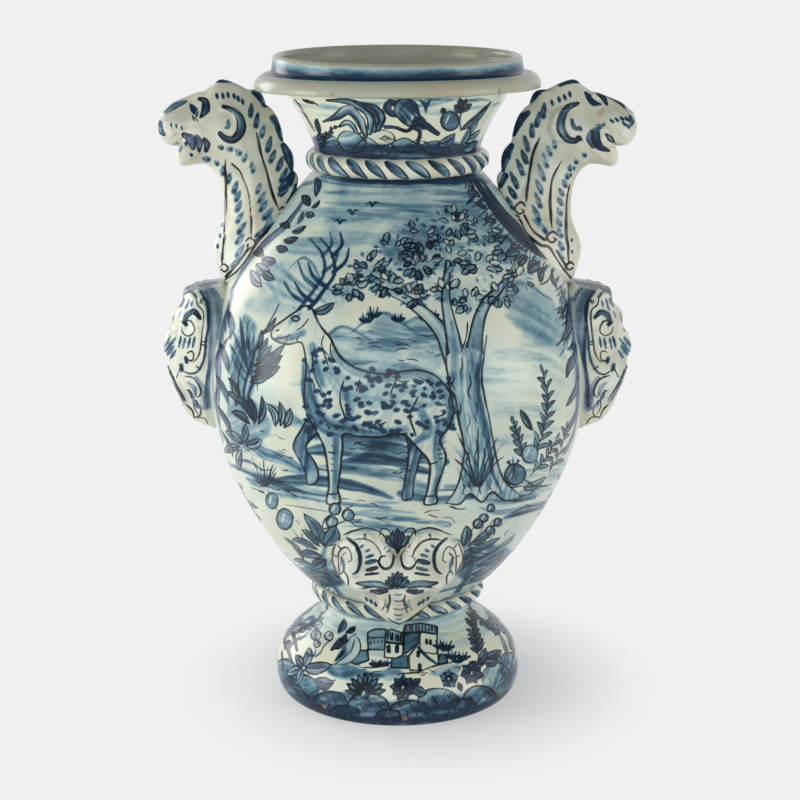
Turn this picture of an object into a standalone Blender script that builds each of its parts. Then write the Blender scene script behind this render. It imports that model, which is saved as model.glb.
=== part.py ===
"""Large two-handled vase in tin-glazed earthenware.

The vase is thrown and moulded in sections that are luted together with slip:
a hollow spreading foot, two halves of a pear-shaped belly, a trumpet neck and
a flanged rim. A rope ring covers each of the two narrow joints. The handles are
long beast necks that bend outwards into heads, and grotesque masks are pressed
onto the belly. Metres, +Z up, origin at the middle of the foot's underside,
front towards -Y, handles towards -X and +X. Outlines are written as pairs of
radius, or distance from the axis, and height.
"""
import math
from collections import namedtuple

import bmesh
import bpy
import numpy as np
from mathutils import Vector
from mathutils.geometry import interpolate_bezier

# Facets and fits
SEGMENTS = 40
ROPE_SEGMENTS = 60
CLEARANCE = 0.0003

# Foot
FOOT_HEIGHT = 0.1000
FOOT_BASE_RADIUS = 0.1166
FOOT_TOE_RADIUS = 0.1213
FOOT_TOE_HEIGHT = 0.0170
FOOT_RING_WIDTH = 0.0140
FOOT_WALL = 0.0095
STEM_RADIUS = 0.0717
STEM_DROP = 0.0160
FOOT_DOME_PULL = 0.0390
STEM_PULL = 0.0180

# Joint of foot and belly, with its rope ring
LOWER_JOINT_RADIUS = 0.0752
LOWER_ROPE_RADIUS = 0.0782
LOWER_ROPE_THICKNESS = 0.0150

# Belly
LOWER_BELLY_HEIGHT = 0.2180
UPPER_BELLY_HEIGHT = 0.2060
BELLY_RADIUS = 0.1819
BELLY_WALL = 0.0095
BELLY_FLOOR = 0.0120
BELLY_BASE_PULL = 0.0270
BELLY_BASE_SLOPE = math.radians(26)
BELLY_LOWER_PULL = 0.0974
BELLY_UPPER_PULL = 0.0702
SHOULDER_RADIUS = 0.1114
SHOULDER_DROP = 0.0485
SHOULDER_SLOPE = math.radians(49)
SHOULDER_LOWER_PULL = 0.0620
SHOULDER_UPPER_PULL = 0.0155

# Joint of belly and neck, with its rope ring
NECK_JOINT_RADIUS = 0.0776
NECK_ROPE_RADIUS = 0.0770
NECK_ROPE_THICKNESS = 0.0188

# Neck
NECK_HEIGHT = 0.0560
NECK_TOP_RADIUS = 0.0997
NECK_WALL = 0.0085
NECK_LOWER_PULL = 0.0115
NECK_FLARE_DROP = 0.0130
NECK_FLARE_INSET = 0.0077

# Rim: a sloping flange under an upright lip
RIM_HEIGHT = 0.0400
FLANGE_RADIUS = 0.1330
FLANGE_RISE = 0.0092
FLANGE_EDGE = 0.0030
FLANGE_ROUNDING = 0.0080
LIP_BASE_RADIUS = 0.1190
LIP_BASE_RISE = 0.0240
LIP_RADIUS = 0.1155
LIP_THICKNESS = 0.0085

# Rope rings
ROPE_STRANDS = 20
ROPE_GROOVE = 0.0009
ROPE_TWIST = 1.6

# Handles
HANDLE_BURY = 0.0180
HANDLE_TIP_DROP = 0.1800
HANDLE_ROOT_DROP = 0.0960
HANDLE_ROOT_WIDTH = 0.0560
MANE_SCALLOP_DEPTH = 0.0042
MANE_CREST_SHARE = 0.5

# Masks: the heights of the two ends above the foot's underside, and the sizes
SIDE_MASK_TOP = 0.4020
SIDE_MASK_BOTTOM = 0.2630
SIDE_MASK_WIDTH = 0.1240
SIDE_MASK_RELIEF = 0.0412
LOW_MASK_TOP = 0.2070
LOW_MASK_WIDTH = 0.1220
LOW_MASK_RELIEF = 0.0250
MASK_BURY = 0.0300
MASK_EDGE = 0.0030
MASK_COLUMNS = 15
MASK_ROWS = 17
MASK_CREST_FALL = 0.10
LOW_MASK_LIFT = 0.0040

# Features of the masks as shares of the mask: how far across and along the
# volutes and eyes lie, their size, and their height as a share of the relief
VOLUTE_RADIUS = 0.17
VOLUTE_HEIGHT = 0.26
NOSE_WIDTH = 0.22
EYE_SIZE = 0.13
EYE_DEPTH = 0.20
LOW_MASK_VOLUTES = ((0.70, 0.72), (0.22, 0.64))
LOW_MASK_EYE = (0.45, 0.36)
SIDE_MASK_VOLUTES = ((0.70, 0.56), (0.50, 0.20))
SIDE_MASK_EYE = (0.38, 0.62)

# Heights that follow from the stack of sections
BELLY_Z = FOOT_HEIGHT + LOWER_BELLY_HEIGHT
NECK_JOINT_Z = BELLY_Z + UPPER_BELLY_HEIGHT
SHOULDER_Z = NECK_JOINT_Z - SHOULDER_DROP
NECK_TOP_Z = NECK_JOINT_Z + NECK_HEIGHT
FLANGE_Z = NECK_TOP_Z + FLANGE_RISE
LIP_BASE_Z = NECK_TOP_Z + LIP_BASE_RISE
TOP_Z = NECK_TOP_Z + RIM_HEIGHT

# Stations of a handle from the belly to the nose. Each row places the throat
# side, then the mane side, outwards and upwards from the flange's edge, and
# ends with half the width across.
HANDLE_STATIONS = (
    (0.0410, -0.1495, -0.0355, -0.0769, 0.0250),
    (0.0310, -0.1195, -0.0266, -0.0498, 0.0210),
    (0.0330, -0.0875, -0.0109, -0.0158, 0.0195),
    (0.0460, -0.0710, 0.0060, -0.0017, 0.0215),
    (0.0690, -0.0723, 0.0283, 0.0075, 0.0225),
    (0.0732, -0.0605, 0.0390, 0.0020, 0.0205),
    (0.0650, -0.0545, 0.0470, -0.0033, 0.0200),
    (0.0815, -0.0523, 0.0600, -0.0089, 0.0185),
    (0.0885, -0.0435, 0.0750, -0.0150, 0.0150),
    (0.0898, -0.0355, 0.0855, -0.0215, 0.0095),
)
STATION_SAMPLES = (3, 5, 5, 5, 5, 3, 2, 2, 2, 2, 2)
SCALLOPED_STATIONS = (1, 5)
HANDLE_SIDES = 12

# Masks along their length from chin to crest, as shares: half the outline's
# width, the height of the middle line and the height beside it.
LOW_MASK_SHAPE = (
    (0.00, 0.24, 0.34, 0.34),
    (0.05, 0.32, 0.62, 0.58),
    (0.11, 0.40, 0.92, 0.64),
    (0.20, 0.54, 0.88, 0.58),
    (0.30, 0.68, 0.80, 0.56),
    (0.38, 0.79, 0.76, 0.60),
    (0.45, 0.86, 0.78, 0.70),
    (0.60, 0.97, 0.56, 0.56),
    (0.75, 1.00, 0.46, 0.50),
    (0.90, 0.96, 0.40, 0.44),
    (1.00, 0.84, 0.26, 0.26),
)
SIDE_MASK_SHAPE = (
    (0.00, 0.16, 0.20, 0.20),
    (0.06, 0.30, 0.55, 0.45),
    (0.20, 0.46, 0.76, 0.55),
    (0.32, 0.62, 0.89, 0.66),
    (0.43, 0.76, 0.92, 0.70),
    (0.52, 0.86, 1.04, 0.72),
    (0.60, 0.93, 1.00, 0.74),
    (0.67, 0.97, 0.89, 0.80),
    (0.75, 1.00, 0.96, 0.84),
    (0.84, 0.96, 0.80, 0.82),
    (0.93, 0.88, 0.84, 0.74),
    (1.00, 0.66, 0.36, 0.30),
)

# A kind of mask: width, relief, outline with heights, volutes and eye
Mask = namedtuple("Mask", "width relief shape volutes eye")
LOW_MASK = Mask(LOW_MASK_WIDTH, LOW_MASK_RELIEF, LOW_MASK_SHAPE, LOW_MASK_VOLUTES, LOW_MASK_EYE)
SIDE_MASK = Mask(
    SIDE_MASK_WIDTH, SIDE_MASK_RELIEF, SIDE_MASK_SHAPE, SIDE_MASK_VOLUTES, SIDE_MASK_EYE
)

# Colours of the glaze where each piece is mostly pale, washed or dark
PALE_GLAZE = (0.76, 0.80, 0.71, 1.0)
WASHED_GLAZE = (0.42, 0.55, 0.58, 1.0)
DARK_GLAZE = (0.16, 0.27, 0.40, 1.0)


def glaze(name, colour):
    """Make a glossy glaze of one colour."""
    material = bpy.data.materials.new(name)
    material.use_nodes = True
    shader = material.node_tree.nodes["Principled BSDF"]
    shader.inputs["Base Color"].default_value = colour
    shader.inputs["Roughness"].default_value = 0.18
    shader.inputs["Metallic"].default_value = 0.0
    material.diffuse_color = colour
    return material


def add_object(name, bm, material=None):
    """Put a finished bmesh into the scene as one smooth-shaded object."""
    bmesh.ops.recalc_face_normals(bm, faces=bm.faces)
    mesh = bpy.data.meshes.new(name)
    bm.to_mesh(mesh)
    bm.free()
    mesh.shade_smooth()
    mesh.set_sharp_from_angle(angle=math.radians(38))
    piece = bpy.data.objects.new(name, mesh)
    bpy.context.collection.objects.link(piece)
    if material:
        mesh.materials.append(material)
    return piece


def span(start, start_pull, end_pull, end, count):
    """Return the points of one Bezier span, ends included."""
    knots = [Vector(point) for point in (start, start_pull, end_pull, end)]
    return [tuple(point) for point in interpolate_bezier(*knots, count)]


def joined(*parts):
    """Chain outlines, dropping a point that repeats the one before it."""
    chain = []
    for part in parts:
        for point in part:
            if not chain or math.dist(chain[-1], point) > CLEARANCE / 2:
                chain.append(point)
    return chain


def inset(outline, distance):
    """Move an outline that runs upwards towards the axis by a wall's thickness."""
    points = np.array(outline)
    along = np.gradient(points, axis=0)
    along /= np.linalg.norm(along, axis=1)[:, None]
    inwards = np.column_stack((-along[:, 1], along[:, 0]))
    return [tuple(point) for point in points + distance * inwards]


def foot_dome(points):
    """Outside of the foot from its widest place up to the narrow stem."""
    stem_z = FOOT_HEIGHT - STEM_DROP
    return span(
        (FOOT_TOE_RADIUS, FOOT_TOE_HEIGHT),
        (FOOT_TOE_RADIUS, FOOT_TOE_HEIGHT + FOOT_DOME_PULL),
        (STEM_RADIUS + STEM_PULL / 4, stem_z - STEM_PULL),
        (STEM_RADIUS, stem_z),
        points,
    )


def foot_outline():
    """Outside of the foot: rounded toe, dome, stem and the seat of the rope."""
    toe = (FOOT_TOE_RADIUS, FOOT_TOE_HEIGHT)
    stem = (STEM_RADIUS, FOOT_HEIGHT - STEM_DROP)
    seat = (LOWER_JOINT_RADIUS, FOOT_HEIGHT - LOWER_ROPE_THICKNESS / 2)
    base_pull = (FOOT_BASE_RADIUS + (FOOT_TOE_RADIUS - FOOT_BASE_RADIUS) / 2, FOOT_TOE_HEIGHT / 8)
    toe_pull = (FOOT_TOE_RADIUS, FOOT_TOE_HEIGHT * 0.6)
    neck_pull = (STEM_RADIUS, stem[1] + (seat[1] - stem[1]) / 2)
    return joined(
        span((FOOT_BASE_RADIUS, 0), base_pull, toe_pull, toe, 4),
        foot_dome(9),
        span(stem, neck_pull, seat, seat, 4),
        [(LOWER_JOINT_RADIUS, FOOT_HEIGHT)],
    )


def lower_belly_curve(points):
    """Outside of the belly from its underside to its widest place."""
    rope_top = FOOT_HEIGHT + LOWER_ROPE_THICKNESS / 2
    start = (LOWER_ROPE_RADIUS + 0.0018, rope_top + 2 * CLEARANCE)
    widest = (BELLY_RADIUS, BELLY_Z)
    start_pull = (
        start[0] + BELLY_BASE_PULL * math.cos(BELLY_BASE_SLOPE),
        start[1] + BELLY_BASE_PULL * math.sin(BELLY_BASE_SLOPE),
    )
    return span(start, start_pull, (BELLY_RADIUS, BELLY_Z - BELLY_LOWER_PULL), widest, points)


def upper_belly_curve(points, shoulder_points):
    """Outside of the belly from its widest place to the neck's rope."""
    widest = (BELLY_RADIUS, BELLY_Z)
    shoulder = Vector((SHOULDER_RADIUS, SHOULDER_Z))
    rise = Vector((-math.cos(SHOULDER_SLOPE), math.sin(SHOULDER_SLOPE)))
    end = (NECK_JOINT_RADIUS, NECK_JOINT_Z - NECK_ROPE_THICKNESS / 2 - 2 * CLEARANCE)
    end_pull = (end[0] + 0.0075, end[1] - 0.0070)
    return joined(
        span(
            widest,
            (BELLY_RADIUS, BELLY_Z + BELLY_UPPER_PULL),
            shoulder - SHOULDER_LOWER_PULL * rise,
            shoulder,
            points,
        ),
        span(shoulder, shoulder + SHOULDER_UPPER_PULL * rise, end_pull, end, shoulder_points),
    )


def neck_curve(points):
    """Outside of the neck above its rope: a trumpet."""
    start = (NECK_JOINT_RADIUS, NECK_JOINT_Z + NECK_ROPE_THICKNESS / 2 + 2 * CLEARANCE)
    end = (NECK_TOP_RADIUS, NECK_TOP_Z)
    return span(
        start,
        (start[0], start[1] + NECK_LOWER_PULL),
        (end[0] - NECK_FLARE_INSET, end[1] - NECK_FLARE_DROP),
        end,
        points,
    )


def rim_outline():
    """Outside of the rim: flange underside, thin edge, rounded top and lip."""
    edge = FLANGE_EDGE / 2
    edge_turns = [math.radians(turn) for turn in (-80, -30)]
    flange_edge = [
        (FLANGE_RADIUS - edge + edge * math.cos(turn), FLANGE_Z + edge * math.sin(turn))
        for turn in edge_turns
    ]
    flange_top = span(
        (FLANGE_RADIUS, FLANGE_Z),
        (FLANGE_RADIUS, FLANGE_Z + FLANGE_ROUNDING),
        (LIP_BASE_RADIUS + FLANGE_ROUNDING, LIP_BASE_Z - FLANGE_EDGE / 2),
        (LIP_BASE_RADIUS, LIP_BASE_Z),
        5,
    )
    lip = LIP_THICKNESS / 2
    lip_turns = [math.radians(turn) for turn in (0, 45, 90, 135, 180)]
    lip_top = [
        (LIP_RADIUS - lip + lip * math.cos(turn), TOP_Z - lip + lip * math.sin(turn))
        for turn in lip_turns
    ]
    lip_foot = (LIP_RADIUS + (LIP_BASE_RADIUS - LIP_RADIUS) / 3, LIP_BASE_Z + lip / 2)
    return [(NECK_TOP_RADIUS, NECK_TOP_Z)] + flange_edge + flange_top + [lip_foot] + lip_top


def body_outline():
    """Outside of the whole turned body, without the rope rings."""
    return joined(
        foot_outline(),
        lower_belly_curve(12),
        upper_belly_curve(10, 4),
        [(NECK_JOINT_RADIUS, NECK_JOINT_Z)],
        neck_curve(7),
        rim_outline(),
    )


def body_radius(height):
    """Radius of the body's outside at a height."""
    radii, heights = zip(*joined(foot_outline(), lower_belly_curve(12), upper_belly_curve(10, 4)))
    return float(np.interp(height, heights, radii))


def lathe(name, outline, material=None, segments=SEGMENTS):
    """Turn a closed outline once round the axis."""
    bm = bmesh.new()
    points = [bm.verts.new((radius, 0, height)) for radius, height in outline]
    on_axis = outline[0][0] == 0 and outline[-1][0] == 0
    pairs = zip(points, points[1:] if on_axis else points[1:] + points[:1])
    edges = [bm.edges.new(pair) for pair in pairs]
    bmesh.ops.spin(
        bm,
        geom=points + edges,
        cent=(0, 0, 0),
        axis=(0, 0, 1),
        angle=math.tau,
        steps=segments,
        use_merge=True,
    )
    bmesh.ops.remove_doubles(bm, verts=bm.verts, dist=CLEARANCE / 10)
    return add_object(name, bm, material)


def closed_grid(name, rows, material, wrap_rows=False):
    """Join rings of points into a closed skin, capped unless its rows wrap."""
    bm = bmesh.new()
    rings = [[bm.verts.new(point) for point in row] for row in rows]
    pairs = list(zip(rings, rings[1:] + rings[:1])) if wrap_rows else list(zip(rings, rings[1:]))
    for low, high in pairs:
        for index in range(len(low)):
            after = (index + 1) % len(low)
            bm.faces.new((low[index], low[after], high[after], high[index]))
    if not wrap_rows:
        bm.faces.new(rings[0][::-1])
        bm.faces.new(rings[-1])
    return add_object(name, bm, material)


def add_foot(material):
    """Hollow spreading foot, open above and below, on a flat foot ring."""
    inside = joined(
        [(FOOT_BASE_RADIUS - FOOT_RING_WIDTH, 0)],
        inset(foot_dome(7), FOOT_WALL),
        [(LOWER_JOINT_RADIUS - FOOT_WALL, FOOT_HEIGHT)],
    )
    return lathe("foot", foot_outline() + inside[::-1], material)


def add_lower_belly(material):
    """Lower half of the belly, with the floor that closes the vessel."""
    bottom = FOOT_HEIGHT + CLEARANCE
    seat_top = FOOT_HEIGHT + LOWER_ROPE_THICKNESS / 2 + 2 * CLEARANCE
    rim = BELLY_Z - CLEARANCE / 2
    curve = lower_belly_curve(12)[:-1] + [(BELLY_RADIUS, rim)]
    inner_curve = inset(lower_belly_curve(9), BELLY_WALL)[1:-1]
    outside = joined([(0, bottom), (LOWER_JOINT_RADIUS, bottom), (LOWER_JOINT_RADIUS, seat_top)], curve)
    inside = joined(
        [(0, bottom + BELLY_FLOOR), (LOWER_JOINT_RADIUS - BELLY_WALL, bottom + BELLY_FLOOR)],
        inner_curve,
        [(BELLY_RADIUS - BELLY_WALL, rim)],
    )
    return lathe("lower_belly", outside + inside[::-1], material)


def add_upper_belly(material):
    """Upper half of the belly, from the widest place to the neck joint."""
    rim = BELLY_Z + CLEARANCE / 2
    curve = [(BELLY_RADIUS, rim)] + upper_belly_curve(10, 4)[1:]
    inner_curve = inset(upper_belly_curve(7, 3), BELLY_WALL)[1:-1]
    inside = joined(
        [(BELLY_RADIUS - BELLY_WALL, rim)],
        inner_curve,
        [(NECK_JOINT_RADIUS - BELLY_WALL, NECK_JOINT_Z)],
    )
    outside = joined(curve, [(NECK_JOINT_RADIUS, NECK_JOINT_Z)])
    return lathe("upper_belly", outside + inside[::-1], material)


def add_neck(material):
    """Trumpet neck between the belly and the rim."""
    bottom = NECK_JOINT_Z + CLEARANCE
    inside = joined(
        [(NECK_JOINT_RADIUS - BELLY_WALL, bottom)],
        inset(neck_curve(5), NECK_WALL)[1:-1],
        [(NECK_TOP_RADIUS - NECK_WALL, NECK_TOP_Z)],
    )
    outside = joined([(NECK_JOINT_RADIUS, bottom)], neck_curve(7))
    return lathe("neck", outside + inside[::-1], material)


def add_rim(material):
    """Flange and upright lip in one piece, seated on the neck."""
    seat = NECK_TOP_Z + CLEARANCE
    outside = [(NECK_TOP_RADIUS, seat)] + rim_outline()[1:]
    throat = (NECK_TOP_RADIUS - NECK_WALL, seat)
    bend = (LIP_RADIUS - LIP_THICKNESS - NECK_WALL, LIP_BASE_Z - LIP_THICKNESS)
    lip_inside = (LIP_RADIUS - LIP_THICKNESS - CLEARANCE, LIP_BASE_Z + LIP_THICKNESS / 2)
    return lathe("rim", outside + [lip_inside, bend, throat], material)


def add_rope_ring(name, height, radius, thickness, joint_radius, material):
    """Rope ring with a flat back, twisted strands and a groove between them."""
    half = thickness / 2
    back = (joint_radius + CLEARANCE) / math.cos(math.pi / ROPE_SEGMENTS)
    meets = math.acos(max(-1.0, min(1.0, (back - radius) / half)))
    turns = np.linspace(-meets, meets, 8)
    rows = []
    for step in range(ROPE_SEGMENTS):
        around = math.tau * step / ROPE_SEGMENTS
        strand = np.cos(ROPE_STRANDS * around + ROPE_TWIST * turns)
        fade = np.sin(math.pi * (turns + meets) / (2 * meets))
        section = half - ROPE_GROOVE * fade * (1 - strand) / 2
        out = radius + section * np.cos(turns)
        up = height + section * np.sin(turns)
        rows.append([(r * math.cos(around), r * math.sin(around), z) for r, z in zip(out, up)])
    return closed_grid(name, rows, material, wrap_rows=True)


def envelope():
    """Solid of the turned body grown by the clearance, to cut seats with."""
    grown = inset(body_outline(), -CLEARANCE)
    outline = [(0, grown[0][1])] + grown + [(0, grown[-1][1])]
    return guide(lathe("body_envelope", outline))


def rope_envelope():
    """Solid of the lower rope ring grown by the clearance."""
    half = LOWER_ROPE_THICKNESS / 2 + CLEARANCE
    turns = np.linspace(-math.pi / 2, math.pi / 2, 9)
    bulge = [(LOWER_ROPE_RADIUS + half * math.cos(t), FOOT_HEIGHT + half * math.sin(t)) for t in turns]
    outline = [(0, bulge[0][1])] + bulge + [(0, bulge[-1][1])]
    return guide(lathe("rope_envelope", outline, segments=ROPE_SEGMENTS))


def guide(piece):
    """Mark a solid as a cutter that is no part of the vase."""
    piece.hide_render = True
    piece.display_type = "WIRE"
    return piece


def cut(piece, cutter):
    """Take a cutter away from a piece."""
    modifier = piece.modifiers.new("seat", "BOOLEAN")
    modifier.operation = "DIFFERENCE"
    modifier.object = cutter
    modifier.solver = "EXACT"


def handle_stations():
    """Stations of a handle, from its buried root on the belly to the nose."""
    edge = np.array((FLANGE_RADIUS, FLANGE_Z, FLANGE_RADIUS, FLANGE_Z, 0.0))
    rows = [edge + np.array(row) for row in HANDLE_STATIONS]
    tip = FLANGE_Z - HANDLE_TIP_DROP
    root = FLANGE_Z - HANDLE_ROOT_DROP
    half = HANDLE_ROOT_WIDTH / 2
    on_belly = (body_radius(tip) + 0.0060, tip, body_radius(root) - 0.0010, root, half)
    buried = (
        body_radius(tip) - HANDLE_BURY,
        tip - HANDLE_BURY / 2,
        body_radius(root) - HANDLE_BURY,
        root - HANDLE_BURY,
        half,
    )
    return np.array([buried, on_belly] + rows)


def smooth_stations(stations, samples):
    """Run a Catmull-Rom curve through the stations, with its position on each."""
    padded = np.vstack((2 * stations[0] - stations[1], stations, 2 * stations[-1] - stations[-2]))
    places, rows = [], []
    for index, count in enumerate(samples):
        before, start, end, after = padded[index:index + 4]
        for step in range(count):
            t = step / count
            rows.append(
                0.5 * (
                    2 * start
                    + (end - before) * t
                    + (2 * before - 5 * start + 4 * end - after) * t ** 2
                    + (3 * start - before - 3 * end + after) * t ** 3
                )
            )
            places.append(index + t)
    return np.array(places + [len(stations) - 1.0]), np.array(rows + [stations[-1]])


def add_handle(name, side, material, cutter):
    """Beast-head handle: a loft whose mane side is scalloped."""
    places, stations = smooth_stations(handle_stations(), STATION_SAMPLES)
    first, last = SCALLOPED_STATIONS
    scalloped = (places >= first) & (places <= last)
    crest = np.where(scalloped, MANE_SCALLOP_DEPTH * np.abs(np.sin(math.pi * places)), 0.0)
    throat, mane, half_width = stations[:, 0:2], stations[:, 2:4], stations[:, 4]
    along = throat - mane
    along /= np.linalg.norm(along, axis=1)[:, None]
    mane = mane - crest[:, None] * along
    turns = np.arange(HANDLE_SIDES) * math.tau / HANDLE_SIDES
    reach = np.sign(np.cos(turns)) * np.abs(np.cos(turns)) ** 0.9
    spread = np.sign(np.sin(turns)) * np.abs(np.sin(turns)) ** 0.8
    spread = spread * np.where(reach < 0, 1 + MANE_CREST_SHARE * reach, 1.0)
    middle, half = (throat + mane) / 2, (throat - mane) / 2
    rows = []
    for centre, towards, width in zip(middle, half, half_width):
        plane = centre + reach[:, None] * towards
        rows.append([(side * r, width * s, z) for (r, z), s in zip(plane, spread)])
    piece = closed_grid(name, rows, material)
    cut(piece, cutter)
    return piece


def mask_relief(across, along, mask):
    """Height of a mask above the body: a domed face with nose, eyes and volutes."""
    shares = np.array(mask.shape)
    middle = np.interp(along, shares[:, 0], shares[:, 2])
    beside = np.interp(along, shares[:, 0], shares[:, 3])
    ridge = np.exp(-(across / NOSE_WIDTH) ** 2)
    dome = np.sqrt(np.clip(1 - np.abs(across) ** 2.6, 0, 1))
    height = beside + (middle - beside) * ridge
    for over, up in mask.volutes:
        away = np.hypot(np.abs(across) - over, along - up)
        height = height + VOLUTE_HEIGHT * np.exp(-(away / VOLUTE_RADIUS) ** 2)
    away = np.hypot(np.abs(across) - mask.eye[0], along - mask.eye[1])
    height = height - EYE_DEPTH * np.exp(-(away / EYE_SIZE) ** 2)
    return MASK_EDGE + mask.relief * dome * height


def mask_grid(top, bottom, mask):
    """Front of a mask: how far sideways, up its length and out each point lies."""
    length = np.linalg.norm(top - bottom)
    upwards = (top - bottom) / length
    outwards = np.array((upwards[1], -upwards[0]))
    profile = np.array(body_outline()) - bottom
    body_along, body_out = profile @ upwards, profile @ outwards
    near = (body_along > -MASK_BURY) & (body_along < length + MASK_BURY) & (body_out > -MASK_BURY)
    across, along = np.meshgrid(
        np.sin(np.linspace(-1, 1, MASK_COLUMNS) * math.pi / 2),
        np.linspace(0, 1, MASK_ROWS),
    )
    outline = np.interp(along, [row[0] for row in mask.shape], [row[1] for row in mask.shape])
    sideways = across * outline * mask.width / 2
    climb = length * along * (1 - MASK_CREST_FALL * along * across ** 4)
    rests = np.maximum(np.interp(climb, body_along[near], body_out[near]), 0)
    radius = bottom[0] + climb * upwards[0]
    sag = radius - np.sqrt(radius ** 2 - sideways ** 2)
    height = rests + mask_relief(across, along, mask) - sag * outwards[0]
    return np.stack((sideways, climb, height), axis=-1)


def add_mask(name, azimuth, top, bottom, mask, material, cutters):
    """Grotesque mask on the body between two points of its outside."""
    top, bottom = np.array(top), np.array(bottom)
    upwards = (top - bottom) / np.linalg.norm(top - bottom)
    outwards = np.array((upwards[1], -upwards[0]))
    outwards_turned = np.array((math.cos(azimuth), math.sin(azimuth)))

    def place(point):
        sideways, climb, out = point
        radial, up = bottom + climb * upwards + out * outwards
        x, y = radial * outwards_turned + sideways * outwards_turned[::-1] * (-1, 1)
        return x, y, up

    bm = bmesh.new()
    points = mask_grid(top, bottom, mask)
    grid = [[bm.verts.new(place(point)) for point in row] for row in points]
    for low, high in zip(grid, grid[1:]):
        for index in range(len(low) - 1):
            bm.faces.new((low[index], low[index + 1], high[index + 1], high[index]))
    right, left = [row[-1] for row in grid[1:-1]], [row[0] for row in grid[-2:0:-1]]
    edge = grid[0] + right + grid[-1][::-1] + left
    border = np.concatenate((points[0], points[1:-1, -1], points[-1, ::-1], points[-2:0:-1, 0]))
    border[:, 2] = -MASK_BURY
    sunk = [bm.verts.new(place(point)) for point in border]
    for index in range(len(edge)):
        after = (index + 1) % len(edge)
        bm.faces.new((edge[index], sunk[index], sunk[after], edge[after]))
    bm.faces.new(sunk)
    piece = add_object(name, bm, material)
    for cutter in cutters:
        cut(piece, cutter)
    return piece


def main():
    """Build the vase in an empty scene."""
    for item in list(bpy.data.objects):
        bpy.data.objects.remove(item, do_unlink=True)
    pale = glaze("pale_glaze", PALE_GLAZE)
    washed = glaze("washed_glaze", WASHED_GLAZE)
    dark = glaze("dark_glaze", DARK_GLAZE)

    add_foot(dark)
    add_lower_belly(washed)
    add_upper_belly(pale)
    add_neck(washed)
    add_rim(pale)
    add_rope_ring(
        "lower_rope_ring", FOOT_HEIGHT, LOWER_ROPE_RADIUS, LOWER_ROPE_THICKNESS, LOWER_JOINT_RADIUS, pale
    )
    add_rope_ring(
        "neck_rope_ring", NECK_JOINT_Z, NECK_ROPE_RADIUS, NECK_ROPE_THICKNESS, NECK_JOINT_RADIUS, pale
    )

    body, rope = envelope(), rope_envelope()
    for name, side in (("left_handle", -1), ("right_handle", 1)):
        add_handle(name, side, pale, body)

    side_top = (body_radius(SIDE_MASK_TOP), SIDE_MASK_TOP)
    side_bottom = (body_radius(SIDE_MASK_BOTTOM), SIDE_MASK_BOTTOM)
    for name, azimuth in (("left_mask", math.pi), ("right_mask", 0.0)):
        add_mask(name, azimuth, side_top, side_bottom, SIDE_MASK, pale, (body,))
    low_top = (body_radius(LOW_MASK_TOP), LOW_MASK_TOP)
    low_bottom = (LOWER_ROPE_RADIUS + LOWER_ROPE_THICKNESS / 2, FOOT_HEIGHT + LOW_MASK_LIFT)
    for name, azimuth in (("front_mask", -math.pi / 2), ("back_mask", math.pi / 2)):
        add_mask(name, azimuth, low_top, low_bottom, LOW_MASK, pale, (body, rope))


main()
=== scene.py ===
"""Looks of a two-handled vase in tin-glazed pottery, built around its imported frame.

The vase is made of skins. Each skin is a surface of two parameters on a grid, and
the painting is laid on the same grid as a wash, a drawn line and a hue at every
point, so that it follows the clay. Metres, +Z up, the front towards -Y. Places in
the painting are written in points of the 800 by 800 picture, which PictureView
turns into places on the skin.
"""
from __future__ import annotations

import logging
import math
from dataclasses import dataclass
from enum import IntEnum
from typing import Callable, Sequence

import bpy
import numpy as np
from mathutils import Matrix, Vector


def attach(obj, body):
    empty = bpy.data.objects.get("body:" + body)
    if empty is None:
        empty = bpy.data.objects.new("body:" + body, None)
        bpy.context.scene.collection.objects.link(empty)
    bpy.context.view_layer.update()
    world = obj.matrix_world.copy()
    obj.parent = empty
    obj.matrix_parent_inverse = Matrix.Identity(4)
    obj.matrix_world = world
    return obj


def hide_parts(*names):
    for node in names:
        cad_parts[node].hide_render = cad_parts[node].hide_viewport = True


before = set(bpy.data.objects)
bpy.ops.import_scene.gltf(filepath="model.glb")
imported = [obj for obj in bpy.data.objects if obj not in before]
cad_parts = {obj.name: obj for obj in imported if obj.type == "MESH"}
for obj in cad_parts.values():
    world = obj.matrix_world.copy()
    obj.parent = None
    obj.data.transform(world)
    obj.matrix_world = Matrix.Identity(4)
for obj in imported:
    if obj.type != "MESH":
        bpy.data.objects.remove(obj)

Array = np.ndarray
Point = tuple[float, float]
Four = tuple[float, float, float, float]
Window = tuple[slice, slice]
Colour = tuple[float, float, float, float]
log = logging.getLogger("vase")
TAU = math.tau
EVERYWHERE: Window = (slice(None), slice(None))
# How far from its edge the distance to a drawn line is kept, in metres.
INK_REACH = 0.003
# Size of one point of the picture on the vase, in metres.
POINT = 0.00094
# Millimetres to a metre, and what turns a width in millimetres into half of it in metres.
MILLI = 1000
HALVES = 2000


class Side(IntEnum):
    """Where a handle or mask sits: the sign of its x, 0 on the front and back."""

    LEFT = -1
    MIDDLE = 0
    RIGHT = 1


def linear(red: int, green: int, blue: int) -> Colour:
    """Turn a colour of the screen, 0 to 255, into linear light."""
    shares = (np.array((red, green, blue)) / 255 + 0.055) / 1.055
    return (*(float(share) for share in shares ** 2.4), 1.0)


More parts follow.
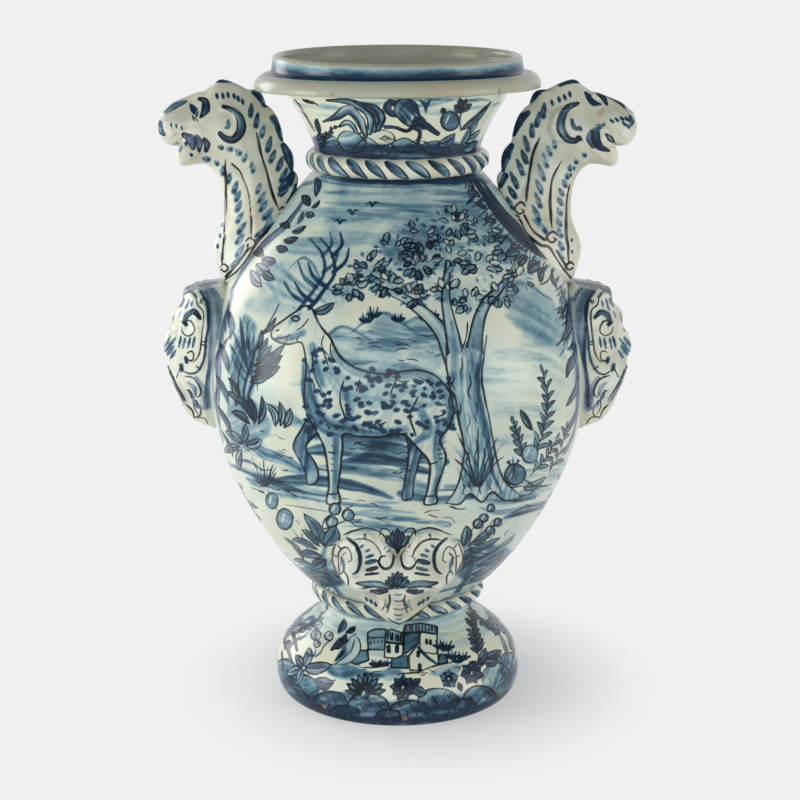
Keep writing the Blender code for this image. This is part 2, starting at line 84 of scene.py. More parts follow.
def bezier(start: Point, pull: Point, push: Point, end: Point, count: int = 60) -> Array:
    """Points of a cubic Bezier span: four points weighted by Bernstein's terms.

    Args:
        start, pull, push, end: the four knots.
        count: how many points.

    Returns:
        count points, ends included.
    """
    t = np.linspace(0, 1, count)[:, None]
    knots = [np.array(knot, float) for knot in (start, pull, push, end)]
    weights = ((1 - t) ** 3, 3 * t * (1 - t) ** 2, 3 * t ** 2 * (1 - t), t ** 3)
    return sum(weight * knot for weight, knot in zip(weights, knots))


def run_lengths(path: Array) -> Array:
    """Length along a path up to each of its points."""
    return np.r_[0, np.cumsum(np.linalg.norm(np.diff(path, axis=0), axis=1))]


def read_off(path: Array, lengths: Array, places: Array) -> Array:
    """Points of a path, whose own points lie at lengths, at other places along it."""
    return np.stack([np.interp(places, lengths, axis) for axis in path.T], axis=1)


def even_steps(path: Array, step: float) -> Array:
    """Resample a path at even steps of its own length.

    Args:
        path: points of the path, any number of coordinates.
        step: about how long each step is.

    Returns:
        points along the same path, ends kept.
    """
    lengths = run_lengths(path)
    keep = np.r_[True, np.diff(lengths) > 1e-9]
    lengths, path = lengths[keep], path[keep]
    return read_off(path, lengths, np.linspace(0, lengths[-1], max(2, round(lengths[-1] / step) + 1)))


def catmull_rom(before: Array, start: Array, end: Array, after: Array, t: Array) -> Array:
    """Points at t from 0 to 1 of the Catmull-Rom span between start and end.

    Args:
        before, start, end, after: the four knots, points or rows of them.
        t: how far along the span.

    Returns:
        a point for each t.
    """
    return 0.5 * (
        2 * start + (end - before) * t
        + (2 * before - 5 * start + 4 * end - after) * t ** 2
        + (3 * start - before - 3 * end + after) * t ** 3
    )


def extended(points: Array) -> Array:
    """Knots of an open curve with one more at each end, mirrored in the last."""
    return np.vstack((2 * points[0] - points[1], points, 2 * points[-1] - points[-2]))


def spline(knots: Sequence[Point], step: float = 2.5, closed: bool = False) -> Array:
    """A Catmull-Rom curve through a few knots.

    Args:
        knots: the points that the curve passes through.
        step: about how far apart the curve's points lie.
        closed: join the end to the start.

    Returns:
        points of the curve.
    """
    points = np.array(knots, float)
    if closed:
        padded = np.vstack((points[-1], points, points[:2]))
    elif len(points) == 2:
        return even_steps(points, step)
    else:
        padded = extended(points)
    parts = []
    for before, start, end, after in zip(padded, padded[1:], padded[2:], padded[3:]):
        count = max(2, int(np.linalg.norm(end - start) / step) + 1)
        parts.append(catmull_rom(before, start, end, after, np.linspace(0, 1, count, endpoint=False)[:, None]))
    parts.append(padded[-2][None])
    return np.vstack(parts)


def smooth(value: Array, low: float, high: float) -> Array:
    """Rise smoothly from 0 at low to 1 at high."""
    t = np.clip((value - low) / (high - low), 0, 1)
    return t * t * (3 - 2 * t)


def soft_mask(distance: Array, soft: float) -> Array:
    """Fall from 1 inside a shape to 0 outside it over an edge of the width soft."""
    return np.clip(0.5 - distance / soft, 0, 1)


def ripple(seed: int, places: Array, cells: int = 64) -> Array:
    """Smooth random values from -1 to 1 along a line, the same on each run.

    One random value stands at each whole place, and between two of them the
    values pass smoothly from one to the other.

    Args:
        seed: the same seed gives the same values.
        places: where along the line.
        cells: after how many whole places the values repeat.

    Returns:
        a value at each place.
    """
    values = np.random.default_rng(seed).uniform(-1, 1, cells)
    spot = np.mod(places, cells)
    whole = np.floor(spot).astype(int) % cells
    part = spot - np.floor(spot)
    part = part * part * (3 - 2 * part)
    return values[whole] * (1 - part) + values[(whole + 1) % cells] * part


@dataclass(frozen=True)
class PictureView:
    """The photograph's camera, in metres, radians and points of the picture."""

    across: float = 0.0024
    back: float = 1.711
    height: float = 0.758
    pitch: float = math.radians(15.33)
    focal: float = 1829.0
    size: float = 800.0
    sensor: float = 36.0

    def project(self, points: Array) -> tuple[Array, Array]:
        """Say where points in space fall in the picture.

        Args:
            points: places in metres, last axis x, y and z.

        Returns:
            how far right and how far down each one falls.
        """
        x, y, z = points[..., 0], points[..., 1], points[..., 2]
        cosine, sine = math.cos(self.pitch), math.sin(self.pitch)
        depth = (y + self.back) * cosine + (self.height - z) * sine
        up = (z - self.height) * cosine + (y + self.back) * sine
        middle = self.size / 2
        return middle + self.focal * (x - self.across) / depth, middle - self.focal * up / depth

    def facing(self, points: Array, normals: Array) -> Array:
        """Say how far each point faces the camera, from -1 to 1.

        Args:
            points: places in metres.
            normals: the skin's normals there.

        Returns:
            the cosine of the angle between normal and camera.
        """
        towards = np.array((self.across, -self.back, self.height)) - points
        towards = towards / np.linalg.norm(towards, axis=-1, keepdims=True)
        return (towards * normals).sum(axis=-1)

    def add_camera(self) -> None:
        """Put the camera into the scene."""
        data = bpy.data.cameras.new("picture_camera")
        data.sensor_width = self.sensor
        data.lens = self.focal * self.sensor / self.size
        camera = bpy.data.objects.new("picture_camera", data)
        camera.location = (self.across, -self.back, self.height)
        camera.rotation_euler = (math.pi / 2 - self.pitch, 0, 0)
        bpy.context.scene.collection.objects.link(camera)
        bpy.context.scene.camera = camera


VIEW = PictureView()


def skin_normals(points: Array) -> Array:
    """Normals of a grid of points: the cross product of its two gradients.

    Args:
        points: the grid, rows by columns by 3.

    Returns:
        a unit vector at each point.
    """
    down = np.gradient(points, axis=0)
    along = np.gradient(points, axis=1)
    normals = np.cross(along, down)
    return normals / np.maximum(np.linalg.norm(normals, axis=-1, keepdims=True), 1e-12)


class Canvas:
    """Paint on a grid of points: a wash, a drawn line and a hue at each.

    The grid's rows run up the skin and its columns run across it. A distance on
    the skin is taken as (reach * change across, change along), where reach says
    how many metres one unit across is on that row. On a flat canvas, distances
    are taken in the picture instead, so that a mark is as wide as it looks there.

    SEARCH_ROWS and SEARCH_COLUMNS size the thinned grid where a search for a place
    starts; it then takes SEARCH_STEPS steps of up to LONGEST_STEP rows or columns,
    and fails where it ends more than MISS points away. EDGE is the width of the
    soft edge of a wiped shape, in metres.
    """

    SEARCH_ROWS = 70
    SEARCH_COLUMNS = 110
    SEARCH_STEPS = 9
    LONGEST_STEP = 8
    MISS = 1.5
    EDGE = 0.0008

    def __init__(
        self, points: Array, along: Array, across: Array, reach: Array, mirrored: bool = False, flat: bool = False
    ) -> None:
        """Take the skin's points, its two scales and its reach.

        Args:
            points: rows by columns by 3, in metres.
            along: place of each row along the skin, in metres, rising.
            across: place of each column, rising.
            reach: metres per unit across, one number a row.
            mirrored: the grid runs clockwise as seen from outside.
            flat: take distances in the picture.
        """
        self.points, self.along, self.across, self.reach, self.flat = points, along, across, reach, flat
        shape = points.shape[:2]
        self.wash, self.hue, self.bare, self.height = (np.zeros(shape) for _ in range(4))
        self.ink = np.full(shape, INK_REACH)
        self.right, self.down = VIEW.project(points)
        self.outwards = skin_normals(points) * (-1 if mirrored else 1)
        self.seen = VIEW.facing(points, self.outwards) > 0.02
        self.shown = len(along)

    def raise_clay(self) -> None:
        """Move the skin's points out by the height that was carved."""
        self.points = self.points + self.outwards * self.height[..., None]
        self.right, self.down = VIEW.project(self.points)

    def locate(self, places: Array) -> Array:
        """Find where places of the picture lie on the skin.

        The nearest point of a thinned grid starts Newton's steps on the two
        picture coordinates as functions of row and column.

        Args:
            places: points of the picture, one a row.

        Returns:
            how far across and along the skin each one lies.
        """
        if self.flat:
            return places * (1.0, -POINT)
        rows = np.arange(0, len(self.along), max(1, len(self.along) // self.SEARCH_ROWS))
        columns = np.arange(0, len(self.across), max(1, len(self.across) // self.SEARCH_COLUMNS))
        grid = np.ix_(rows, columns)
        seen = self.seen[grid]
        near_right = np.where(seen, self.right[grid], 1e6)[None]
        off = (near_right - places[:, 0, None, None]) ** 2
        off += (self.down[grid][None] - places[:, 1, None, None]) ** 2
        best = off.reshape(len(places), -1).argmin(axis=1)
        last_row, last_column = len(self.along) - 1.001, len(self.across) - 1.001
        row = start_row = np.minimum(rows[best // len(columns)], last_row)
        column = start_column = np.minimum(columns[best % len(columns)], last_column)
        for _ in range(self.SEARCH_STEPS):
            i, j = row.astype(int), column.astype(int)
            u, v = row - i, column - j

            def blend(values: Array) -> tuple[Array, Array, Array]:
                """Value between four grid points, and its change to a row and to a column.

                Args:
                    values: values at the grid's points.

                Returns:
                    the value and its two changes.
                """
                a, b = values[i, j], values[i, j + 1]
                c, d = values[i + 1, j], values[i + 1, j + 1]
                value = (a * (1 - v) + b * v) * (1 - u) + (c * (1 - v) + d * v) * u
                return value, (c - a) * (1 - v) + (d - b) * v, (b - a) * (1 - u) + (d - c) * u

            right, right_row, right_column = blend(self.right)
            down, down_row, down_column = blend(self.down)
            miss_right, miss_down = places[:, 0] - right, places[:, 1] - down
            missed = np.hypot(miss_right, miss_down) > self.MISS
            turn = right_row * down_column - right_column * down_row
            turn = np.where(np.abs(turn) < 1e-4, 1e-4, turn)
            step_row = (miss_right * down_column - miss_down * right_column) / turn
            step_column = (miss_down * right_row - miss_right * down_row) / turn
            step_row, step_column = (
                np.clip(step, -self.LONGEST_STEP, self.LONGEST_STEP) for step in (step_row, step_column)
            )
            row, column = np.clip(row + step_row, 0, last_row), np.clip(column + step_column, 0, last_column)
        row, column = np.where(missed, start_row, row), np.where(missed, start_column, column)
        across = np.interp(column, np.arange(len(self.across)), self.across)
        return np.stack((across, np.interp(row, np.arange(len(self.along)), self.along)), axis=1)

    def by_height(self, places: Array) -> Array:
        """Turn azimuths in degrees and heights in millimetres into places on the skin.

        Args:
            places: azimuth and height, one place a row.

        Returns:
            how far across and along the skin each one lies.
        """
        heights = self.points[:self.shown, 0, 2] * MILLI
        order = np.argsort(heights, kind="stable")
        along = np.interp(places[:, 1], heights[order], self.along[order])
        return np.stack((np.radians(places[:, 0]), along), axis=1)

    def window(self, path: Array, margin: float) -> Window | None:
        """Rows and columns that a path comes near, or None if it misses the skin.

        Args:
            path: places across and along the skin.
            margin: how near counts, in metres.

        Returns:
            the two slices, or None.
        """
        if self.flat:
            low, high = path.min(axis=0) - (margin / POINT, margin), path.max(axis=0) + (margin / POINT, margin)
            close = self.seen & (self.right > low[0]) & (self.right < high[0])
            close &= (-self.down * POINT > low[1]) & (-self.down * POINT < high[1])
            if not close.any():
                return None
            rows, columns = (np.flatnonzero(close.any(axis=axis)) for axis in (1, 0))
            return slice(rows[0], rows[-1] + 1), slice(columns[0], columns[-1] + 1)
        low, high = path[:, 1].min() - margin, path[:, 1].max() + margin
        rows = slice(*np.searchsorted(self.along, (low, high)))
        if rows.start >= rows.stop:
            return None
        spread = margin / self.reach[rows].min()
        low, high = path[:, 0].min() - spread, path[:, 0].max() + spread
        columns = slice(*np.searchsorted(self.across, (low, high)))
        return (rows, columns) if columns.start < columns.stop else None

    def spots(self, window: Window) -> tuple[Array, Array, Array | float]:
        """Across, along and reach of the grid's points in a window.

        Args:
            window: rows and columns of the grid.

        Returns:
            three values that broadcast over the window.
        """
        if self.flat:
            return self.right[window], -self.down[window] * POINT, POINT
        rows, columns = window
        return self.across[columns][None, :], self.along[rows][:, None], self.reach[rows][:, None]

    def fold(self, columns: Array) -> None:
        """Repeat the seen side on the other: each column takes after the one named for it."""
        for values in (self.wash, self.hue, self.bare, self.height, self.ink):
            values[:] = values[:, columns]

    def near(self, path: Array, margin: float) -> tuple[Window, Array, Array, Array] | None:
        """Distance from a path to the grid's points near it.

        Args:
            path: places across and along the skin.
            margin: how far from the path points matter, in metres.

        Returns:
            the window, the distance, the share of the path at the nearest place
            and the side on which the point lies, or None.
        """
        window = self.window(path, margin)
        if window is None:
            return None
        across, along, reach = self.spots(window)
        best = np.full(np.broadcast(across, along).shape, np.inf)
        share, side = np.zeros_like(best), np.zeros_like(best)
        count = len(path) - 1
        for index, (start, end) in enumerate(zip(path, path[1:])):
            run_x, run_y = (end[0] - start[0]) * reach, end[1] - start[1]
            from_x, from_y = (across - start[0]) * reach, along - start[1]
            t = np.clip((from_x * run_x + from_y * run_y) / (run_x ** 2 + run_y ** 2 + 1e-18), 0, 1)
            off = (from_x - t * run_x) ** 2 + (from_y - t * run_y) ** 2
            nearer = off < best
            best = np.where(nearer, off, best)
            share = np.where(nearer, (index + t) / count, share)
            side = np.where(nearer, np.sign(run_x * from_y - run_y * from_x), side)
        if self.flat:
            best = np.where(self.seen[window], best, 1.0)
        return window, np.sqrt(best), share, side

    def inside(self, loop: Array, margin: float) -> tuple[Window, Array, Array] | None:
        """Signed distance to a closed loop, negative inside it.

        Args:
            loop: places across and along the skin, first and last the same.
            margin: how far outside the loop points matter, in metres.

        Returns:
            the window, the distance and the share of the loop nearest to each point, or None.
        """
        found = self.near(loop, margin)
        if found is None:
            return None
        window, distance, share, _ = found
        across, along, _ = self.spots(window)
        within = np.zeros(distance.shape, bool)
        for start, end in zip(loop, loop[1:]):
            crosses = (start[1] > along) != (end[1] > along)
            if crosses.any():
                at = start[0] + (along - start[1]) / (end[1] - start[1] + 1e-18) * (end[0] - start[0])
                within ^= crosses & (across < at)
        return window, np.where(within & (distance < 1.0), -distance, distance), share

    def lay(self, window: Window, amount: Array, hue: float) -> None:
        """Lay a see-through wash over the window.

        Args:
            window: rows and columns of the grid.
            amount: how dark at each point, from 0 to 1.
            hue: 0 for blue-green, 1 for violet.
        """
        amount = np.clip(amount, 0, 1)
        under = self.wash[window]
        self.wash[window] = 1 - (1 - under) * (1 - amount)
        share = amount / np.maximum(self.wash[window], 1e-6)
        self.hue[window] += (hue - self.hue[window]) * np.clip(share, 0, 1)

    def draw(self, window: Window, distance: Array) -> None:
        """Add a drawn line, as the distance to its edge, negative within it."""
        self.ink[window] = np.minimum(self.ink[window], np.clip(distance, -INK_REACH, INK_REACH))

    def wipe(self, window: Window, distance: Array) -> None:
        """Take paint away inside a shape, as when one thing stands before another."""
        self.wash[window] *= 1 - soft_mask(distance, self.EDGE)
        self.ink[window] = np.maximum(self.ink[window], np.clip(-distance, -INK_REACH, INK_REACH))


@dataclass
class Brush:
    """Paints on a canvas in points of the picture, about a millimetre each.

    turn carries what is painted round the vase and flip mirrors it about the
    middle of the picture. chart turns places into places on the skin where the
    picture doesn't show it. wobble is how far a curve strays, in points, pressure
    by how much a line's width comes and goes and pool how much darker a wash dries
    at its edge.
    """

    canvas: Canvas
    turn: float = 0.0
    flip: bool = False
    middle: float = 397.2
    seed: int = 1
    chart: Callable[[Array], Array] | None = None
    wobble: float = 0.45
    pressure: float = 0.42
    pool: float = 0.30

    def curve(self, knots: Sequence[Point], closed: bool = False, rounded: bool = True) -> Array:
        """Curve through a few knots with the slight wobble of a hand.

        Args:
            knots: points of the picture.
            closed: join the end to the start.
            rounded: smooth; otherwise straight between the knots.

        Returns:
            points of the curve, moved by up to the wobble's points each way.
        """
        self.seed += 1
        places = spline(knots, closed=closed) if rounded else even_steps(np.array([*knots, knots[0]], float), 3)
        at = np.arange(len(places)) * 0.22
        shift = np.stack((ripple(self.seed, at), ripple(self.seed + 40, at + 9)), axis=1)
        if closed:
            shift[-1] = shift[0]
        return places + self.wobble * shift

    def press(self, share: Array, places: Array) -> Array:
        """How hard the pen is pressed at shares of a curve, about 1."""
        return 1 + self.pressure * ripple(self.seed + 11, share * len(places) * 0.16 + 5)

    def paths(self, places: Array) -> list[Array]:
        """Turn places of the picture into paths on the skin, wraps included.

        Args:
            places: points of the picture, one a row.

        Returns:
            one path, or three a turn apart where the painting is carried round.
        """
        places = np.array(places, float)
        if self.flip:
            places[:, 0] = 2 * self.middle - places[:, 0]
        path = (self.chart or self.canvas.locate)(places)
        if not self.turn:
            return [path]
        return [path + (self.turn + whole, 0) for whole in (0, TAU, -TAU)]

    def stroke(
        self,
        knots: Sequence[Point],
        widths: Sequence[float],
        tone: float,
        hue: float = 0.0,
        soft: float = 0.9,
        streak: float = 0.35,
        outline: float = 0.0,
        shape: bool = False,
    ) -> None:
        """Paint one brush stroke with a wash.

        Args:
            knots: points of the picture that the stroke passes through.
            widths: the stroke's width in millimetres, at even places along it.
            tone: how dark, from 0 to 1.
            hue: 0 for blue-green, 1 for violet.
            soft: width of the soft edge in millimetres.
            streak: how strongly the bristles show.
            outline: width of a line drawn round the stroke, or 0.
            shape: wipe what lies under the stroke first.
        """
        places = self.curve(knots)
        half = np.array(widths, float) / HALVES
        margin = half.max() + INK_REACH
        at = np.linspace(0, 1, len(half))
        for path in self.paths(places):
            found = self.canvas.near(path, margin)
            if found is None:
                continue
            window, distance, share, side = found
            width = np.interp(share, at, half) if len(half) > 1 else half[0]
            edge = distance - width
            if shape:
                self.canvas.wipe(window, edge)
            mask = soft_mask(edge, soft / MILLI)
            bristle = side * distance / np.maximum(width, 5e-4)
            grain = ripple(self.seed, bristle * 2.6 + share * 1.7 + 20) * 0.6
            grain += ripple(self.seed + 7, share * 5 + 3) * 0.4
            pool = 1 + self.pool * np.exp(-((edge + 0.0006) / 0.0007) ** 2)
            self.canvas.lay(window, mask * tone * (1 + streak * grain) * pool, hue)
            if outline:
                self.canvas.draw(window, np.abs(edge) - outline / HALVES * self.press(share, places))

    def band(self, height: float, width: float, tone: float, hue: float, soft: float, streak: float) -> None:
        """Paint a band all round a turned skin.

        Its grain is made of ripples that repeat after one turn.

        Args:
            height, width: the band's middle and its width in millimetres.
            tone, hue, soft, streak: as for a stroke.
        """
        self.seed += 1
        middle = self.canvas.by_height(np.array([(0.0, height)]))[0, 1]
        reach = (width + soft) / HALVES
        rows = slice(*np.searchsorted(self.canvas.along, (middle - reach, middle + reach)))
        off, turns = self.canvas.along[rows][:, None] - middle, self.canvas.across[None] / TAU
        grain = ripple(self.seed, off / width * 5200 + 1.6 * ripple(self.seed + 7, turns * 16, 16) + 20) * 0.6
        grain = grain + ripple(self.seed + 9, turns * 32 + off * 60, 32) * 0.4
        mask = soft_mask(np.abs(off) - width / HALVES, soft / MILLI)
        self.canvas.lay((rows, slice(None)), mask * tone * (1 + streak * grain), hue)

    def line(self, knots: Sequence[Point], width: float, taper: bool = True) -> None:
        """Draw a thin dark line through a few points, thinner at its ends.

        Args:
            knots: points of the picture that the line passes through.
            width: its width in millimetres.
            taper: thin it towards its ends.
        """
        places = self.curve(knots)
        for path in self.paths(places):
            found = self.canvas.near(path, width / MILLI + INK_REACH)
            if found is None:
                continue
            window, distance, share, _ = found
            press = self.press(share, places)
            if taper:
                press = press * (0.45 + 0.55 * np.clip(np.minimum(share, 1 - share) * 7, 0, 1))
            self.canvas.draw(window, distance - width / HALVES * press)

    def lines(self, paths: Sequence[Sequence[Point]], width: float, taper: bool = True) -> None:
        """Draw several lines of one width."""
        for knots in paths:
            self.line(knots, width, taper)

    def dots(
        self, places: Sequence[Point], step: Point, widths: Sequence[float], tone: float, hue: float, soft: float
    ) -> None:
        """Paint several short marks, each from its place less the step to its place plus the step."""
        for x, y in places:
            self.stroke([(x - step[0], y - step[1]), (x + step[0], y + step[1])], widths, tone, hue, soft)

    def dabs(self, places: Sequence[Four], tone: float, width: float) -> None:
        """Paint tear-shaped dabs with a dark end: x, y and the step to the dark end.

        Args:
            places: x, y and the step to the dark end, for each dab.
            tone: how dark, from 0 to 1.
            width: a dab's width in millimetres.
        """
        for x, y, over, down in places:
            ends = [(x - over / 2, y - down / 2), (x + over / 2, y + down / 2)]
            self.stroke(ends, (width * 0.5, width, width * 0.9), tone, 0.15, 0.8, 0.7)
            self.stroke([ends[0], (x, y)], (1.2, width * 0.5, 0.8), tone * 0.5, 0.1, 0.8, 0.7)
            self.stroke(
                [ends[1], (ends[1][0] - over * 0.14, ends[1][1] - down * 0.14)], (2.8, 2.0), 0.95, 0.1, 0.7
            )

    def patch(
        self,
        knots: Sequence[Point],
        tone: float,
        hue: float = 0.0,
        outline: float = 0.0,
        soft: float = 1.2,
        streak: float = 0.3,
        lean: float = 0.0,
        shape: bool = False,
        rounded: bool = True,
    ) -> None:
        """Fill a closed shape with a wash whose bristle marks lean one way.

        Args:
            knots: the shape's corners in points of the picture.
            tone, hue, outline, soft, streak, shape: as for a stroke.
            lean: direction of the bristle marks in radians, 0 across.
            rounded: pass a smooth curve through the corners.
        """
        places = self.curve(knots, True, rounded)
        for path in self.paths(places):
            found = self.canvas.inside(path, INK_REACH)
            if found is None:
                continue
            window, distance, share = found
            if shape:
                self.canvas.wipe(window, distance)
            if tone:
                across, along, reach = self.canvas.spots(window)
                x, y = (across - path[0, 0]) * reach, along - path[0, 1]
                over = x * math.cos(lean) + y * math.sin(lean)
                up = y * math.cos(lean) - x * math.sin(lean)
                grain = ripple(self.seed, up * 420 + ripple(self.seed + 3, over * 60) * 1.2 + 20) * 0.6
                grain += ripple(self.seed + 5, over * 90 + up * 40 + 30) * 0.4
                mask = soft_mask(distance, soft / MILLI)
                pool = 1 + (self.pool * np.exp(-((distance + 0.0007) / 0.0008) ** 2) if soft < 3 else 0)
                self.canvas.lay(window, mask * tone * (1 + streak * grain) * pool, hue)
            if outline:
                self.canvas.draw(window, np.abs(distance) - outline / HALVES * self.press(share, places))

    def lift(self, knots: Sequence[Point], width: float, amount: float, crisp: float) -> None:
        """Raise clay along a path, or sink it where the amount is negative.

        The section is (1 - (distance / half the width) ** 2) to the power crisp.

        Args:
            knots: points that the path passes through.
            width: width of the raised band in millimetres.
            amount: its height in millimetres.
            crisp: below 1 for steep sides, above 1 for a soft swell.
        """
        for path in self.paths(spline(knots)):
            found = self.canvas.near(path, width / HALVES)
            if found is None:
                continue
            window, distance, share, _ = found
            section = np.clip(1 - (distance / (width / HALVES)) ** 2, 0, 1) ** crisp
            fade = np.clip(np.minimum(share, 1 - share) * 9 + 0.35, 0, 1)
            raised = amount / MILLI * section * fade
            further = np.maximum if amount > 0 else np.minimum
            self.canvas.height[window] = further(self.canvas.height[window], raised)

    def leaf(
        self,
        base: Point,
        tip: Point,
        width: float,
        tone: float,
        hue: float = 0.0,
        bend: float = 0.0,
        outline: float = 1.3,
        vein: bool = True,
    ) -> None:
        """Paint a pointed leaf, its half width the root of a sine along it.

        Args:
            base, tip: its two ends in points of the picture.
            width: its greatest width in millimetres.
            tone, hue, outline: as for a stroke.
            bend: how far its middle bows sideways, as a share of its length.
            vein: draw a line along its middle.
        """
        start, end = np.array(base, float), np.array(tip, float)
        run = end - start
        sideways = np.array((-run[1], run[0]))
        middle = start + run * 0.5 + sideways * bend
        swell = width * np.sin(np.linspace(0, math.pi, 9)) ** 0.75
        self.stroke([start, middle, end], swell, tone * 0.86, hue, outline=outline, shape=bool(outline), streak=0.5)
        aside = sideways / max(1.0, float(np.linalg.norm(run))) * width * (0.2 if self.seed % 3 else -0.2)
        self.stroke([
            start + run * 0.1, middle + aside, start + run * 0.82 + aside * 0.5
        ], (0.8, width * 0.34, width * 0.36, 0.6), tone * 0.62, hue, 0.8, 0.7)
        if vein:
            self.line([start, middle, start + run * 0.86 + (middle - start - run * 0.5) * 0.4], 1.0)

    def leaves(self, rows: Sequence[tuple], hue: float = 0.0, bend: float = 0.0, outline: float = 1.3) -> None:
        """Paint several leaves.

        Args:
            rows: base, tip, width and tone of each, and its hue where it has its own.
            hue, bend, outline: as for a leaf.
        """
        for base, tip, width, tone, *own in rows:
            self.leaf(base, tip, width, tone, own[0] if own else hue, bend, outline)

    def spray(
        self,
        stem: Sequence[Point],
        count: int,
        length: float,
        width: float,
        tone: float,
        hue: float,
        spread: float = 0.75,
        outline: float = 1.2,
        vein: bool = False,
    ) -> None:
        """Paint a stem with leaves to both sides, shorter towards its tip.

        Args:
            stem: knots of the stem, base first.
            count: how many leaves.
            length, width: size of the lowest leaf, in points and millimetres.
            spread: angle between a leaf and the stem, in radians.
            tone, hue, outline, vein: as for a leaf.
        """
        path = even_steps(spline(stem), 1.0)
        last = len(path) - 1
        for index, share in enumerate(np.linspace(0.1, 1.0, count)):
            at = int(share * last)
            ahead = path[min(last, at + 3)] - path[max(0, at - 3)]
            turn = 0.0 if index == count - 1 else spread * (1 if index % 2 else -1)
            heading = math.atan2(ahead[1], ahead[0]) + turn * (
                1 + 0.2 * float(ripple(self.seed, np.array(index * 1.3)))
            )
            reach = length * (1 - 0.4 * share)
            tip = path[at] + reach * np.array((math.cos(heading), math.sin(heading)))
            self.leaf(path[at], tip, width * (1 - 0.3 * share), tone, hue, -0.12 * np.sign(turn), outline, vein)
        self.line(stem, 1.3)

    def tuft(
        self, base: Point, height: float, count: int, spread: float, tone: float, hue: float = 0.0,
        outline: float = 0.0,
    ) -> None:
        """Paint blades of grass that fan out of one spot.

        Args:
            base: the spot, in points of the picture.
            height: length of the longest blade.
            count: how many blades.
            spread: angle between the outer blades, in radians.
            tone, hue, outline: as for a stroke.
        """
        for index in range(count):
            place = index / max(1, count - 1) - 0.5
            angle = place * spread
            reach = height * (1 - 0.9 * abs(place) ** 1.5) * (0.85 + 0.3 * ((index * 7) % 5) / 5)
            tip = (base[0] + reach * math.sin(angle * 1.25), base[1] - reach * math.cos(angle))
            knee = (base[0] + place * 9 + reach * 0.5 * math.sin(angle), base[1] - reach * 0.55)
            self.stroke([(base[0] + place * 6, base[1]), knee, tip], (2.6, 2.2, 1.2, 0.4), tone, hue, 0.8, 0.5)
            if outline and index % 2 == 0:
                self.line([(base[0] + place * 6, base[1]), knee, tip], outline)

    def berry(self, centre: Point, radius: float, tone: float, hue: float, tall: float = 1.0) -> None:
        """Paint a round berry with a light spot and a drawn edge.

        Args:
            centre, radius: its middle and size, in points of the picture.
            tone, hue: as for a stroke.
            tall: its height against its width.
        """
        angles = np.linspace(0, TAU, 8, endpoint=False)
        loop = [(centre[0] + radius * math.cos(a), centre[1] + tall * radius * math.sin(a)) for a in angles]
        self.patch(loop, tone, hue, 1.3, shape=True)
        self.stroke([
            (centre[0] - radius * 0.45, centre[1] + radius * 0.3 * tall),
            (centre[0] - radius * 0.1, centre[1] - radius * 0.5 * tall)
        ], (1.2, 1.6), 0.0, shape=True)

    def blossom(
        self, centre: Point, radius: float, petals: int, tone: float, hue: float, width: float = 1.0,
        half: bool = False,
    ) -> None:
        """Paint an open flower with rounded petals round a dark heart.

        Args:
            centre: its middle, in points of the picture.
            radius: length of a petal.
            petals: how many of them.
            tone, hue: as for a stroke.
            width: width of a petal against the one that just fills the ring.
            half: paint only the upper half of the ring.
        """
        fill = math.pi * radius / petals * (0.5 if half else 1.0) * 1.5 * width
        for index in range(petals):
            turn = -math.pi * (index + 0.5) / petals if half else TAU * index / petals - math.pi / 2
            over, up = math.cos(turn), math.sin(turn)
            ends = [(centre[0] + over * radius * k, centre[1] + up * radius * k) for k in (0.2, 0.6, 1.0)]
            self.stroke(
                ends, (1.0, fill * 0.8, fill, fill * 0.9, 1.0), tone, hue, outline=1.2, shape=True, streak=0.5
            )
            self.line([ends[0], ends[1]], 1.0)
        self.berry(centre, radius * 0.24, 0.9, hue)

    def hatch(self, start: Point, end: Point, count: int, ray: Point, width: float) -> None:
        """Draw short parallel marks from places along a line.

        Args:
            start, end: the line's ends, in points of the picture.
            count: how many marks.
            ray: the step from a mark's start to its end.
            width: width of a mark in millimetres.
        """
        for share in np.linspace(0, 1, count):
            x = start[0] + (end[0] - start[0]) * share
            y = start[1] + (end[1] - start[1]) * share
            self.line([(x, y), (x + ray[0], y + ray[1])], width)

    def pen_marks(self, box: Four, count: int, length: float, lean: float, width: float = 0.8) -> None:
        """Scatter short bent pen strokes over a box of the picture.

        Args:
            box: left, top, right and bottom.
            count: how many strokes.
            length: the longest stroke, in points.
            lean: their direction in radians, 0 across and rising downwards.
            width: width of a stroke in millimetres.
        """
        chance = np.random.default_rng(count * 31 + int(box[0] + box[3]))
        for _ in range(count):
            x, y = chance.uniform(box[0], box[2]), chance.uniform(box[1], box[3])
            reach, turn = length * chance.uniform(0.35, 1.0), lean + chance.uniform(-0.35, 0.35)
            over, down, bow = reach * math.cos(turn), reach * math.sin(turn), reach * chance.uniform(-0.2, 0.2)
            self.line([
                (x, y), (x + over / 2 - bow * math.sin(turn), y + down / 2 + bow * math.cos(turn)),
                (x + over, y + down)
            ], width)

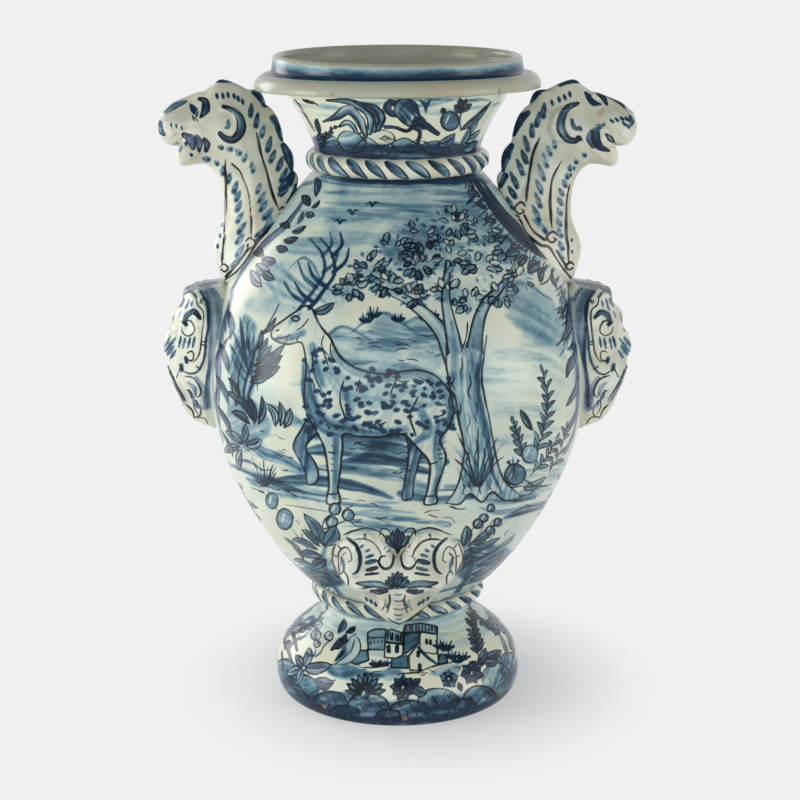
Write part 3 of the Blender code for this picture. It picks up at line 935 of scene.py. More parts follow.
    def streaks(
        self, box: Four, count: int, tone: float, hue: float, slope: float, length: float, width: float, soft: float
    ) -> None:
        """Lay loose sideways strokes of wash over a box of the picture.

        Args:
            box: left, top, right and bottom.
            count: how many strokes.
            tone, hue, soft: as for a stroke.
            slope: fall to each point across.
            length, width: size of a stroke, in points and millimetres.
        """
        chance = np.random.default_rng(count * 97 + int(box[0] + box[1]))
        for _ in range(count):
            x, y = chance.uniform(box[0], box[2]), chance.uniform(box[1], box[3])
            reach = length * chance.uniform(0.4, 1.0) / 2
            bow = chance.uniform(-2, 2)
            knots = [
                (max(box[0], x - reach), y - slope * (x - max(box[0], x - reach))), (x, y + bow),
                (min(box[2], x + reach), y + slope * (min(box[2], x + reach) - x)),
            ]
            if knots[2][0] - knots[0][0] > 4:
                self.stroke(
                    knots, (width * 0.3, width, width * 0.8, width * 0.2), tone * chance.uniform(0.5, 1.1), hue,
                    soft, 0.7
                )


def grid_quads(rows: int, columns: int, wrap_rows: bool = False, wrap_columns: bool = False) -> Array:
    """Corner numbers of the quads of a grid, as rows of four.

    Args:
        rows, columns: the grid's size in points.
        wrap_rows, wrap_columns: join the last to the first.

    Returns:
        four corner numbers a row.
    """
    i = np.arange(rows if wrap_rows else rows - 1)
    j = np.arange(columns if wrap_columns else columns - 1)
    i, j = (part.ravel() for part in np.meshgrid(i, j, indexing="ij"))
    up, over = (i + 1) % rows, (j + 1) % columns
    return np.stack((i * columns + j, i * columns + over, up * columns + over, up * columns + j), axis=1)


def border(rows: int, columns: int) -> Array:
    """Numbers of a grid's border points, once round.

    Args:
        rows, columns: the grid's size in points.

    Returns:
        the numbers, in the order in which the border is walked.
    """
    top, left = (rows - 1) * columns, np.arange(1, rows - 1) * columns
    return np.concatenate((
        np.arange(columns), left + columns - 1, np.arange(top + columns - 1, top - 1, -1), left[::-1]
    ))


def make_piece(name: str, points: Array, faces: Sequence[Array], paint: dict[str, Array]) -> bpy.types.Object:
    """Make a mesh object whose points carry its painting.

    Args:
        name: the piece's name.
        points: places in metres, one a row.
        faces: groups of faces, each an array of corner numbers, one face a row.
        paint: values at the points, by attribute name.

    Returns:
        the object, smooth, with its seats' edges sharp.
    """
    mesh = bpy.data.meshes.new(name)
    corners = np.concatenate([group.ravel() for group in faces])
    sizes = np.concatenate([np.full(len(group), group.shape[1]) for group in faces])
    mesh.vertices.add(len(points))
    mesh.vertices.foreach_set("co", np.ascontiguousarray(points, np.float32).ravel())
    mesh.loops.add(len(corners))
    mesh.loops.foreach_set("vertex_index", corners.astype(np.int32))
    mesh.polygons.add(len(sizes))
    mesh.polygons.foreach_set("loop_start", np.r_[0, np.cumsum(sizes)[:-1]].astype(np.int32))
    mesh.update(calc_edges=True)
    mesh.validate()
    for kind, values in paint.items():
        attribute = mesh.attributes.new(kind, "FLOAT_VECTOR" if values.ndim == 2 else "FLOAT", "POINT")
        channel = "vector" if values.ndim == 2 else "value"
        attribute.data.foreach_set(channel, np.ascontiguousarray(values, np.float32).ravel())
    mesh.shade_smooth()
    mesh.set_sharp_from_angle(angle=math.radians(70))
    piece = bpy.data.objects.new(name, mesh)
    bpy.context.scene.collection.objects.link(piece)
    return piece


def painted(canvas: Canvas) -> Array:
    """A canvas's wash, line and hue as one vector a point."""
    return np.stack((canvas.wash, canvas.ink / INK_REACH, canvas.hue), axis=-1)


NO_PAINT = np.array((0.0, 1.0, 0.0))


def closed_tile(
    name: str, outer: Array, inner: Array, step: int, paint: Array, bare: Array
) -> bpy.types.Object:
    """Close a painted skin and a coarser one behind it into a solid.

    Args:
        name: the piece's name.
        outer: the painted skin's points, rows by columns by 3.
        inner: points behind it, at every step-th row and column.
        step: how much coarser the inner grid is.
        paint: the painting on the outer skin.
        bare: how worn the outer skin is.

    Returns:
        the closed piece.
    """
    rows, columns = outer.shape[:2]
    inner_rows, inner_columns = inner.shape[:2]
    first = rows * columns
    fine, coarse = border(rows, columns), border(inner_rows, inner_columns) + first
    spans = np.arange(len(coarse))
    steps = [fine[(spans * step + k) % len(fine)] for k in range(step, -1, -1)]
    sides = np.stack((*steps, coarse, np.roll(coarse, -1)), axis=1)
    points = np.concatenate((outer.reshape(-1, 3), inner.reshape(-1, 3)))
    colour = np.concatenate((paint.reshape(-1, 3), np.tile(NO_PAINT, (inner_rows * inner_columns, 1))))
    worn = np.concatenate((bare.ravel(), np.zeros(inner_rows * inner_columns)))
    faces = [grid_quads(rows, columns), grid_quads(inner_rows, inner_columns)[:, ::-1] + first, sides]
    return make_piece(name, points, faces, {"paint": colour, "bare": worn})


def closed_ring(name: str, points: Array, paint: Array, bare: Array) -> bpy.types.Object:
    """Close a grid whose rows and columns both run round, as a ring's do.

    Args:
        name: the piece's name.
        points: rows by columns by 3.
        paint, bare: the painting and the wear on them.

    Returns:
        the closed piece.
    """
    faces = [grid_quads(*points.shape[:2], wrap_rows=True, wrap_columns=True)]
    values = {"paint": paint.reshape(-1, 3), "bare": bare.ravel()}
    return make_piece(name, points.reshape(-1, 3), faces, values)


class Number:
    """A number socket of a material, with Python's operators.

    An expression such as 1 - mask * 0.5 adds the Math nodes that it needs.
    """

    def __init__(self, graph: "Graph", socket: bpy.types.NodeSocket) -> None:
        """Wrap a socket of a graph."""
        self.graph, self.socket = graph, socket

    def _with(self, operation: str, *values: "Number | float") -> "Number":
        """Add a Math node on these values."""
        inputs = {index: value for index, value in enumerate(values)}
        return self.graph.number("ShaderNodeMath", {"operation": operation}, inputs)

    def __add__(self, other: "Number | float") -> "Number":
        """Sum."""
        return self._with("ADD", self, other)

    __radd__ = __add__

    def __sub__(self, other: "Number | float") -> "Number":
        """Difference."""
        return self._with("SUBTRACT", self, other)

    def __rsub__(self, other: float) -> "Number":
        """Difference from a plain number."""
        return self._with("SUBTRACT", other, self)

    def __mul__(self, other: "Number | float") -> "Number":
        """Product."""
        return self._with("MULTIPLY", self, other)

    __rmul__ = __mul__

    def rise(self, low: float, high: float) -> "Number":
        """Rise smoothly from 0 at low to 1 at high, or fall where low is higher."""
        settings = {"interpolation_type": "SMOOTHSTEP"}
        return self.graph.number("ShaderNodeMapRange", settings, {"Value": self, "From Min": low, "From Max": high})


class Graph:
    """The node graph of one material, built by expressions."""

    def __init__(self, name: str) -> None:
        """Start an empty material with a Principled shader.

        Args:
            name: the material's name.
        """
        self.material = bpy.data.materials.new(name)
        self.material.use_nodes = True
        self.tree = self.material.node_tree
        self.shader = self.tree.nodes["Principled BSDF"]

    def node(self, kind: str, settings: dict | None = None, inputs: dict | None = None) -> bpy.types.Node:
        """Add any node.

        Args:
            kind: the node's type.
            settings: its settings, set first.
            inputs: values or links of its sockets, by name or number.

        Returns:
            the node.
        """
        node = self.tree.nodes.new(kind)
        for key, value in (settings or {}).items():
            setattr(node, key, value)
        for key, value in (inputs or {}).items():
            self.feed(node.inputs[key], value)
        return node

    def feed(self, socket: bpy.types.NodeSocket, value: object) -> None:
        """Link a socket, or set its value.

        Args:
            socket: the socket to feed.
            value: a number or colour, or the socket that feeds it.
        """
        if isinstance(value, Number):
            self.tree.links.new(value.socket, socket)
        elif isinstance(value, bpy.types.NodeSocket):
            self.tree.links.new(value, socket)
        else:
            socket.default_value = value

    def number(
        self, kind: str, settings: dict | None, inputs: dict | None, output: int | str = 0
    ) -> Number:
        """Add any node and take one of its outputs as a number."""
        return Number(self, self.node(kind, settings, inputs).outputs[output])

    def mix(self, factor: Number | float, low: object, high: object) -> bpy.types.NodeSocket:
        """Blend two colours.

        Args:
            factor: 0 for the low colour, 1 for the high one.
            low, high: colours or sockets.

        Returns:
            the blended colour.
        """
        node = self.node("ShaderNodeMix", {"data_type": "RGBA"})
        for name, value in (("Factor_Float", factor), ("A_Color", low), ("B_Color", high)):
            self.feed(next(socket for socket in node.inputs if socket.identifier == name), value)
        return next(socket for socket in node.outputs if socket.identifier == "Result_Color")

    def noise(self, scale: float, detail: float) -> Number:
        """Noise on the object's own coordinates, about 0 to 1."""
        place = self.node("ShaderNodeTexCoord").outputs["Object"]
        return self.number("ShaderNodeTexNoise", None, {"Vector": place, "Scale": scale, "Detail": detail})

    def finish(self, **inputs: object) -> bpy.types.Material:
        """Feed the Principled shader's sockets, underscores standing for spaces.

        Args:
            inputs: values or sockets by the socket's name.

        Returns:
            the finished material.
        """
        for name, value in inputs.items():
            self.feed(self.shader.inputs[name.replace("_", " ")], value)
        return self.material


@dataclass(frozen=True)
class PaintedGlaze:
    """Tin glaze painted in blues: washes, violet shades and near-black lines.

    grains and pools are how strongly fine and coarse noise break up a wash,
    smoky the share of smoke colour in the ground, pen the extra width of the
    lines and pits the strength of the pinholes. Each noise is given by its scale
    and detail, and each pair of washes by where one begins to give way to the
    next and where it has.
    """

    name: str
    pale: Colour = linear(218, 226, 209)
    warm: Colour = linear(220, 221, 196)
    sky: Colour = linear(148, 178, 182)
    mid: Colour = linear(80, 122, 140)
    deep: Colour = linear(20, 50, 76)
    violet_sky: Colour = linear(158, 165, 184)
    violet_mid: Colour = linear(90, 98, 130)
    violet_deep: Colour = linear(30, 34, 62)
    line: Colour = linear(5, 12, 24)
    clay: Colour = linear(150, 112, 88)
    smoke: Colour = linear(170, 173, 152)
    grains: float = 0.42
    pools: float = 0.95
    smoky: float = 0.0
    pen: float = 0.066
    pits: float = 0.55
    roughness: float = 0.2
    shine: float = 0.27
    bump: float = 0.16
    bump_height: float = 0.002
    clouds: Point = (14, 2)
    fine: Point = (420, 4)
    specks: Point = (1500, 1)
    coarse: Point = (105, 5)
    tints: Point = (30, 3)
    smokes: Point = (26, 4)
    swells: Point = (70, 3)
    to_thin: Point = (-0.02, 0.34)
    to_half: Point = (0.22, 0.60)
    to_full: Point = (0.50, 0.92)
    to_chip: Point = (0.55, 0.66)

    def material(self) -> bpy.types.Material:
        """Build the glaze.

        The wash attribute, granulated by noise, climbs through three blues over
        the glaze; the ink attribute's zero crossing is the edge of the lines.

        Returns:
            the material.
        """
        graph = Graph(self.name)
        paint = graph.node("ShaderNodeAttribute", {"attribute_name": "paint"}).outputs["Vector"]
        parts = graph.node("ShaderNodeSeparateXYZ", None, {"Vector": paint})
        wash, ink, hue = (Number(graph, socket) for socket in parts.outputs)
        worn = graph.number("ShaderNodeAttribute", {"attribute_name": "bare"}, None, "Fac")
        cloud, grain, speck, pooled, tint = (
            graph.noise(*look) for look in (self.clouds, self.fine, self.specks, self.coarse, self.tints)
        )
        granular = wash + (grain - 0.5) * self.grains * wash * (1.15 - wash) + (cloud - 0.5) * 0.16 * wash
        granular = granular + (pooled - 0.5) * self.pools * wash * (1.25 - wash)
        hue = hue + (tint - 0.5) * 1.1
        ground = graph.mix(cloud.rise(0.35, 0.68), self.pale, self.warm)
        if self.smoky:
            ground = graph.mix(graph.noise(*self.smokes).rise(0.42, 0.72) * self.smoky, ground, self.smoke)
        thin = graph.mix(hue.rise(0, 1), self.sky, self.violet_sky)
        half = graph.mix(hue.rise(0, 1), self.mid, self.violet_mid)
        full = graph.mix(hue.rise(0, 1), self.deep, self.violet_deep)
        colour = graph.mix(granular.rise(*self.to_thin), ground, thin)
        colour = graph.mix(granular.rise(*self.to_half), colour, half)
        colour = graph.mix(granular.rise(*self.to_full), colour, full)
        edge = ink - self.pen + (grain - 0.5) * 0.15 + (pooled - 0.5) * 0.16
        colour = graph.mix(edge.rise(0.09, -0.09) * (0.72 + pooled * 0.5), colour, self.line)
        colour = graph.mix(speck.rise(0.735, 0.76) * self.pits, colour, self.clay)
        chipped = (worn + (grain - 0.5) * 0.9).rise(*self.to_chip)
        colour = graph.mix(chipped, colour, self.clay)
        rough = self.roughness + (cloud - 0.5) * 0.06 + chipped * 0.5
        height = cloud * 0.6 + graph.noise(*self.swells) * 0.35 - chipped * 0.5
        bump = graph.node(
            "ShaderNodeBump", None, {"Strength": self.bump, "Distance": self.bump_height, "Height": height}
        )
        graph.feed(graph.shader.inputs["Specular IOR Level"], self.shine)
        return graph.finish(Base_Color=colour, Roughness=rough, Normal=bump.outputs[0])


@dataclass(frozen=True)
class Stock:
    """Sizes shared by the sections of the vase, in metres, as in the solids."""

    foot_base: float = 0.1166
    foot_toe: float = 0.1213
    foot_toe_height: float = 0.0170
    foot_ring: float = 0.0140
    wall: float = 0.0095
    stem: float = 0.0717
    stem_drop: float = 0.0160
    dome_pull: float = 0.0390
    stem_pull: float = 0.0180
    lower_joint: float = 0.0752
    lower_rope: float = 0.0782
    lower_rope_thickness: float = 0.0150
    foot_top: float = 0.1000
    seat_gap: float = 0.0006
    belly_slope: float = math.radians(26)
    belly_pull: float = 0.0270
    belly_fullness: float = 0.0974
    widest_height: float = 0.3180
    widest: float = 0.1819
    upper_fullness: float = 0.0702
    shoulder: float = 0.1114
    shoulder_drop: float = 0.0485
    shoulder_slope: float = math.radians(49)
    shoulder_pull: float = 0.0620
    collar_pull: float = 0.0155
    neck_joint_height: float = 0.5240
    neck_joint: float = 0.0776
    neck_rope: float = 0.0770
    neck_rope_thickness: float = 0.0188
    neck_top_height: float = 0.5800
    neck_top: float = 0.0997
    neck_wall: float = 0.0085
    neck_reach: float = 0.0095
    neck_spread: float = 0.0032
    flange: float = 0.1330
    flange_rise: float = 0.0092
    flange_edge: float = 0.0030
    flange_rounding: float = 0.0080
    lip_base: float = 0.1190
    lip_base_rise: float = 0.0240
    lip: float = 0.1155
    lip_thickness: float = 0.0085
    top: float = 0.6200

    def foot_outline(self) -> Array:
        """Outside of the foot, from its ring up to the seat of the rope.

        Returns:
            radius and height of its points.
        """
        stem_height = self.foot_top - self.stem_drop
        seat = self.foot_top - self.lower_rope_thickness / 2 + 0.001
        toe = (self.foot_toe, self.foot_toe_height)
        half = (self.foot_base + self.foot_toe) / 2
        return even_steps(
            np.vstack((
                bezier(
                    (self.foot_base, 0), (half, self.foot_toe_height / 8),
                    (self.foot_toe, self.foot_toe_height * 0.6), toe
                ),
                bezier(
                    toe, (self.foot_toe, self.foot_toe_height + self.dome_pull),
                    (self.stem + self.stem_pull / 4, stem_height - self.stem_pull), (self.stem, stem_height)
                ),
                bezier(
                    (self.stem, stem_height), (self.stem, (stem_height + seat) / 2), (self.lower_joint, seat),
                    (self.lower_joint, seat + 0.002)
                )
            )),
            0.0011
        )

    def foot_inside(self) -> Array:
        """Inside of the foot, from the top down to the ring.

        Returns:
            radius and height of its points.
        """
        wall = self.wall
        return even_steps(np.vstack((
            ((self.lower_joint - wall, self.foot_top - 0.0005),),
            bezier(
                (self.stem - wall, self.foot_top - self.stem_drop), (self.stem - wall + self.stem_pull / 3, 0.062),
                (self.foot_toe - wall, 0.056), (self.foot_toe - wall, self.foot_toe_height),
            ),
            ((self.foot_base - self.foot_ring, 0.0),),
        )), 0.0045)

    def lower_belly(self) -> Array:
        """Outside of the belly from the rope up to its widest place.

        Returns:
            radius and height of its points.
        """
        start = (self.lower_rope + 0.0018, self.foot_top + self.lower_rope_thickness / 2 + self.seat_gap)
        slope, pull = self.belly_slope, self.belly_pull
        return bezier(
            start, (start[0] + pull * math.cos(slope), start[1] + pull * math.sin(slope)),
            (self.widest, self.widest_height - self.belly_fullness), (self.widest, self.widest_height), 300,
        )

    def upper_belly(self) -> Array:
        """Outside of the belly from its widest place up to the neck's rope.

        Returns:
            radius and height of its points.
        """
        rise = np.array((-math.cos(self.shoulder_slope), math.sin(self.shoulder_slope)))
        shoulder = np.array((self.shoulder, self.neck_joint_height - self.shoulder_drop))
        end = np.array((self.neck_joint, self.neck_joint_height - self.neck_rope_thickness / 2 - self.seat_gap))
        return np.vstack((
            bezier(
                (self.widest, self.widest_height), (self.widest, self.widest_height + self.upper_fullness),
                shoulder - self.shoulder_pull * rise, shoulder, 260,
            ),
            bezier(shoulder, shoulder + self.collar_pull * rise, end + (0.0075, -0.0070), end, 60)[1:],
        ))

    def neck_outline(self) -> Array:
        """Outside of the neck from its rope up to the flange.

        Returns:
            radius and height of its points.
        """
        start = (self.neck_joint, self.neck_joint_height + self.neck_rope_thickness / 2 - 0.001)
        end = (self.neck_top, self.neck_top_height + 0.0004)
        flare = bezier(start, (start[0], start[1] + 0.0115), (end[0] - 0.0077, end[1] - 0.0130), end)
        return np.vstack((flare, (self.neck_top + self.neck_spread, end[1] + self.neck_reach)))

    def rim_outline(self) -> Array:
        """Outside of flange and lip, from the neck up over the lip's top.

        Returns:
            radius and height of its points.
        """
        edge, lip = self.flange_edge / 2, self.lip_thickness / 2
        flange_height = self.neck_top_height + self.flange_rise
        base = self.neck_top_height + self.lip_base_rise
        edge_turns = np.radians(np.linspace(-85, -10, 8))[:, None]
        edge_middle = np.array((self.flange - edge, flange_height))
        lip_turns = np.radians(np.linspace(0, 180, 30))[:, None]
        lip_middle = np.array((self.lip - lip, self.top - lip))
        return even_steps(
            np.vstack((
                ((self.neck_top + self.neck_spread - 0.001, self.neck_top_height + self.neck_reach + 0.0004),),
                edge_middle + edge * np.hstack((np.cos(edge_turns), np.sin(edge_turns))),
                bezier(
                    (self.flange, flange_height), (self.flange, flange_height + self.flange_rounding),
                    (self.lip_base + self.flange_rounding, base - self.flange_edge / 2),
                    (self.lip_base + 0.0012, base - 0.0006),
                ),
                bezier(
                    (self.lip_base + 0.0012, base - 0.0006), (self.lip_base - 0.0006, base),
                    (self.lip_base - 0.0022, base + 0.001), (self.lip_base - 0.0026, base + 0.0035), 8,
                ),
                lip_middle + lip * np.hstack((np.cos(lip_turns), np.sin(lip_turns))),
            )),
            0.0010
        )

    def rim_inside(self) -> Array:
        """Inside of the lip and throat, from the lip's top down to the neck.

        Returns:
            radius and height of its points.
        """
        inner, base = self.lip - self.lip_thickness, self.neck_top_height + self.lip_base_rise
        return even_steps(
            np.vstack((
                bezier(
                    (inner, self.top - self.lip_thickness / 2), (inner, base + 0.006),
                    (inner - 0.001, base + 0.002), (inner - 0.006, base - 0.005)
                ),
                ((
                    self.neck_top + self.neck_spread - self.neck_wall,
                    self.neck_top_height + self.neck_reach + 0.0004
                ),),
            )),
            0.0030
        )


STOCK = Stock()


def moved_in(outline: Array, wall: float) -> Array:
    """Move an outline that runs upwards towards the axis by a wall's thickness.

    Args:
        outline: radius and height of its points.
        wall: how far to move them, in metres.

    Returns:
        the moved outline.
    """
    along = np.gradient(outline, axis=0)
    along /= np.linalg.norm(along, axis=1)[:, None]
    return outline + wall * np.column_stack((-along[:, 1], along[:, 0]))


def turned(outline: Array, azimuths: Array) -> Array:
    """Turn an outline round the axis: radius and height at each azimuth.

    Azimuth 0 is the front, -Y, and rises towards +X.

    Args:
        outline: radius and height of its points.
        azimuths: angles in radians.

    Returns:
        the points, rows by azimuths by 3.
    """
    radius, height = outline[:, 0, None], outline[:, 1, None]
    sine, cosine = np.sin(azimuths)[None], np.cos(azimuths)[None]
    return np.stack((radius * sine, -radius * cosine, height + 0 * sine), axis=-1)


def azimuth_steps(front: int, back: int, closed: bool) -> Array:
    """Azimuths once round, with more of them on the front half.

    Args:
        front: steps on the front half.
        back: steps on the back half, an even number.
        closed: leave out the last, which repeats the first.

    Returns:
        the azimuths in radians, rising.
    """
    quarter = math.pi / 2
    left = np.linspace(-math.pi, -quarter, back // 2, endpoint=False)
    middle = np.linspace(-quarter, quarter, front, endpoint=False)
    right = np.linspace(quarter, math.pi, back // 2 + 1)
    return np.concatenate((left, middle, right[:-1] if closed else right))


def turned_canvas(outline: Array, azimuths: Array, shown: int) -> Canvas:
    """Canvas on a turned skin, of which the first rows, as shown, are painted.

    Args:
        outline: radius and height of its points.
        azimuths: angles in radians.
        shown: how many of the outline's points are painted.

    Returns:
        the blank canvas.
    """
    canvas = Canvas(turned(outline, azimuths), run_lengths(outline), azimuths, np.maximum(outline[:, 0], 1e-4))
    canvas.seen[shown:] = False
    canvas.shown = shown
    return canvas


def chips(canvas: Canvas, places: Sequence[Four], seed: int) -> Array:
    """Say how worn a skin is near a few spots.

    Args:
        canvas: the skin.
        places: across, along, size in metres and strength of each spot.
        seed: the same spots come out ragged in the same way.

    Returns:
        a value at each point, above 0.6 where the glaze is gone.
    """
    worn = np.zeros(canvas.wash.shape)
    for index, (across, along, size, strength) in enumerate(places):
        over = (canvas.across[None] - across) * canvas.reach[:, None]
        up = (canvas.along - along)[:, None]
        turn = np.arctan2(up, over)
        edge = size * (1 + 0.35 * ripple(seed + index, turn * 2.2 + 9))
        worn = np.maximum(worn, strength * smooth(-np.hypot(over, up) / edge, -1.2, -0.4))
    return worn


@dataclass
class Foot:
    """Hollow spreading foot, painted with a castle, flowers and dark rocks."""

    front: int = 345
    back: int = 210
    toe_chips: tuple = (
        (-0.62, 0.012, 0.004, 0.7), (0.06, 0.010, 0.0045, 0.72), (0.98, 0.012, 0.005, 0.72),
        (2.2, 0.010, 0.005, 0.7)
    )

    def build(self, glaze: bpy.types.Material) -> list[bpy.types.Object]:
        """Build the painted foot as one closed ring.

        Args:
            glaze: its finish.

        Returns:
            the one piece.
        """
        outside = STOCK.foot_outline()
        outline = np.vstack((outside, STOCK.foot_inside()))
        canvas = turned_canvas(outline, azimuth_steps(self.front, self.back, True), len(outside))
        self.paint(canvas)
        piece = closed_ring("painted_foot", canvas.points, painted(canvas), canvas.bare)
        piece.data.materials.append(glaze)
        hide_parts("foot")
        return [piece]

    def paint(self, canvas: Canvas) -> None:
        """Paint the foot: dark rocks round the toe, buildings and flowers above.

        Args:
            canvas: the skin to paint.
        """
        ring = Brush(canvas, seed=1000, chart=canvas.by_height)
        for height, width, tone, soft in ((3, 14, 0.60, 4), (12, 13, 0.46, 7), (22, 10, 0.30, 8)):
            ring.band(height, width, tone, 0.2, soft, 0.95)
        for height, width, tone in ((91, 6, 0.55), (84, 10, 0.22), (74, 14, 0.18), (64, 14, 0.14)):
            ring.band(height, width, tone, 0.0, 6, 0.8)
        for turn, seed in ((0.0, 1100), (math.pi, 1200)):
            brush = Brush(canvas, turn=turn, flip=turn > 0, seed=seed)
            self.rocks(brush)
            self.village(brush)
            self.flowers(brush)
        for turn in (-1, 1):
            brush = Brush(canvas, turn=turn * math.pi / 2, seed=1300 + turn)
            brush.blossom((397, 672), 15, 6, 0.5, 0.5)
            brush.spray([(385, 668), (376, 650), (380, 628)], 11, 14, 6.5, 0.7, 0.2)
            brush.spray([(412, 668), (424, 648), (418, 630)], 9, 13, 6, 0.55, 0.4)
            brush.leaf((414, 682), (436, 676), 9, 0.85, 0.2)
        canvas.bare += chips(canvas, self.toe_chips, 7)

    def rocks(self, brush: Brush) -> None:
        """Paint rounded rocks with dark hollows between them.

        Args:
            brush: what paints, set to one side of the vase.
        """
        brush.streaks((284, 694, 508, 722), 46, 0.42, 0.35, 0.0, 34, 7, 3)
        for x, y, wide, tall, tone, hue in (
            (299, 690, 20, 16, 0.50, 0.1), (285, 672, 12, 13, 0.46, 0.2), (330, 703, 17, 12, 0.52, 0.3),
            (368, 707, 21, 14, 0.42, 0.4), (345, 714, 15, 9, 0.55, 0.2), (409, 712, 20, 12, 0.55, 0.15),
            (438, 702, 21, 14, 0.34, 0.1), (462, 708, 15, 10, 0.5, 0.4), (480, 698, 17, 12, 0.46, 0.25),
            (497, 680, 15, 17, 0.40, 0.0), (388, 717, 13, 8, 0.5, 0.5), (318, 714, 12, 8, 0.55, 0.3),
            (508, 664, 9, 12, 0.44, 0.3)
        ):
            rim = [
                (x + wide * math.cos(turn), y + tall * math.sin(turn))
                for turn in np.linspace(0, TAU, 9, endpoint=False)
            ]
            brush.patch(rim, tone, hue, 0, 2.4, 0.8, 0.4)
            brush.stroke([
                (x - wide * 0.6, y - tall * 0.1), (x, y - tall * 0.45), (x + wide * 0.55, y - tall * 0.1)
            ], (2, tall * 0.5, 2), 0.0, hue, 3, 0.0)
            brush.stroke([
                (x - wide, y + tall * 0.5), (x, y + tall), (x + wide, y + tall * 0.5)
            ], (3, 8, 3), 0.5, hue, 4, 0.8)
            arc = [
                (x + wide * math.cos(turn), y + tall * math.sin(turn))
                for turn in np.linspace(-math.pi * 1.04, 0.1, 6)
            ]
            brush.line(arc, 1.2)
            for share in (-0.5, -0.1, 0.35):
                brush.line([
                    (x + wide * share - 2, y - tall * 0.2), (x + wide * share + 1, y + tall * 0.1),
                    (x + wide * share - 1, y + tall * 0.45)
                ], 0.8)
        for knots in (
            [(292, 712), (330, 722), (397, 727), (460, 722), (500, 706)], [(283, 698), (310, 716), (350, 724)],
            [(440, 724), (480, 714), (508, 694)]
        ):
            brush.stroke(knots, (5, 10, 10, 5), 0.62, 0.2, 4, 0.8)
        brush.hatch((296, 684), (306, 696), 6, (5, 3), 1.1)
        brush.hatch((446, 692), (460, 696), 6, (-3, 6), 1.0)
        brush.pen_marks((296, 694, 500, 718), 44, 11, 0.9, 0.9)
        brush.pen_marks((330, 664, 470, 682), 20, 12, 0.05)
        brush.pen_marks((278, 660, 300, 700), 8, 9, 1.2)

    def village(self, brush: Brush) -> None:
        """Paint a walled village with a round tower.

        Args:
            brush: what paints, set to one side of the vase.
        """
        for knots, tone, hue in (
            ([(326, 668), (340, 662), (356, 666), (372, 672), (386, 676), (360, 682), (338, 678)], 0.44, 0.0),
            ([(376, 674), (392, 668), (404, 674), (396, 680), (384, 680)], 0.38, 0.0),
            ([(430, 674), (450, 664), (462, 668), (450, 676)], 0.36, 0.0),
        ):
            brush.patch(knots, tone, hue, 0, 3, 0.9, 0.2)
        brush.line([(332, 664), (352, 662), (362, 668)], 1.1)
        for corners, tone, outline in (
            ([(350, 662), (355, 651), (368, 650), (369, 661), (356, 665)], 0.52, 1.2),
            ([(391, 668), (392, 657), (408, 656), (409, 668)], 0.58, 1.2),
            ([(368, 650), (368, 632), (374, 629), (386, 629), (386, 646), (384, 650)], 0.46, 1.4),
            ([(384, 657), (385, 642), (403, 644), (403, 655), (396, 658)], 0.03, 1.4),
            ([(385, 642), (386, 630), (392, 629), (404, 634), (403, 644)], 0.34, 1.5),
            ([(403, 644), (404, 634), (419, 632), (421, 641), (404, 655)], 0.66, 1.4),
            ([(410, 670), (409, 656), (421, 640), (437, 640), (438, 664), (424, 670)], 0.05, 1.4),
            ([(420, 652), (420, 632), (437, 632), (437, 654)], 0.10, 1.3),
            ([(403, 633), (405, 625), (420, 623), (437, 626), (437, 634), (420, 632)], 0.46, 1.5),
            ([(438, 664), (439, 654), (447, 654), (448, 663)], 0.56, 1.3)
        ):
            brush.patch(corners, tone, 0.1, outline, shape=True, rounded=False, soft=1.6)
        brush.hatch((388, 631), (401, 634), 6, (-0.5, 9), 1.5)
        brush.hatch((406, 625), (435, 626), 10, (0.3, 5.5), 1.3)
        brush.line([(369, 638), (385, 637)], 1.1)
        brush.hatch((371, 641), (382, 640), 4, (0, 3.5), 1.1)
        for x, y, size in (
            (389, 649, 2.2), (397, 649, 2.2), (426.5, 642, 1.5), (430.5, 642, 1.5), (418, 654, 1.8), (420, 667, 2.2)
        ):
            brush.stroke([(x, y - size * 1.1), (x, y + size * 1.1)], (size * 1.3,), 0.95, 0.1, 0.6, outline=1.1)
        brush.stroke([(418, 647), (426, 656), (436, 663)], (2.8, 3.2, 2.2), 0.8, 0.2, 0.7)
        for x, y, reach in (
            (446, 648, 11), (440, 646, 8), (452, 656, 8), (458, 660, 7), (463, 657, 8), (376, 664, 7), (384, 663, 6)
        ):
            brush.tuft((x, y + 2), reach, 7, 2.6, 0.8, 0.15, outline=1.0)
        brush.lines((
            ((362, 668), (392, 666)), ((398, 674), (424, 672)), ((428, 668), (462, 660)), ((372, 672), (382, 671))
        ), 1.0)

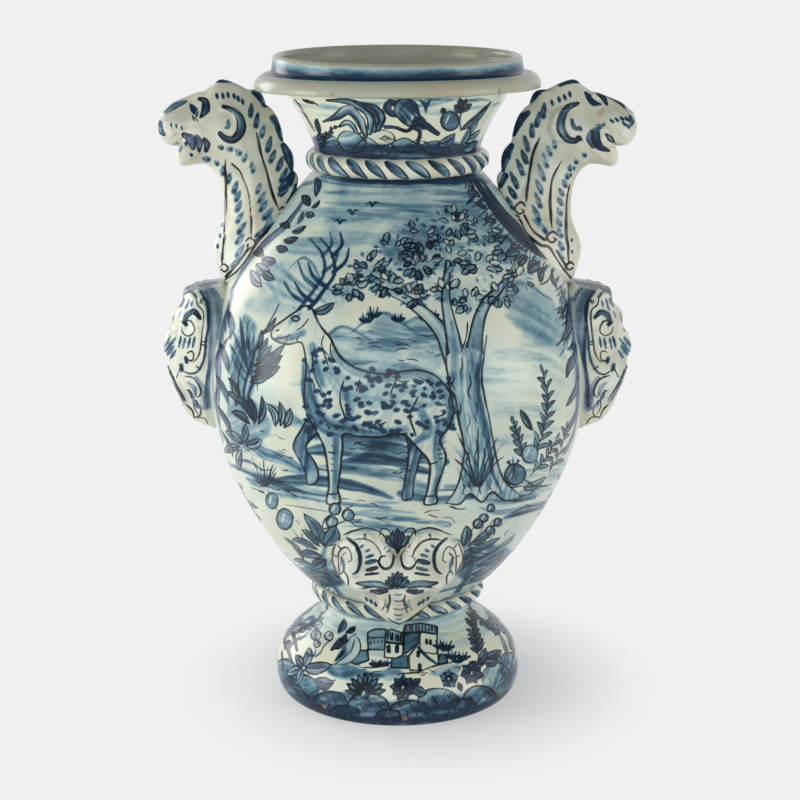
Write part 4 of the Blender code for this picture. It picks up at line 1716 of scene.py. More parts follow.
    def flowers(self, brush: Brush) -> None:
        """Paint the fence, the flowers and the leaves round the village.

        Args:
            brush: what paints, set to one side of the vase.
        """
        for start, end in (
            ((291, 626), (297, 650)), ((284, 640), (292, 662)), ((290, 628), (304, 624)), ((292, 634), (305, 630)),
            ((294, 641), (305, 636)), ((285, 647), (296, 642)), ((282, 652), (283, 668))
        ):
            brush.stroke([start, end], (2.6, 3.4, 2.6), 0.55, 0.6, 0.8, outline=1.0)
        brush.stroke([(300, 619), (312, 609), (318, 600)], (3, 7, 4), 0.42, 0.7, 2, 0.9)
        brush.stroke([(298, 612), (308, 602)], (2, 4, 2), 0.36, 0.7, 2, 0.9)
        for x, y, radius in ((318, 625, 4.2), (316, 635, 5), (329, 636, 4.4), (317, 644, 3.6)):
            brush.berry((x, y), radius, 0.22, 0.4)
            brush.line([(x - 1.5, y + 1), (x + 1, y - 1.5), (x + 1.5, y + 1.5)], 1.0)
        brush.line([(320, 655), (324, 645), (333, 640)], 1.3)
        brush.leaf((336, 664), (355, 634), 19, 0.30, 0.1, 0.16, 1.1)
        brush.leaf((334, 662), (346, 646), 9, 0.55, 0.1, 0.1, 0)
        brush.leaves((
            ((338, 633), (344, 619), 8.5, 0.9), ((336, 646), (346, 634), 8, 0.92),
            ((334, 648), (342, 640), 8, 0.85), ((346, 632), (355, 627), 6, 0.85), ((331, 650), (340, 638), 6, 0.6)
        ), 0.2, 0.1)
        for tip, width in (((309, 648), 12), ((331, 665), 12), ((287, 674), 9), ((296, 655), 8), ((299, 684), 10)):
            brush.leaf((303, 668), tip, width, 0.46, 0.45, 0.06, 1.2)
        brush.berry((304, 668), 2.6, 0.4, 0.4)
        brush.leaf((314, 680), (334, 683), 12, 0.92, 0.15, 0.1)
        brush.tuft((313, 656), 9, 4, 1.6, 0.7, 0.2)
        brush.blossom((365, 694), 20, 9, 0.62, 0.1, 0.85, True)
        brush.blossom((403, 688), 12, 9, 0.95, 0.1, 0.95)
        brush.leaf((413, 686), (427, 694), 9, 0.6, 0.1, 0.1)
        brush.leaf((411, 683), (421, 679), 6, 0.85, 0.1, 0.1)
        brush.blossom((449, 679), 8.5, 5, 0.75, 0.1)
        brush.blossom((472, 673), 11, 7, 0.9, 0.15)
        brush.leaf((458, 683), (462, 691), 5, 0.6, 0.1)
        brush.spray([(479, 658), (476, 642), (472, 626), (471, 612)], 17, 11, 5, 0.82, 0.2, 0.85)
        brush.leaves((
            ((480, 660), (501, 650), 10, 0.6), ((482, 662), (498, 660), 8, 0.66), ((478, 662), (486, 648), 7, 0.7),
            ((470, 662), (484, 664), 6, 0.8), ((507, 656), (499, 634), 8, 0.4), ((510, 650), (506, 630), 8, 0.36),
            ((512, 660), (512, 640), 7, 0.36), ((500, 636), (488, 620), 7, 0.34), ((492, 622), (482, 606), 7, 0.36),
            ((496, 636), (492, 626), 6, 0.3)
        ), 0.55, 0.08, 1.1)


@dataclass
class Belly:
    """Pear-shaped belly in two halves, each of four tiles, and its floor."""

    front: int = 600
    back: int = 340
    step: int = 10
    row: float = 0.0009
    floor_gap: float = 0.0008
    floor_thickness: float = 0.0125
    floor_around: int = 96
    floor_hole: float = 0.0005

    def build(self, glaze: bpy.types.Material) -> list[bpy.types.Object]:
        """Build the tiles of the belly and the floor.

        Args:
            glaze: their finish.

        Returns:
            the pieces.
        """
        lower, upper = STOCK.lower_belly(), STOCK.upper_belly()
        counts = [self.step * round(run_lengths(part)[-1] / self.row / self.step) for part in (lower, upper)]
        lower, upper = (self._resampled(part, count) for part, count in zip((lower, upper), counts))
        outline = np.vstack((lower, upper[1:]))
        azimuths = azimuth_steps(self.front, self.back, False)
        canvas = turned_canvas(outline, azimuths, len(outline))
        self.paint(canvas)
        seam, quarter = counts[0], self.back // 2
        columns = (0, quarter, quarter + self.front // 2, quarter + self.front, len(azimuths) - 1)
        sides = ("back_left", "front_left", "front_right", "back_right")
        inner = moved_in(outline, STOCK.wall)
        pieces = []
        for half, node, rows in (
            ("lower", "lower_belly", slice(0, seam + 1)), ("upper", "upper_belly", slice(seam, len(outline)))
        ):
            for side, start, stop in zip(sides, columns, columns[1:]):
                skin = canvas.points[rows, start:stop + 1]
                behind = turned(inner[rows][::self.step], azimuths[start:stop + 1:self.step])
                piece = closed_tile(
                    f"{half}_belly_{side}", skin, behind, self.step,
                    painted(canvas)[rows, start:stop + 1], canvas.bare[rows, start:stop + 1],
                )
                piece.data.materials.append(glaze)
                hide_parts(node)
                pieces.append(piece)
        pieces.append(self.floor(glaze))
        return pieces

    @staticmethod
    def _resampled(outline: Array, count: int) -> Array:
        """Cut an outline into a number of even steps."""
        lengths = run_lengths(outline)
        return read_off(outline, lengths, np.linspace(0, lengths[-1], count + 1))

    def floor(self, glaze: bpy.types.Material) -> bpy.types.Object:
        """Close the belly with a slightly dished floor disc.

        Args:
            glaze: its finish.

        Returns:
            the piece.
        """
        bottom, reach = STOCK.foot_top + self.floor_gap, STOCK.lower_joint - STOCK.seat_gap
        top = bottom + self.floor_thickness
        outline = np.array((
            (self.floor_hole, bottom), (reach, bottom), (reach, top + 0.003), (reach - 0.012, top + 0.001),
            (reach * 0.5, top - 0.001), (self.floor_hole, top - 0.0012),
        ))
        azimuths = np.linspace(0, TAU, self.floor_around, endpoint=False)
        points = turned(outline, azimuths)
        blank = np.tile(NO_PAINT, (*points.shape[:2], 1))
        piece = closed_ring("belly_floor", points, blank, np.zeros(points.shape[:2]))
        piece.data.materials.append(glaze)
        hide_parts("lower_belly")
        return piece

    def paint(self, canvas: Canvas) -> None:
        """Paint the belly: a landscape on each side, and leaves by the handles.

        Args:
            canvas: the skin to paint.
        """
        self.first_wash(canvas)
        front = Brush(canvas, seed=100)
        back = Brush(canvas, turn=math.pi, flip=True, seed=400)
        for brush in (front, back):
            self.sky(brush)
            self.hills(brush)
            self.ground(brush)
        self.tree(front)
        self.stag(front)
        self.tree(back)
        self.tower(back)
        for brush in (front, back):
            self.left_plants(brush)
            self.right_plants(brush)
            self.low_plants(brush)
            self.handle_leaves(brush)
        self.side_leaves(Brush(canvas, seed=900, chart=canvas.by_height))

    def first_wash(self, canvas: Canvas) -> None:
        """Lay a thin uneven wash all over, deeper under the neck.

        Its tone grows with the height on the shoulder and again towards the foot,
        times ripples whose phase drifts along the skin.

        Args:
            canvas: the belly's skin.
        """
        along, across = canvas.along[:, None], canvas.across[None]
        height = canvas.points[:, :1, 2]
        drift = ripple(73, across * 20 / TAU + 7, 20)
        load = ripple(
            71, across * 32 / TAU + along * 9 + 9, 32
        ) * 0.5 + ripple(72, along * 70 + 2 * drift + 11) * 0.5
        tone = 0.092 + 0.15 * smooth(height, 0.42, 0.50) + 0.05 * smooth(height, 0.20, 0.12)
        canvas.lay(EVERYWHERE, tone * (1 + 0.75 * load), 0.05)

    def sky(self, brush: Brush) -> None:
        """Lay the dark bands under the neck and the streaks of the sky.

        Args:
            brush: what paints, set to one side of the vase.
        """
        brush.streaks((300, 174, 496, 183), 22, 0.50, 0.1, 0.0, 70, 6, 2)
        brush.stroke([
            (316, 178), (350, 183), (397, 185), (450, 183), (480, 178)
        ], (6, 7, 6, 7, 6), 0.34, 0.1, 2, 0.6)
        brush.streaks((325, 190, 500, 222), 26, 0.20, 0.0, 0.02, 90, 4.5, 1.6)
        brush.streaks((300, 205, 520, 252), 24, 0.13, 0.0, 0.03, 100, 7, 2.5)
        brush.streaks((285, 240, 400, 262), 9, 0.11, 0.0, 0.05, 90, 6, 2.5)
        brush.streaks((380, 225, 545, 275), 14, 0.14, 0.0, -0.06, 90, 7, 2.5)
        brush.streaks((250, 330, 560, 470), 46, 0.12, 0.1, 0.03, 70, 6, 2.5)
        brush.patch([
            (322, 340), (340, 326), (362, 330), (384, 314), (408, 322), (440, 318), (446, 350), (430, 372),
            (380, 374), (340, 362)
        ], 0.20, 0.0, soft=5, streak=0.9, lean=-0.2)
        for knots in (
            [(322, 340), (340, 327), (356, 331), (372, 341)],
            [(352, 332), (370, 318), (386, 313), (400, 322), (420, 336)], [(404, 324), (424, 316), (444, 322)]
        ):
            brush.stroke(knots, (1.2, 3.4, 2.6, 3.0, 1.2), 0.40, 0.05, 1.6, 0.6)
        for x, y, reach in ((366, 318, 9), (374, 313, 11), (398, 317, 8), (432, 314, 9), (426, 316, 7)):
            brush.tuft((x, y + 4), reach, 7, 1.9, 0.55, 0.05, outline=1.0)
        brush.streaks((330, 330, 444, 366), 16, 0.26, 0.05, 0.06, 56, 5, 2)
        brush.pen_marks((338, 330, 440, 366), 14, 15, 0.05, 0.7)
        for x, y in ((352, 214), (372, 206), (340, 224)):
            brush.stroke([
                (x - 6, y - 2), (x - 2, y - 4), (x, y), (x + 3, y - 4), (x + 7, y - 3)
            ], (0.8, 2.4, 2.0, 2.4, 0.8), 0.85)

    def hills(self, brush: Brush) -> None:
        """Paint the far hills at both sides with leaning streaks.

        Args:
            brush: what paints, set to one side of the vase.
        """
        brush.patch([
            (258, 272), (275, 263), (297, 264), (322, 282), (345, 300), (330, 309), (296, 300), (262, 296)
        ], 0.15, 0.05, soft=5, streak=0.9, lean=-0.6)
        brush.patch([
            (244, 300), (262, 297), (300, 306), (300, 316), (262, 314), (246, 308)
        ], 0.13, soft=6, streak=0.8, lean=-0.3)
        brush.stroke([
            (290, 268), (297, 261), (304, 258), (312, 264), (318, 275), (325, 287), (342, 296)
        ], (1.2, 3.4, 2.6, 3.0, 2.6, 1.2), 0.34, 0.05, 1.4, 0.5)
        brush.stroke([(296, 266), (303, 263), (307, 270), (311, 281), (320, 292)], (3, 5, 4, 2), 0.16, 0.0, 3)
        for start, end in (
            ((262, 270), (300, 292)), ((276, 266), (322, 300)), ((288, 276), (330, 306)), ((266, 284), (300, 304))
        ):
            brush.stroke([start, end], (2, 5, 3, 1), 0.15, 0.05, 2.5, 0.8)
        brush.patch([
            (505, 300), (508, 288), (520, 283), (533, 287), (550, 300), (566, 318), (568, 340), (540, 340),
            (512, 320)
        ], 0.24, 0.0, soft=9, streak=0.4, lean=0.55)
        brush.stroke([
            (506, 296), (508, 288), (518, 283), (530, 285), (540, 293), (552, 300)
        ], (2, 4.5, 4, 3.5, 2), 0.40, 0.0, 2, 0.6)
        for x, y, reach, tone in (
            (508, 304, 48, 0.40), (506, 316, 56, 0.44), (514, 324, 50, 0.34), (524, 336, 42, 0.28),
            (528, 352, 40, 0.24), (532, 366, 32, 0.20), (512, 296, 34, 0.30)
        ):
            brush.stroke([
                (x, y), (x + reach * 0.5, y + reach * 0.22), (x + reach, y + reach * 0.55)
            ], (1, 7, 6, 1), tone * 0.6, 0.0, 5.5, 0.5)

    def ground(self, brush: Brush) -> None:
        """Paint the banks and shadows that the plants stand on.

        Args:
            brush: what paints, set to one side of the vase.
        """
        for knots, widths, tone, hue in (
            ([(226, 462), (262, 478), (300, 489), (340, 496)], (3, 9, 9, 3), 0.36, 0.1),
            ([(238, 436), (262, 452), (290, 462), (316, 478)], (6, 13, 10, 3), 0.40, 0.15),
            ([(262, 404), (290, 418), (312, 436)], (5, 12, 5), 0.26, 0.1),
            ([(262, 482), (310, 480), (360, 487), (392, 498)], (4, 12, 12, 4), 0.46, 0.05),
            ([(286, 494), (335, 503), (390, 508)], (2, 5, 3), 0.30, 0.1),
            ([(300, 470), (345, 468), (395, 476), (430, 488)], (4, 12, 12, 4), 0.40, 0.2),
            ([(300, 452), (345, 448), (395, 452), (446, 462)], (5, 16, 17, 6), 0.48, 0.1),
            ([(306, 438), (350, 436), (400, 438), (436, 446)], (3, 10, 10, 4), 0.42, 0.15),
            ([(340, 462), (372, 458), (410, 466), (440, 476)], (3, 9, 9, 3), 0.40, 0.05),
            ([(400, 494), (440, 500), (470, 496), (500, 492)], (6, 10, 8, 3), 0.40, 0.05),
            ([(446, 486), (480, 487), (522, 483), (540, 488)], (3, 8, 8, 3), 0.46, 0.0),
            ([(470, 498), (500, 503), (535, 498)], (3, 7, 4), 0.30, 0.0),
            ([(505, 518), (524, 510), (548, 503), (552, 494)], (4, 12, 10, 3), 0.62, 0.15),
            ([(480, 508), (500, 512), (530, 506)], (2, 6, 3), 0.30, 0.0),
            ([(345, 512), (385, 517), (430, 522)], (4, 9, 4), 0.20, 0.1),
            ([(352, 522), (392, 528), (424, 534)], (3, 7, 3), 0.26, 0.1),
        ):
            brush.stroke(knots, widths, tone, hue, 2.5, 0.9)
        brush.streaks((246, 470, 352, 498), 12, 0.30, 0.1, 0.18, 56, 5, 3)
        brush.streaks((310, 436, 446, 476), 26, 0.36, 0.1, 0.06, 56, 4.5, 1.8)
        brush.streaks((326, 500, 452, 532), 12, 0.28, 0.1, 0.04, 60, 4, 1.8)
        brush.streaks((500, 440, 570, 500), 10, 0.20, 0.0, -0.1, 40, 5, 2.5)
        brush.streaks((400, 484, 540, 500), 12, 0.26, 0.0, -0.02, 60, 5, 3)
        brush.lines((
            ((236, 468), (300, 490)), ((286, 505), (330, 512)), ((500, 488), (526, 486)), ((440, 490), (470, 491))
        ), 1.0)
        brush.pen_marks((250, 466, 330, 492), 16, 18, 0.3)
        brush.pen_marks((345, 440, 405, 478), 14, 16, 0.05)
        brush.pen_marks((340, 498, 460, 524), 18, 18, 0.06)
        brush.pen_marks((492, 484, 540, 506), 12, 14, -0.1)
        brush.pen_marks((238, 420, 290, 462), 10, 12, 0.5)

    def tree(self, brush: Brush) -> None:
        """Paint a gnarled tree with a dark crown of leaves.

        Args:
            brush: what paints, set to one side of the vase.
        """
        for knots, widths, tone in (
            ([(462, 380), (440, 330), (410, 302), (380, 288)], (20, 13, 9, 4), 0.34),
            ([(470, 380), (480, 316), (500, 288), (520, 270)], (22, 12, 8, 3), 0.38),
            ([(460, 370), (446, 300), (448, 262)], (16, 9, 4), 0.34),
        ):
            brush.stroke(knots, widths, tone, 0.15, 0.9, 0.9, 1.4, True)
        brush.patch([
            (448, 502), (458, 484), (464, 450), (456, 412), (448, 378), (446, 358), (458, 349), (474, 348),
            (485, 358), (482, 380), (490, 420), (496, 455), (504, 480), (520, 496), (504, 500), (492, 492),
            (482, 503), (470, 494), (460, 506)
        ], 0.30, 0.15, streak=1.0, lean=1.5, shape=True)
        brush.lines((
            [(446, 344), (447, 372), (456, 412), (464, 450), (458, 484), (446, 503)],
            [(487, 336), (482, 380), (490, 420), (496, 455), (504, 480), (522, 497)],
            [(446, 503), (460, 504), (470, 494), (482, 502), (492, 492), (504, 500), (522, 497)],
            [(461, 352), (466, 338), (468, 322)]
        ), 1.5)
        for knots, tone in (
            ([(482, 342), (477, 390), (486, 430), (492, 470), (502, 494)], 0.46),
            ([(474, 338), (470, 385), (478, 425), (484, 465), (488, 490)], 0.22),
            ([(452, 346), (456, 390), (464, 430), (462, 470)], 0.18), ([(452, 322), (458, 352), (462, 384)], 0.20),
            ([(480, 318), (474, 350), (476, 384)], 0.24), ([(446, 334), (462, 352), (474, 346)], 0.16),
            ([(466, 344), (470, 362), (468, 392)], 0.30)
        ):
            brush.stroke(knots, (3, 6, 7, 5, 2), tone, 0.1, 2, 0.9)
        for x, y, reach in (
            (453, 372, 18), (461, 358, 22), (469, 374, 26), (477, 362, 20), (459, 402, 22), (468, 412, 26),
            (476, 402, 22), (484, 418, 20), (467, 444, 24), (475, 438, 28), (484, 448, 22), (492, 454, 18),
            (470, 474, 16), (480, 476, 18), (490, 478, 12), (463, 484, 12)
        ):
            brush.line([(x, y), (x + 1.6, y + reach * 0.35), (x - 0.8, y + reach * 0.7), (x + 2, y + reach)], 1.0)
        clumps = (
            (370, 270, 28), (396, 250, 30), (350, 288, 20), (424, 236, 32), (388, 284, 24), (452, 224, 32),
            (420, 266, 28), (482, 232, 28), (450, 258, 32), (508, 250, 26), (482, 266, 28), (518, 278, 20),
            (500, 294, 20), (414, 296, 20), (448, 292, 24), (470, 302, 18)
        )
        chance = np.random.default_rng(52)
        for x, y, reach in clumps:
            rim = [
                (
                    x + reach * chance.uniform(0.42, 0.7) * math.cos(turn),
                    y + reach * chance.uniform(0.34, 0.56) * math.sin(turn)
                )
                for turn in np.linspace(0, TAU, 9, endpoint=False)
            ]
            far = 0.6 if x > 440 and y > 226 else 0.85
            brush.patch(rim, far * chance.uniform(0.16, 0.36), 0.05, soft=3, streak=0.9, lean=chance.uniform(0, 3))
            for turn in np.linspace(0, TAU, 13, endpoint=False):
                out = reach * chance.uniform(0.34, 0.66)
                start = (x + out * math.cos(turn), y + 0.8 * out * math.sin(turn))
                ahead = turn + chance.uniform(-0.9, 0.9)
                brush.stroke(
                    [start, (start[0] + 5 * math.cos(ahead), start[1] + 4 * math.sin(ahead))], (1.2, 3.4, 1.6),
                    far * chance.uniform(0.36, 0.9), 0.1, 0.8, 0.7,
                )
            for _ in range(14 if far > 0.7 else 9):
                turn = chance.uniform(0, TAU)
                out, heading = reach * chance.uniform(0.12, 0.52), turn + chance.uniform(-0.9, 0.9)
                base = np.array((x + out * math.cos(turn), y + 0.8 * out * math.sin(turn)))
                size = chance.uniform(7.0, 12.5)
                tone = far * (0.62 + 0.24 * math.sin(turn) + chance.uniform(-0.26, 0.26))
                brush.leaf(
                    base, base + size * np.array((math.cos(heading), 0.85 * math.sin(heading))), size * 0.52, tone,
                    chance.uniform(0, 0.25), chance.uniform(-0.2, 0.2), 1.15, False,
                )

    def stag(self, brush: Brush) -> None:
        """Paint a spotted stag that stands under the tree.

        Args:
            brush: what paints, set to one side of the vase.
        """
        far_legs = (
            [
                (330, 420), (318, 432), (306, 446), (311, 456), (318, 470), (316, 482), (308, 484), (305, 472),
                (298, 458), (293, 446), (300, 432), (312, 414)
            ],
            [
                (424, 420), (426, 440), (420, 458), (414, 480), (412, 498), (402, 499), (404, 484), (408, 462),
                (408, 444), (402, 424)
            ]
        )
        for legs in far_legs:
            brush.patch(legs, 0.62, 0.2, 1.5, streak=0.8, lean=1.4, shape=True)
        brush.patch([
            (318, 322), (330, 338), (340, 356), (356, 368), (385, 374), (415, 370), (436, 376), (450, 392),
            (454, 410), (448, 428), (440, 440), (446, 456), (442, 474), (436, 490), (437, 503), (424, 504),
            (428, 488), (430, 472), (428, 460), (416, 446), (402, 434), (380, 437), (358, 436), (344, 434),
            (342, 450), (340, 470), (338, 488), (340, 502), (327, 503), (329, 486), (328, 468), (324, 448),
            (316, 430), (306, 412), (304, 392), (306, 368), (304, 350), (300, 342), (288, 344), (276, 341),
            (271, 335), (273, 328), (284, 320), (296, 311), (303, 306), (311, 308)
        ], 0.13, 0.0, 1.6, streak=0.8, lean=1.2, shape=True)
        for knots, widths, tone in (
            ([
                (306, 366), (309, 396), (324, 424), (350, 431), (380, 434), (404, 430)
            ], (7, 13, 15, 14, 12, 7), 0.52),
            ([(334, 352), (350, 368), (384, 376), (418, 373), (440, 386), (449, 404)], (4, 9, 10, 10, 12, 9), 0.34),
            ([(330, 372), (352, 392), (392, 396), (430, 398)], (12, 22, 22, 18), 0.22),
            ([(312, 346), (316, 366), (322, 384)], (6, 9, 7), 0.34),
            ([(336, 440), (336, 470), (335, 498)], (6, 5, 5), 0.46),
            ([(442, 424), (437, 450), (439, 472), (432, 500)], (12, 7, 5, 5), 0.50),
            ([(420, 410), (428, 432), (416, 442)], (6, 10, 4), 0.40),
            ([(344, 388), (350, 408), (344, 424)], (4, 8, 4), 0.36),
            ([(278, 338), (290, 338), (303, 333)], (4, 5, 5), 0.44), ([(300, 314), (290, 322)], (3, 4), 0.30),
            ([(452, 396), (450, 424)], (5, 7), 0.5)
        ):
            brush.stroke(knots, widths, tone, 0.05, 4, 0.7)
        chance = np.random.default_rng(31)
        for _ in range(230):
            x, y = chance.uniform(304, 454), chance.uniform(336, 436)
            if y < 371 + 5 * math.sin(x / 16) and x > 346 or (x <= 346 and y < 344 + (x - 312) * 0.75):
                continue
            turn, reach = chance.uniform(-0.6, 0.6), chance.uniform(0.6, 2.6)
            brush.stroke([
                (x - reach, y - reach * turn), (x + reach, y + reach * turn)
            ], (3.2, 4.4, 3.6, 2.4), chance.uniform(0.6, 1.0), 0.0, 0.8)
        for start, end, count, ray in (
            ((330, 430), (372, 434), 7, (-3, -6)), ((286, 342), (296, 341), 3, (2, -4)),
            ((446, 404), (443, 420), 4, (-6, 2)), ((440, 444), (444, 458), 4, (-5, 1)),
            ((331, 446), (330, 470), 5, (4, 1)), ((404, 446), (406, 470), 5, (4, 1))
        ):
            brush.hatch(start, end, count, ray, 0.9)
        for knots, width in (
            ([(296, 331), (303, 326), (309, 318)], 1.2),
            ([(291, 318), (296, 316), (300, 319), (295, 321), (291, 318)], 1.8), ([(275, 331), (279, 330)], 2.2),
            ([(274, 338), (284, 338), (290, 335)], 1.3), ([(344, 380), (340, 400), (346, 420)], 1.3),
            ([(418, 396), (410, 416), (416, 436)], 1.3), ([(312, 352), (314, 372), (322, 392)], 1.1),
            ([(322, 346), (328, 366)], 1.1), ([(328, 452), (336, 454)], 1.1), ([(430, 464), (438, 462)], 1.1),
            ([(329, 494), (338, 494)], 1.4), ([(426, 496), (436, 496)], 1.4), ([(360, 378), (356, 392)], 1.0),
            ([(396, 380), (390, 396)], 1.0), ([(376, 426), (386, 422)], 1.0),
            ([(324, 334), (322, 346), (330, 358)], 0.9), ([(331, 343), (331, 354), (338, 364)], 0.9),
            ([(308, 376), (314, 384), (315, 394)], 0.9), ([(307, 392), (315, 402), (318, 412)], 0.9),
            ([(392, 376), (400, 381), (410, 381)], 0.8), ([(418, 376), (428, 382), (436, 390)], 0.8)
        ):
            brush.line(knots, width)
        brush.leaf((313, 312), (334, 303), 8, 0.5, 0.2, 0.1)
        brush.leaf((452, 392), (458, 414), 7, 0.6, 0.2, 0.1)
        for sway, tone in ((-10, 0.55), (0, 0.92)):
            for knots in (
                [(310 + sway, 308), (322 + sway, 292), (334 + sway, 274), (332 + sway, 254), (320 + sway, 238)],
                [(314 + sway, 302), (303 + sway, 295), (294 + sway, 282)],
                [(326 + sway, 287), (314 + sway, 277), (308 + sway, 262)],
                [(334 + sway, 272), (345 + sway, 262), (349 + sway, 248)],
                [(333 + sway, 256), (342 + sway, 244), (340 + sway, 232)]
            ):
                brush.stroke(knots, (4.4, 3.8, 3.2, 2.4, 1.2), tone, 0.1, 0.8, 0.6)

    def tower(self, brush: Brush) -> None:
        """Paint a ruined tower with its wall, for the back.

        Args:
            brush: what paints, set to one side of the vase.
        """
        for corners, tone in (
            ([(330, 480), (330, 400), (336, 392), (384, 392), (390, 400), (390, 482)], 0.22),
            ([(390, 482), (390, 432), (440, 424), (444, 486)], 0.34),
            ([(286, 486), (286, 446), (330, 440), (330, 480)], 0.16),
        ):
            brush.patch(corners, tone, 0.1, 1.6, streak=0.9, lean=1.5, shape=True, rounded=False)
        for x in (332, 344, 356, 368, 380):
            brush.patch([(x, 392), (x, 382), (x + 7, 382), (x + 7, 392)], 0.3, 0.1, 1.4, shape=True, rounded=False)
        brush.patch([(284, 446), (308, 424), (334, 440)], 0.66, 0.1, 1.5, shape=True, rounded=False)
        for x, y, size in (
            (346, 412, 4), (366, 412, 4), (356, 438, 4), (404, 448, 4), (424, 446, 4), (304, 460, 4), (372, 456, 3)
        ):
            brush.patch([
                (x - size, y + 8), (x - size, y - 3), (x, y - 7), (x + size, y - 3), (x + size, y + 8)
            ], 0.85, 0.1, 1.2, shape=True)
        brush.patch([(348, 482), (348, 466), (356, 460), (364, 466), (364, 482)], 0.9, 0.1, 1.3, shape=True)
        brush.hatch((376, 400), (386, 476), 12, (10, -2), 1.0)
        brush.hatch((428, 432), (434, 480), 9, (10, -1), 1.0)
        for x, y in ((282, 488), (318, 492), (404, 492), (446, 488)):
            brush.spray([(x, y), (x + 2, y - 16), (x - 3, y - 34)], 8, 15, 6.5, 0.7, 0.05)

    def left_plants(self, brush: Brush) -> None:
        """Paint the teal plume, the outlined bush and the flower at the left.

        Args:
            brush: what paints, set to one side of the vase.
        """
        brush.patch([
            (238, 330), (246, 314), (258, 330), (264, 350), (254, 388), (244, 408), (232, 396), (230, 362)
        ], 0.36, 0.0, 0, 5, 0.9, 1.2)
        brush.patch([
            (228, 404), (244, 398), (262, 408), (270, 430), (250, 452), (230, 440)
        ], 0.26, 0.3, 0, 5, 0.9, 0.4)
        for tip, base, width, tone in (
            ((240, 318), (246, 352), 5, 0.62), ((248, 322), (250, 356), 5, 0.6), ((233, 330), (246, 366), 5, 0.52),
            ((230, 344), (246, 374), 5, 0.46), ((242, 332), (248, 372), 7, 0.66), ((254, 332), (254, 366), 4, 0.56),
            ((232, 356), (246, 382), 5, 0.44), ((250, 344), (252, 380), 7, 0.62)
        ):
            brush.stroke([
                base, ((base[0] + tip[0]) / 2 - 1, (base[1] + tip[1]) / 2), tip
            ], (1.4, width, width, 1.2), tone, 0.0, 1.6, 0.9)
        for knots in (
            [(246, 412), (244, 392), (250, 368), (258, 344), (270, 322), (279, 304)],
            [(242, 408), (238, 384), (242, 360)], [(248, 410), (250, 390), (262, 372), (276, 358)],
            [(236, 404), (232, 388), (232, 372)]
        ):
            brush.stroke(knots, (4.5, 3.6, 2.6, 1.2), 0.62, 0.0, 1.1, 0.6)
            brush.line(knots, 1.1)
        brush.leaves((
            ((262, 334), (276, 318), 5, 0.52), ((257, 350), (262, 330), 6, 0.66), ((258, 354), (268, 338), 6, 0.7),
            ((256, 360), (272, 346), 6, 0.6), ((254, 366), (284, 346), 8, 0.6), ((254, 372), (282, 356), 8, 0.68),
            ((252, 378), (280, 366), 8, 0.72), ((250, 382), (272, 372), 7, 0.7), ((240, 396), (228, 378), 6, 0.5),
            ((241, 404), (226, 392), 6, 0.5)
        ), 0.0, 0.08)
        brush.leaves((
            ((252, 420), (236, 396), 9, 0.85), ((254, 424), (248, 396), 9, 0.9), ((258, 424), (262, 396), 8, 0.86),
            ((250, 424), (232, 412), 8, 0.8), ((276, 426), (268, 404), 8, 0.42), ((280, 426), (280, 402), 7, 0.36),
            ((284, 428), (290, 408), 7, 0.3)
        ), 0.05, 0.1)
        for base, tip, width in (
            ((242, 444), (226, 432), 10), ((242, 442), (246, 424), 9), ((246, 446), (262, 440), 9),
            ((242, 450), (238, 470), 10), ((240, 446), (224, 452), 8)
        ):
            brush.leaf(base, tip, width, 0.46, 0.45, 0.06, 1.2)
        brush.pen_marks((234, 330, 262, 400), 14, 16, 1.5, 0.9)
        brush.tuft((264, 486), 26, 9, 1.3, 0.42, 0.1, outline=1.0)
        brush.stroke([(262, 470), (250, 462), (236, 460)], (2, 4, 1), 0.4, 0.1, 1)

    def right_plants(self, brush: Brush) -> None:
        """Paint the tall grass, the fruit and the spiky sprigs at the right.

        Args:
            brush: what paints, set to one side of the vase.
        """
        brush.tuft((478, 486), 58, 9, 1.25, 0.42, 0.05, outline=1.0)
        brush.tuft((470, 486), 38, 5, 1.0, 0.34, 0.05)
        for stem, count, length in (
            ([(528, 462), (538, 446), (545, 424), (548, 398), (543, 374)], 17, 17),
            ([(524, 460), (520, 442), (514, 424)], 9, 13), ([(530, 476), (546, 458), (556, 440)], 9, 14),
            ([(548, 474), (560, 452), (566, 428)], 8, 13)
        ):
            brush.spray(stem, count, length, 5, 0.56, 0.05, 0.6, 1.0)
        brush.berry((515, 474), 10.5, 0.58, 0.05)
        for turn in (-0.6, -0.2, 0.25, 0.6):
            brush.line([(514, 465), (514 + 9 * math.sin(turn), 465 + 15 * math.cos(turn))], 1.0)
        brush.tuft((513, 464), 7, 3, 1.2, 0.7, outline=1.2)
        brush.berry((530, 454), 8, 0.42, 0.05, 1.1)
        brush.leaf((524, 488), (546, 478), 11, 0.46, 0.1, 0.1)
        brush.line([(522, 478), (536, 486), (552, 484)], 1.2)
        brush.leaf((532, 430), (520, 410), 6, 0.5, 0.0)
        brush.leaf((566, 378), (572, 356), 9, 0.75, 0.3)

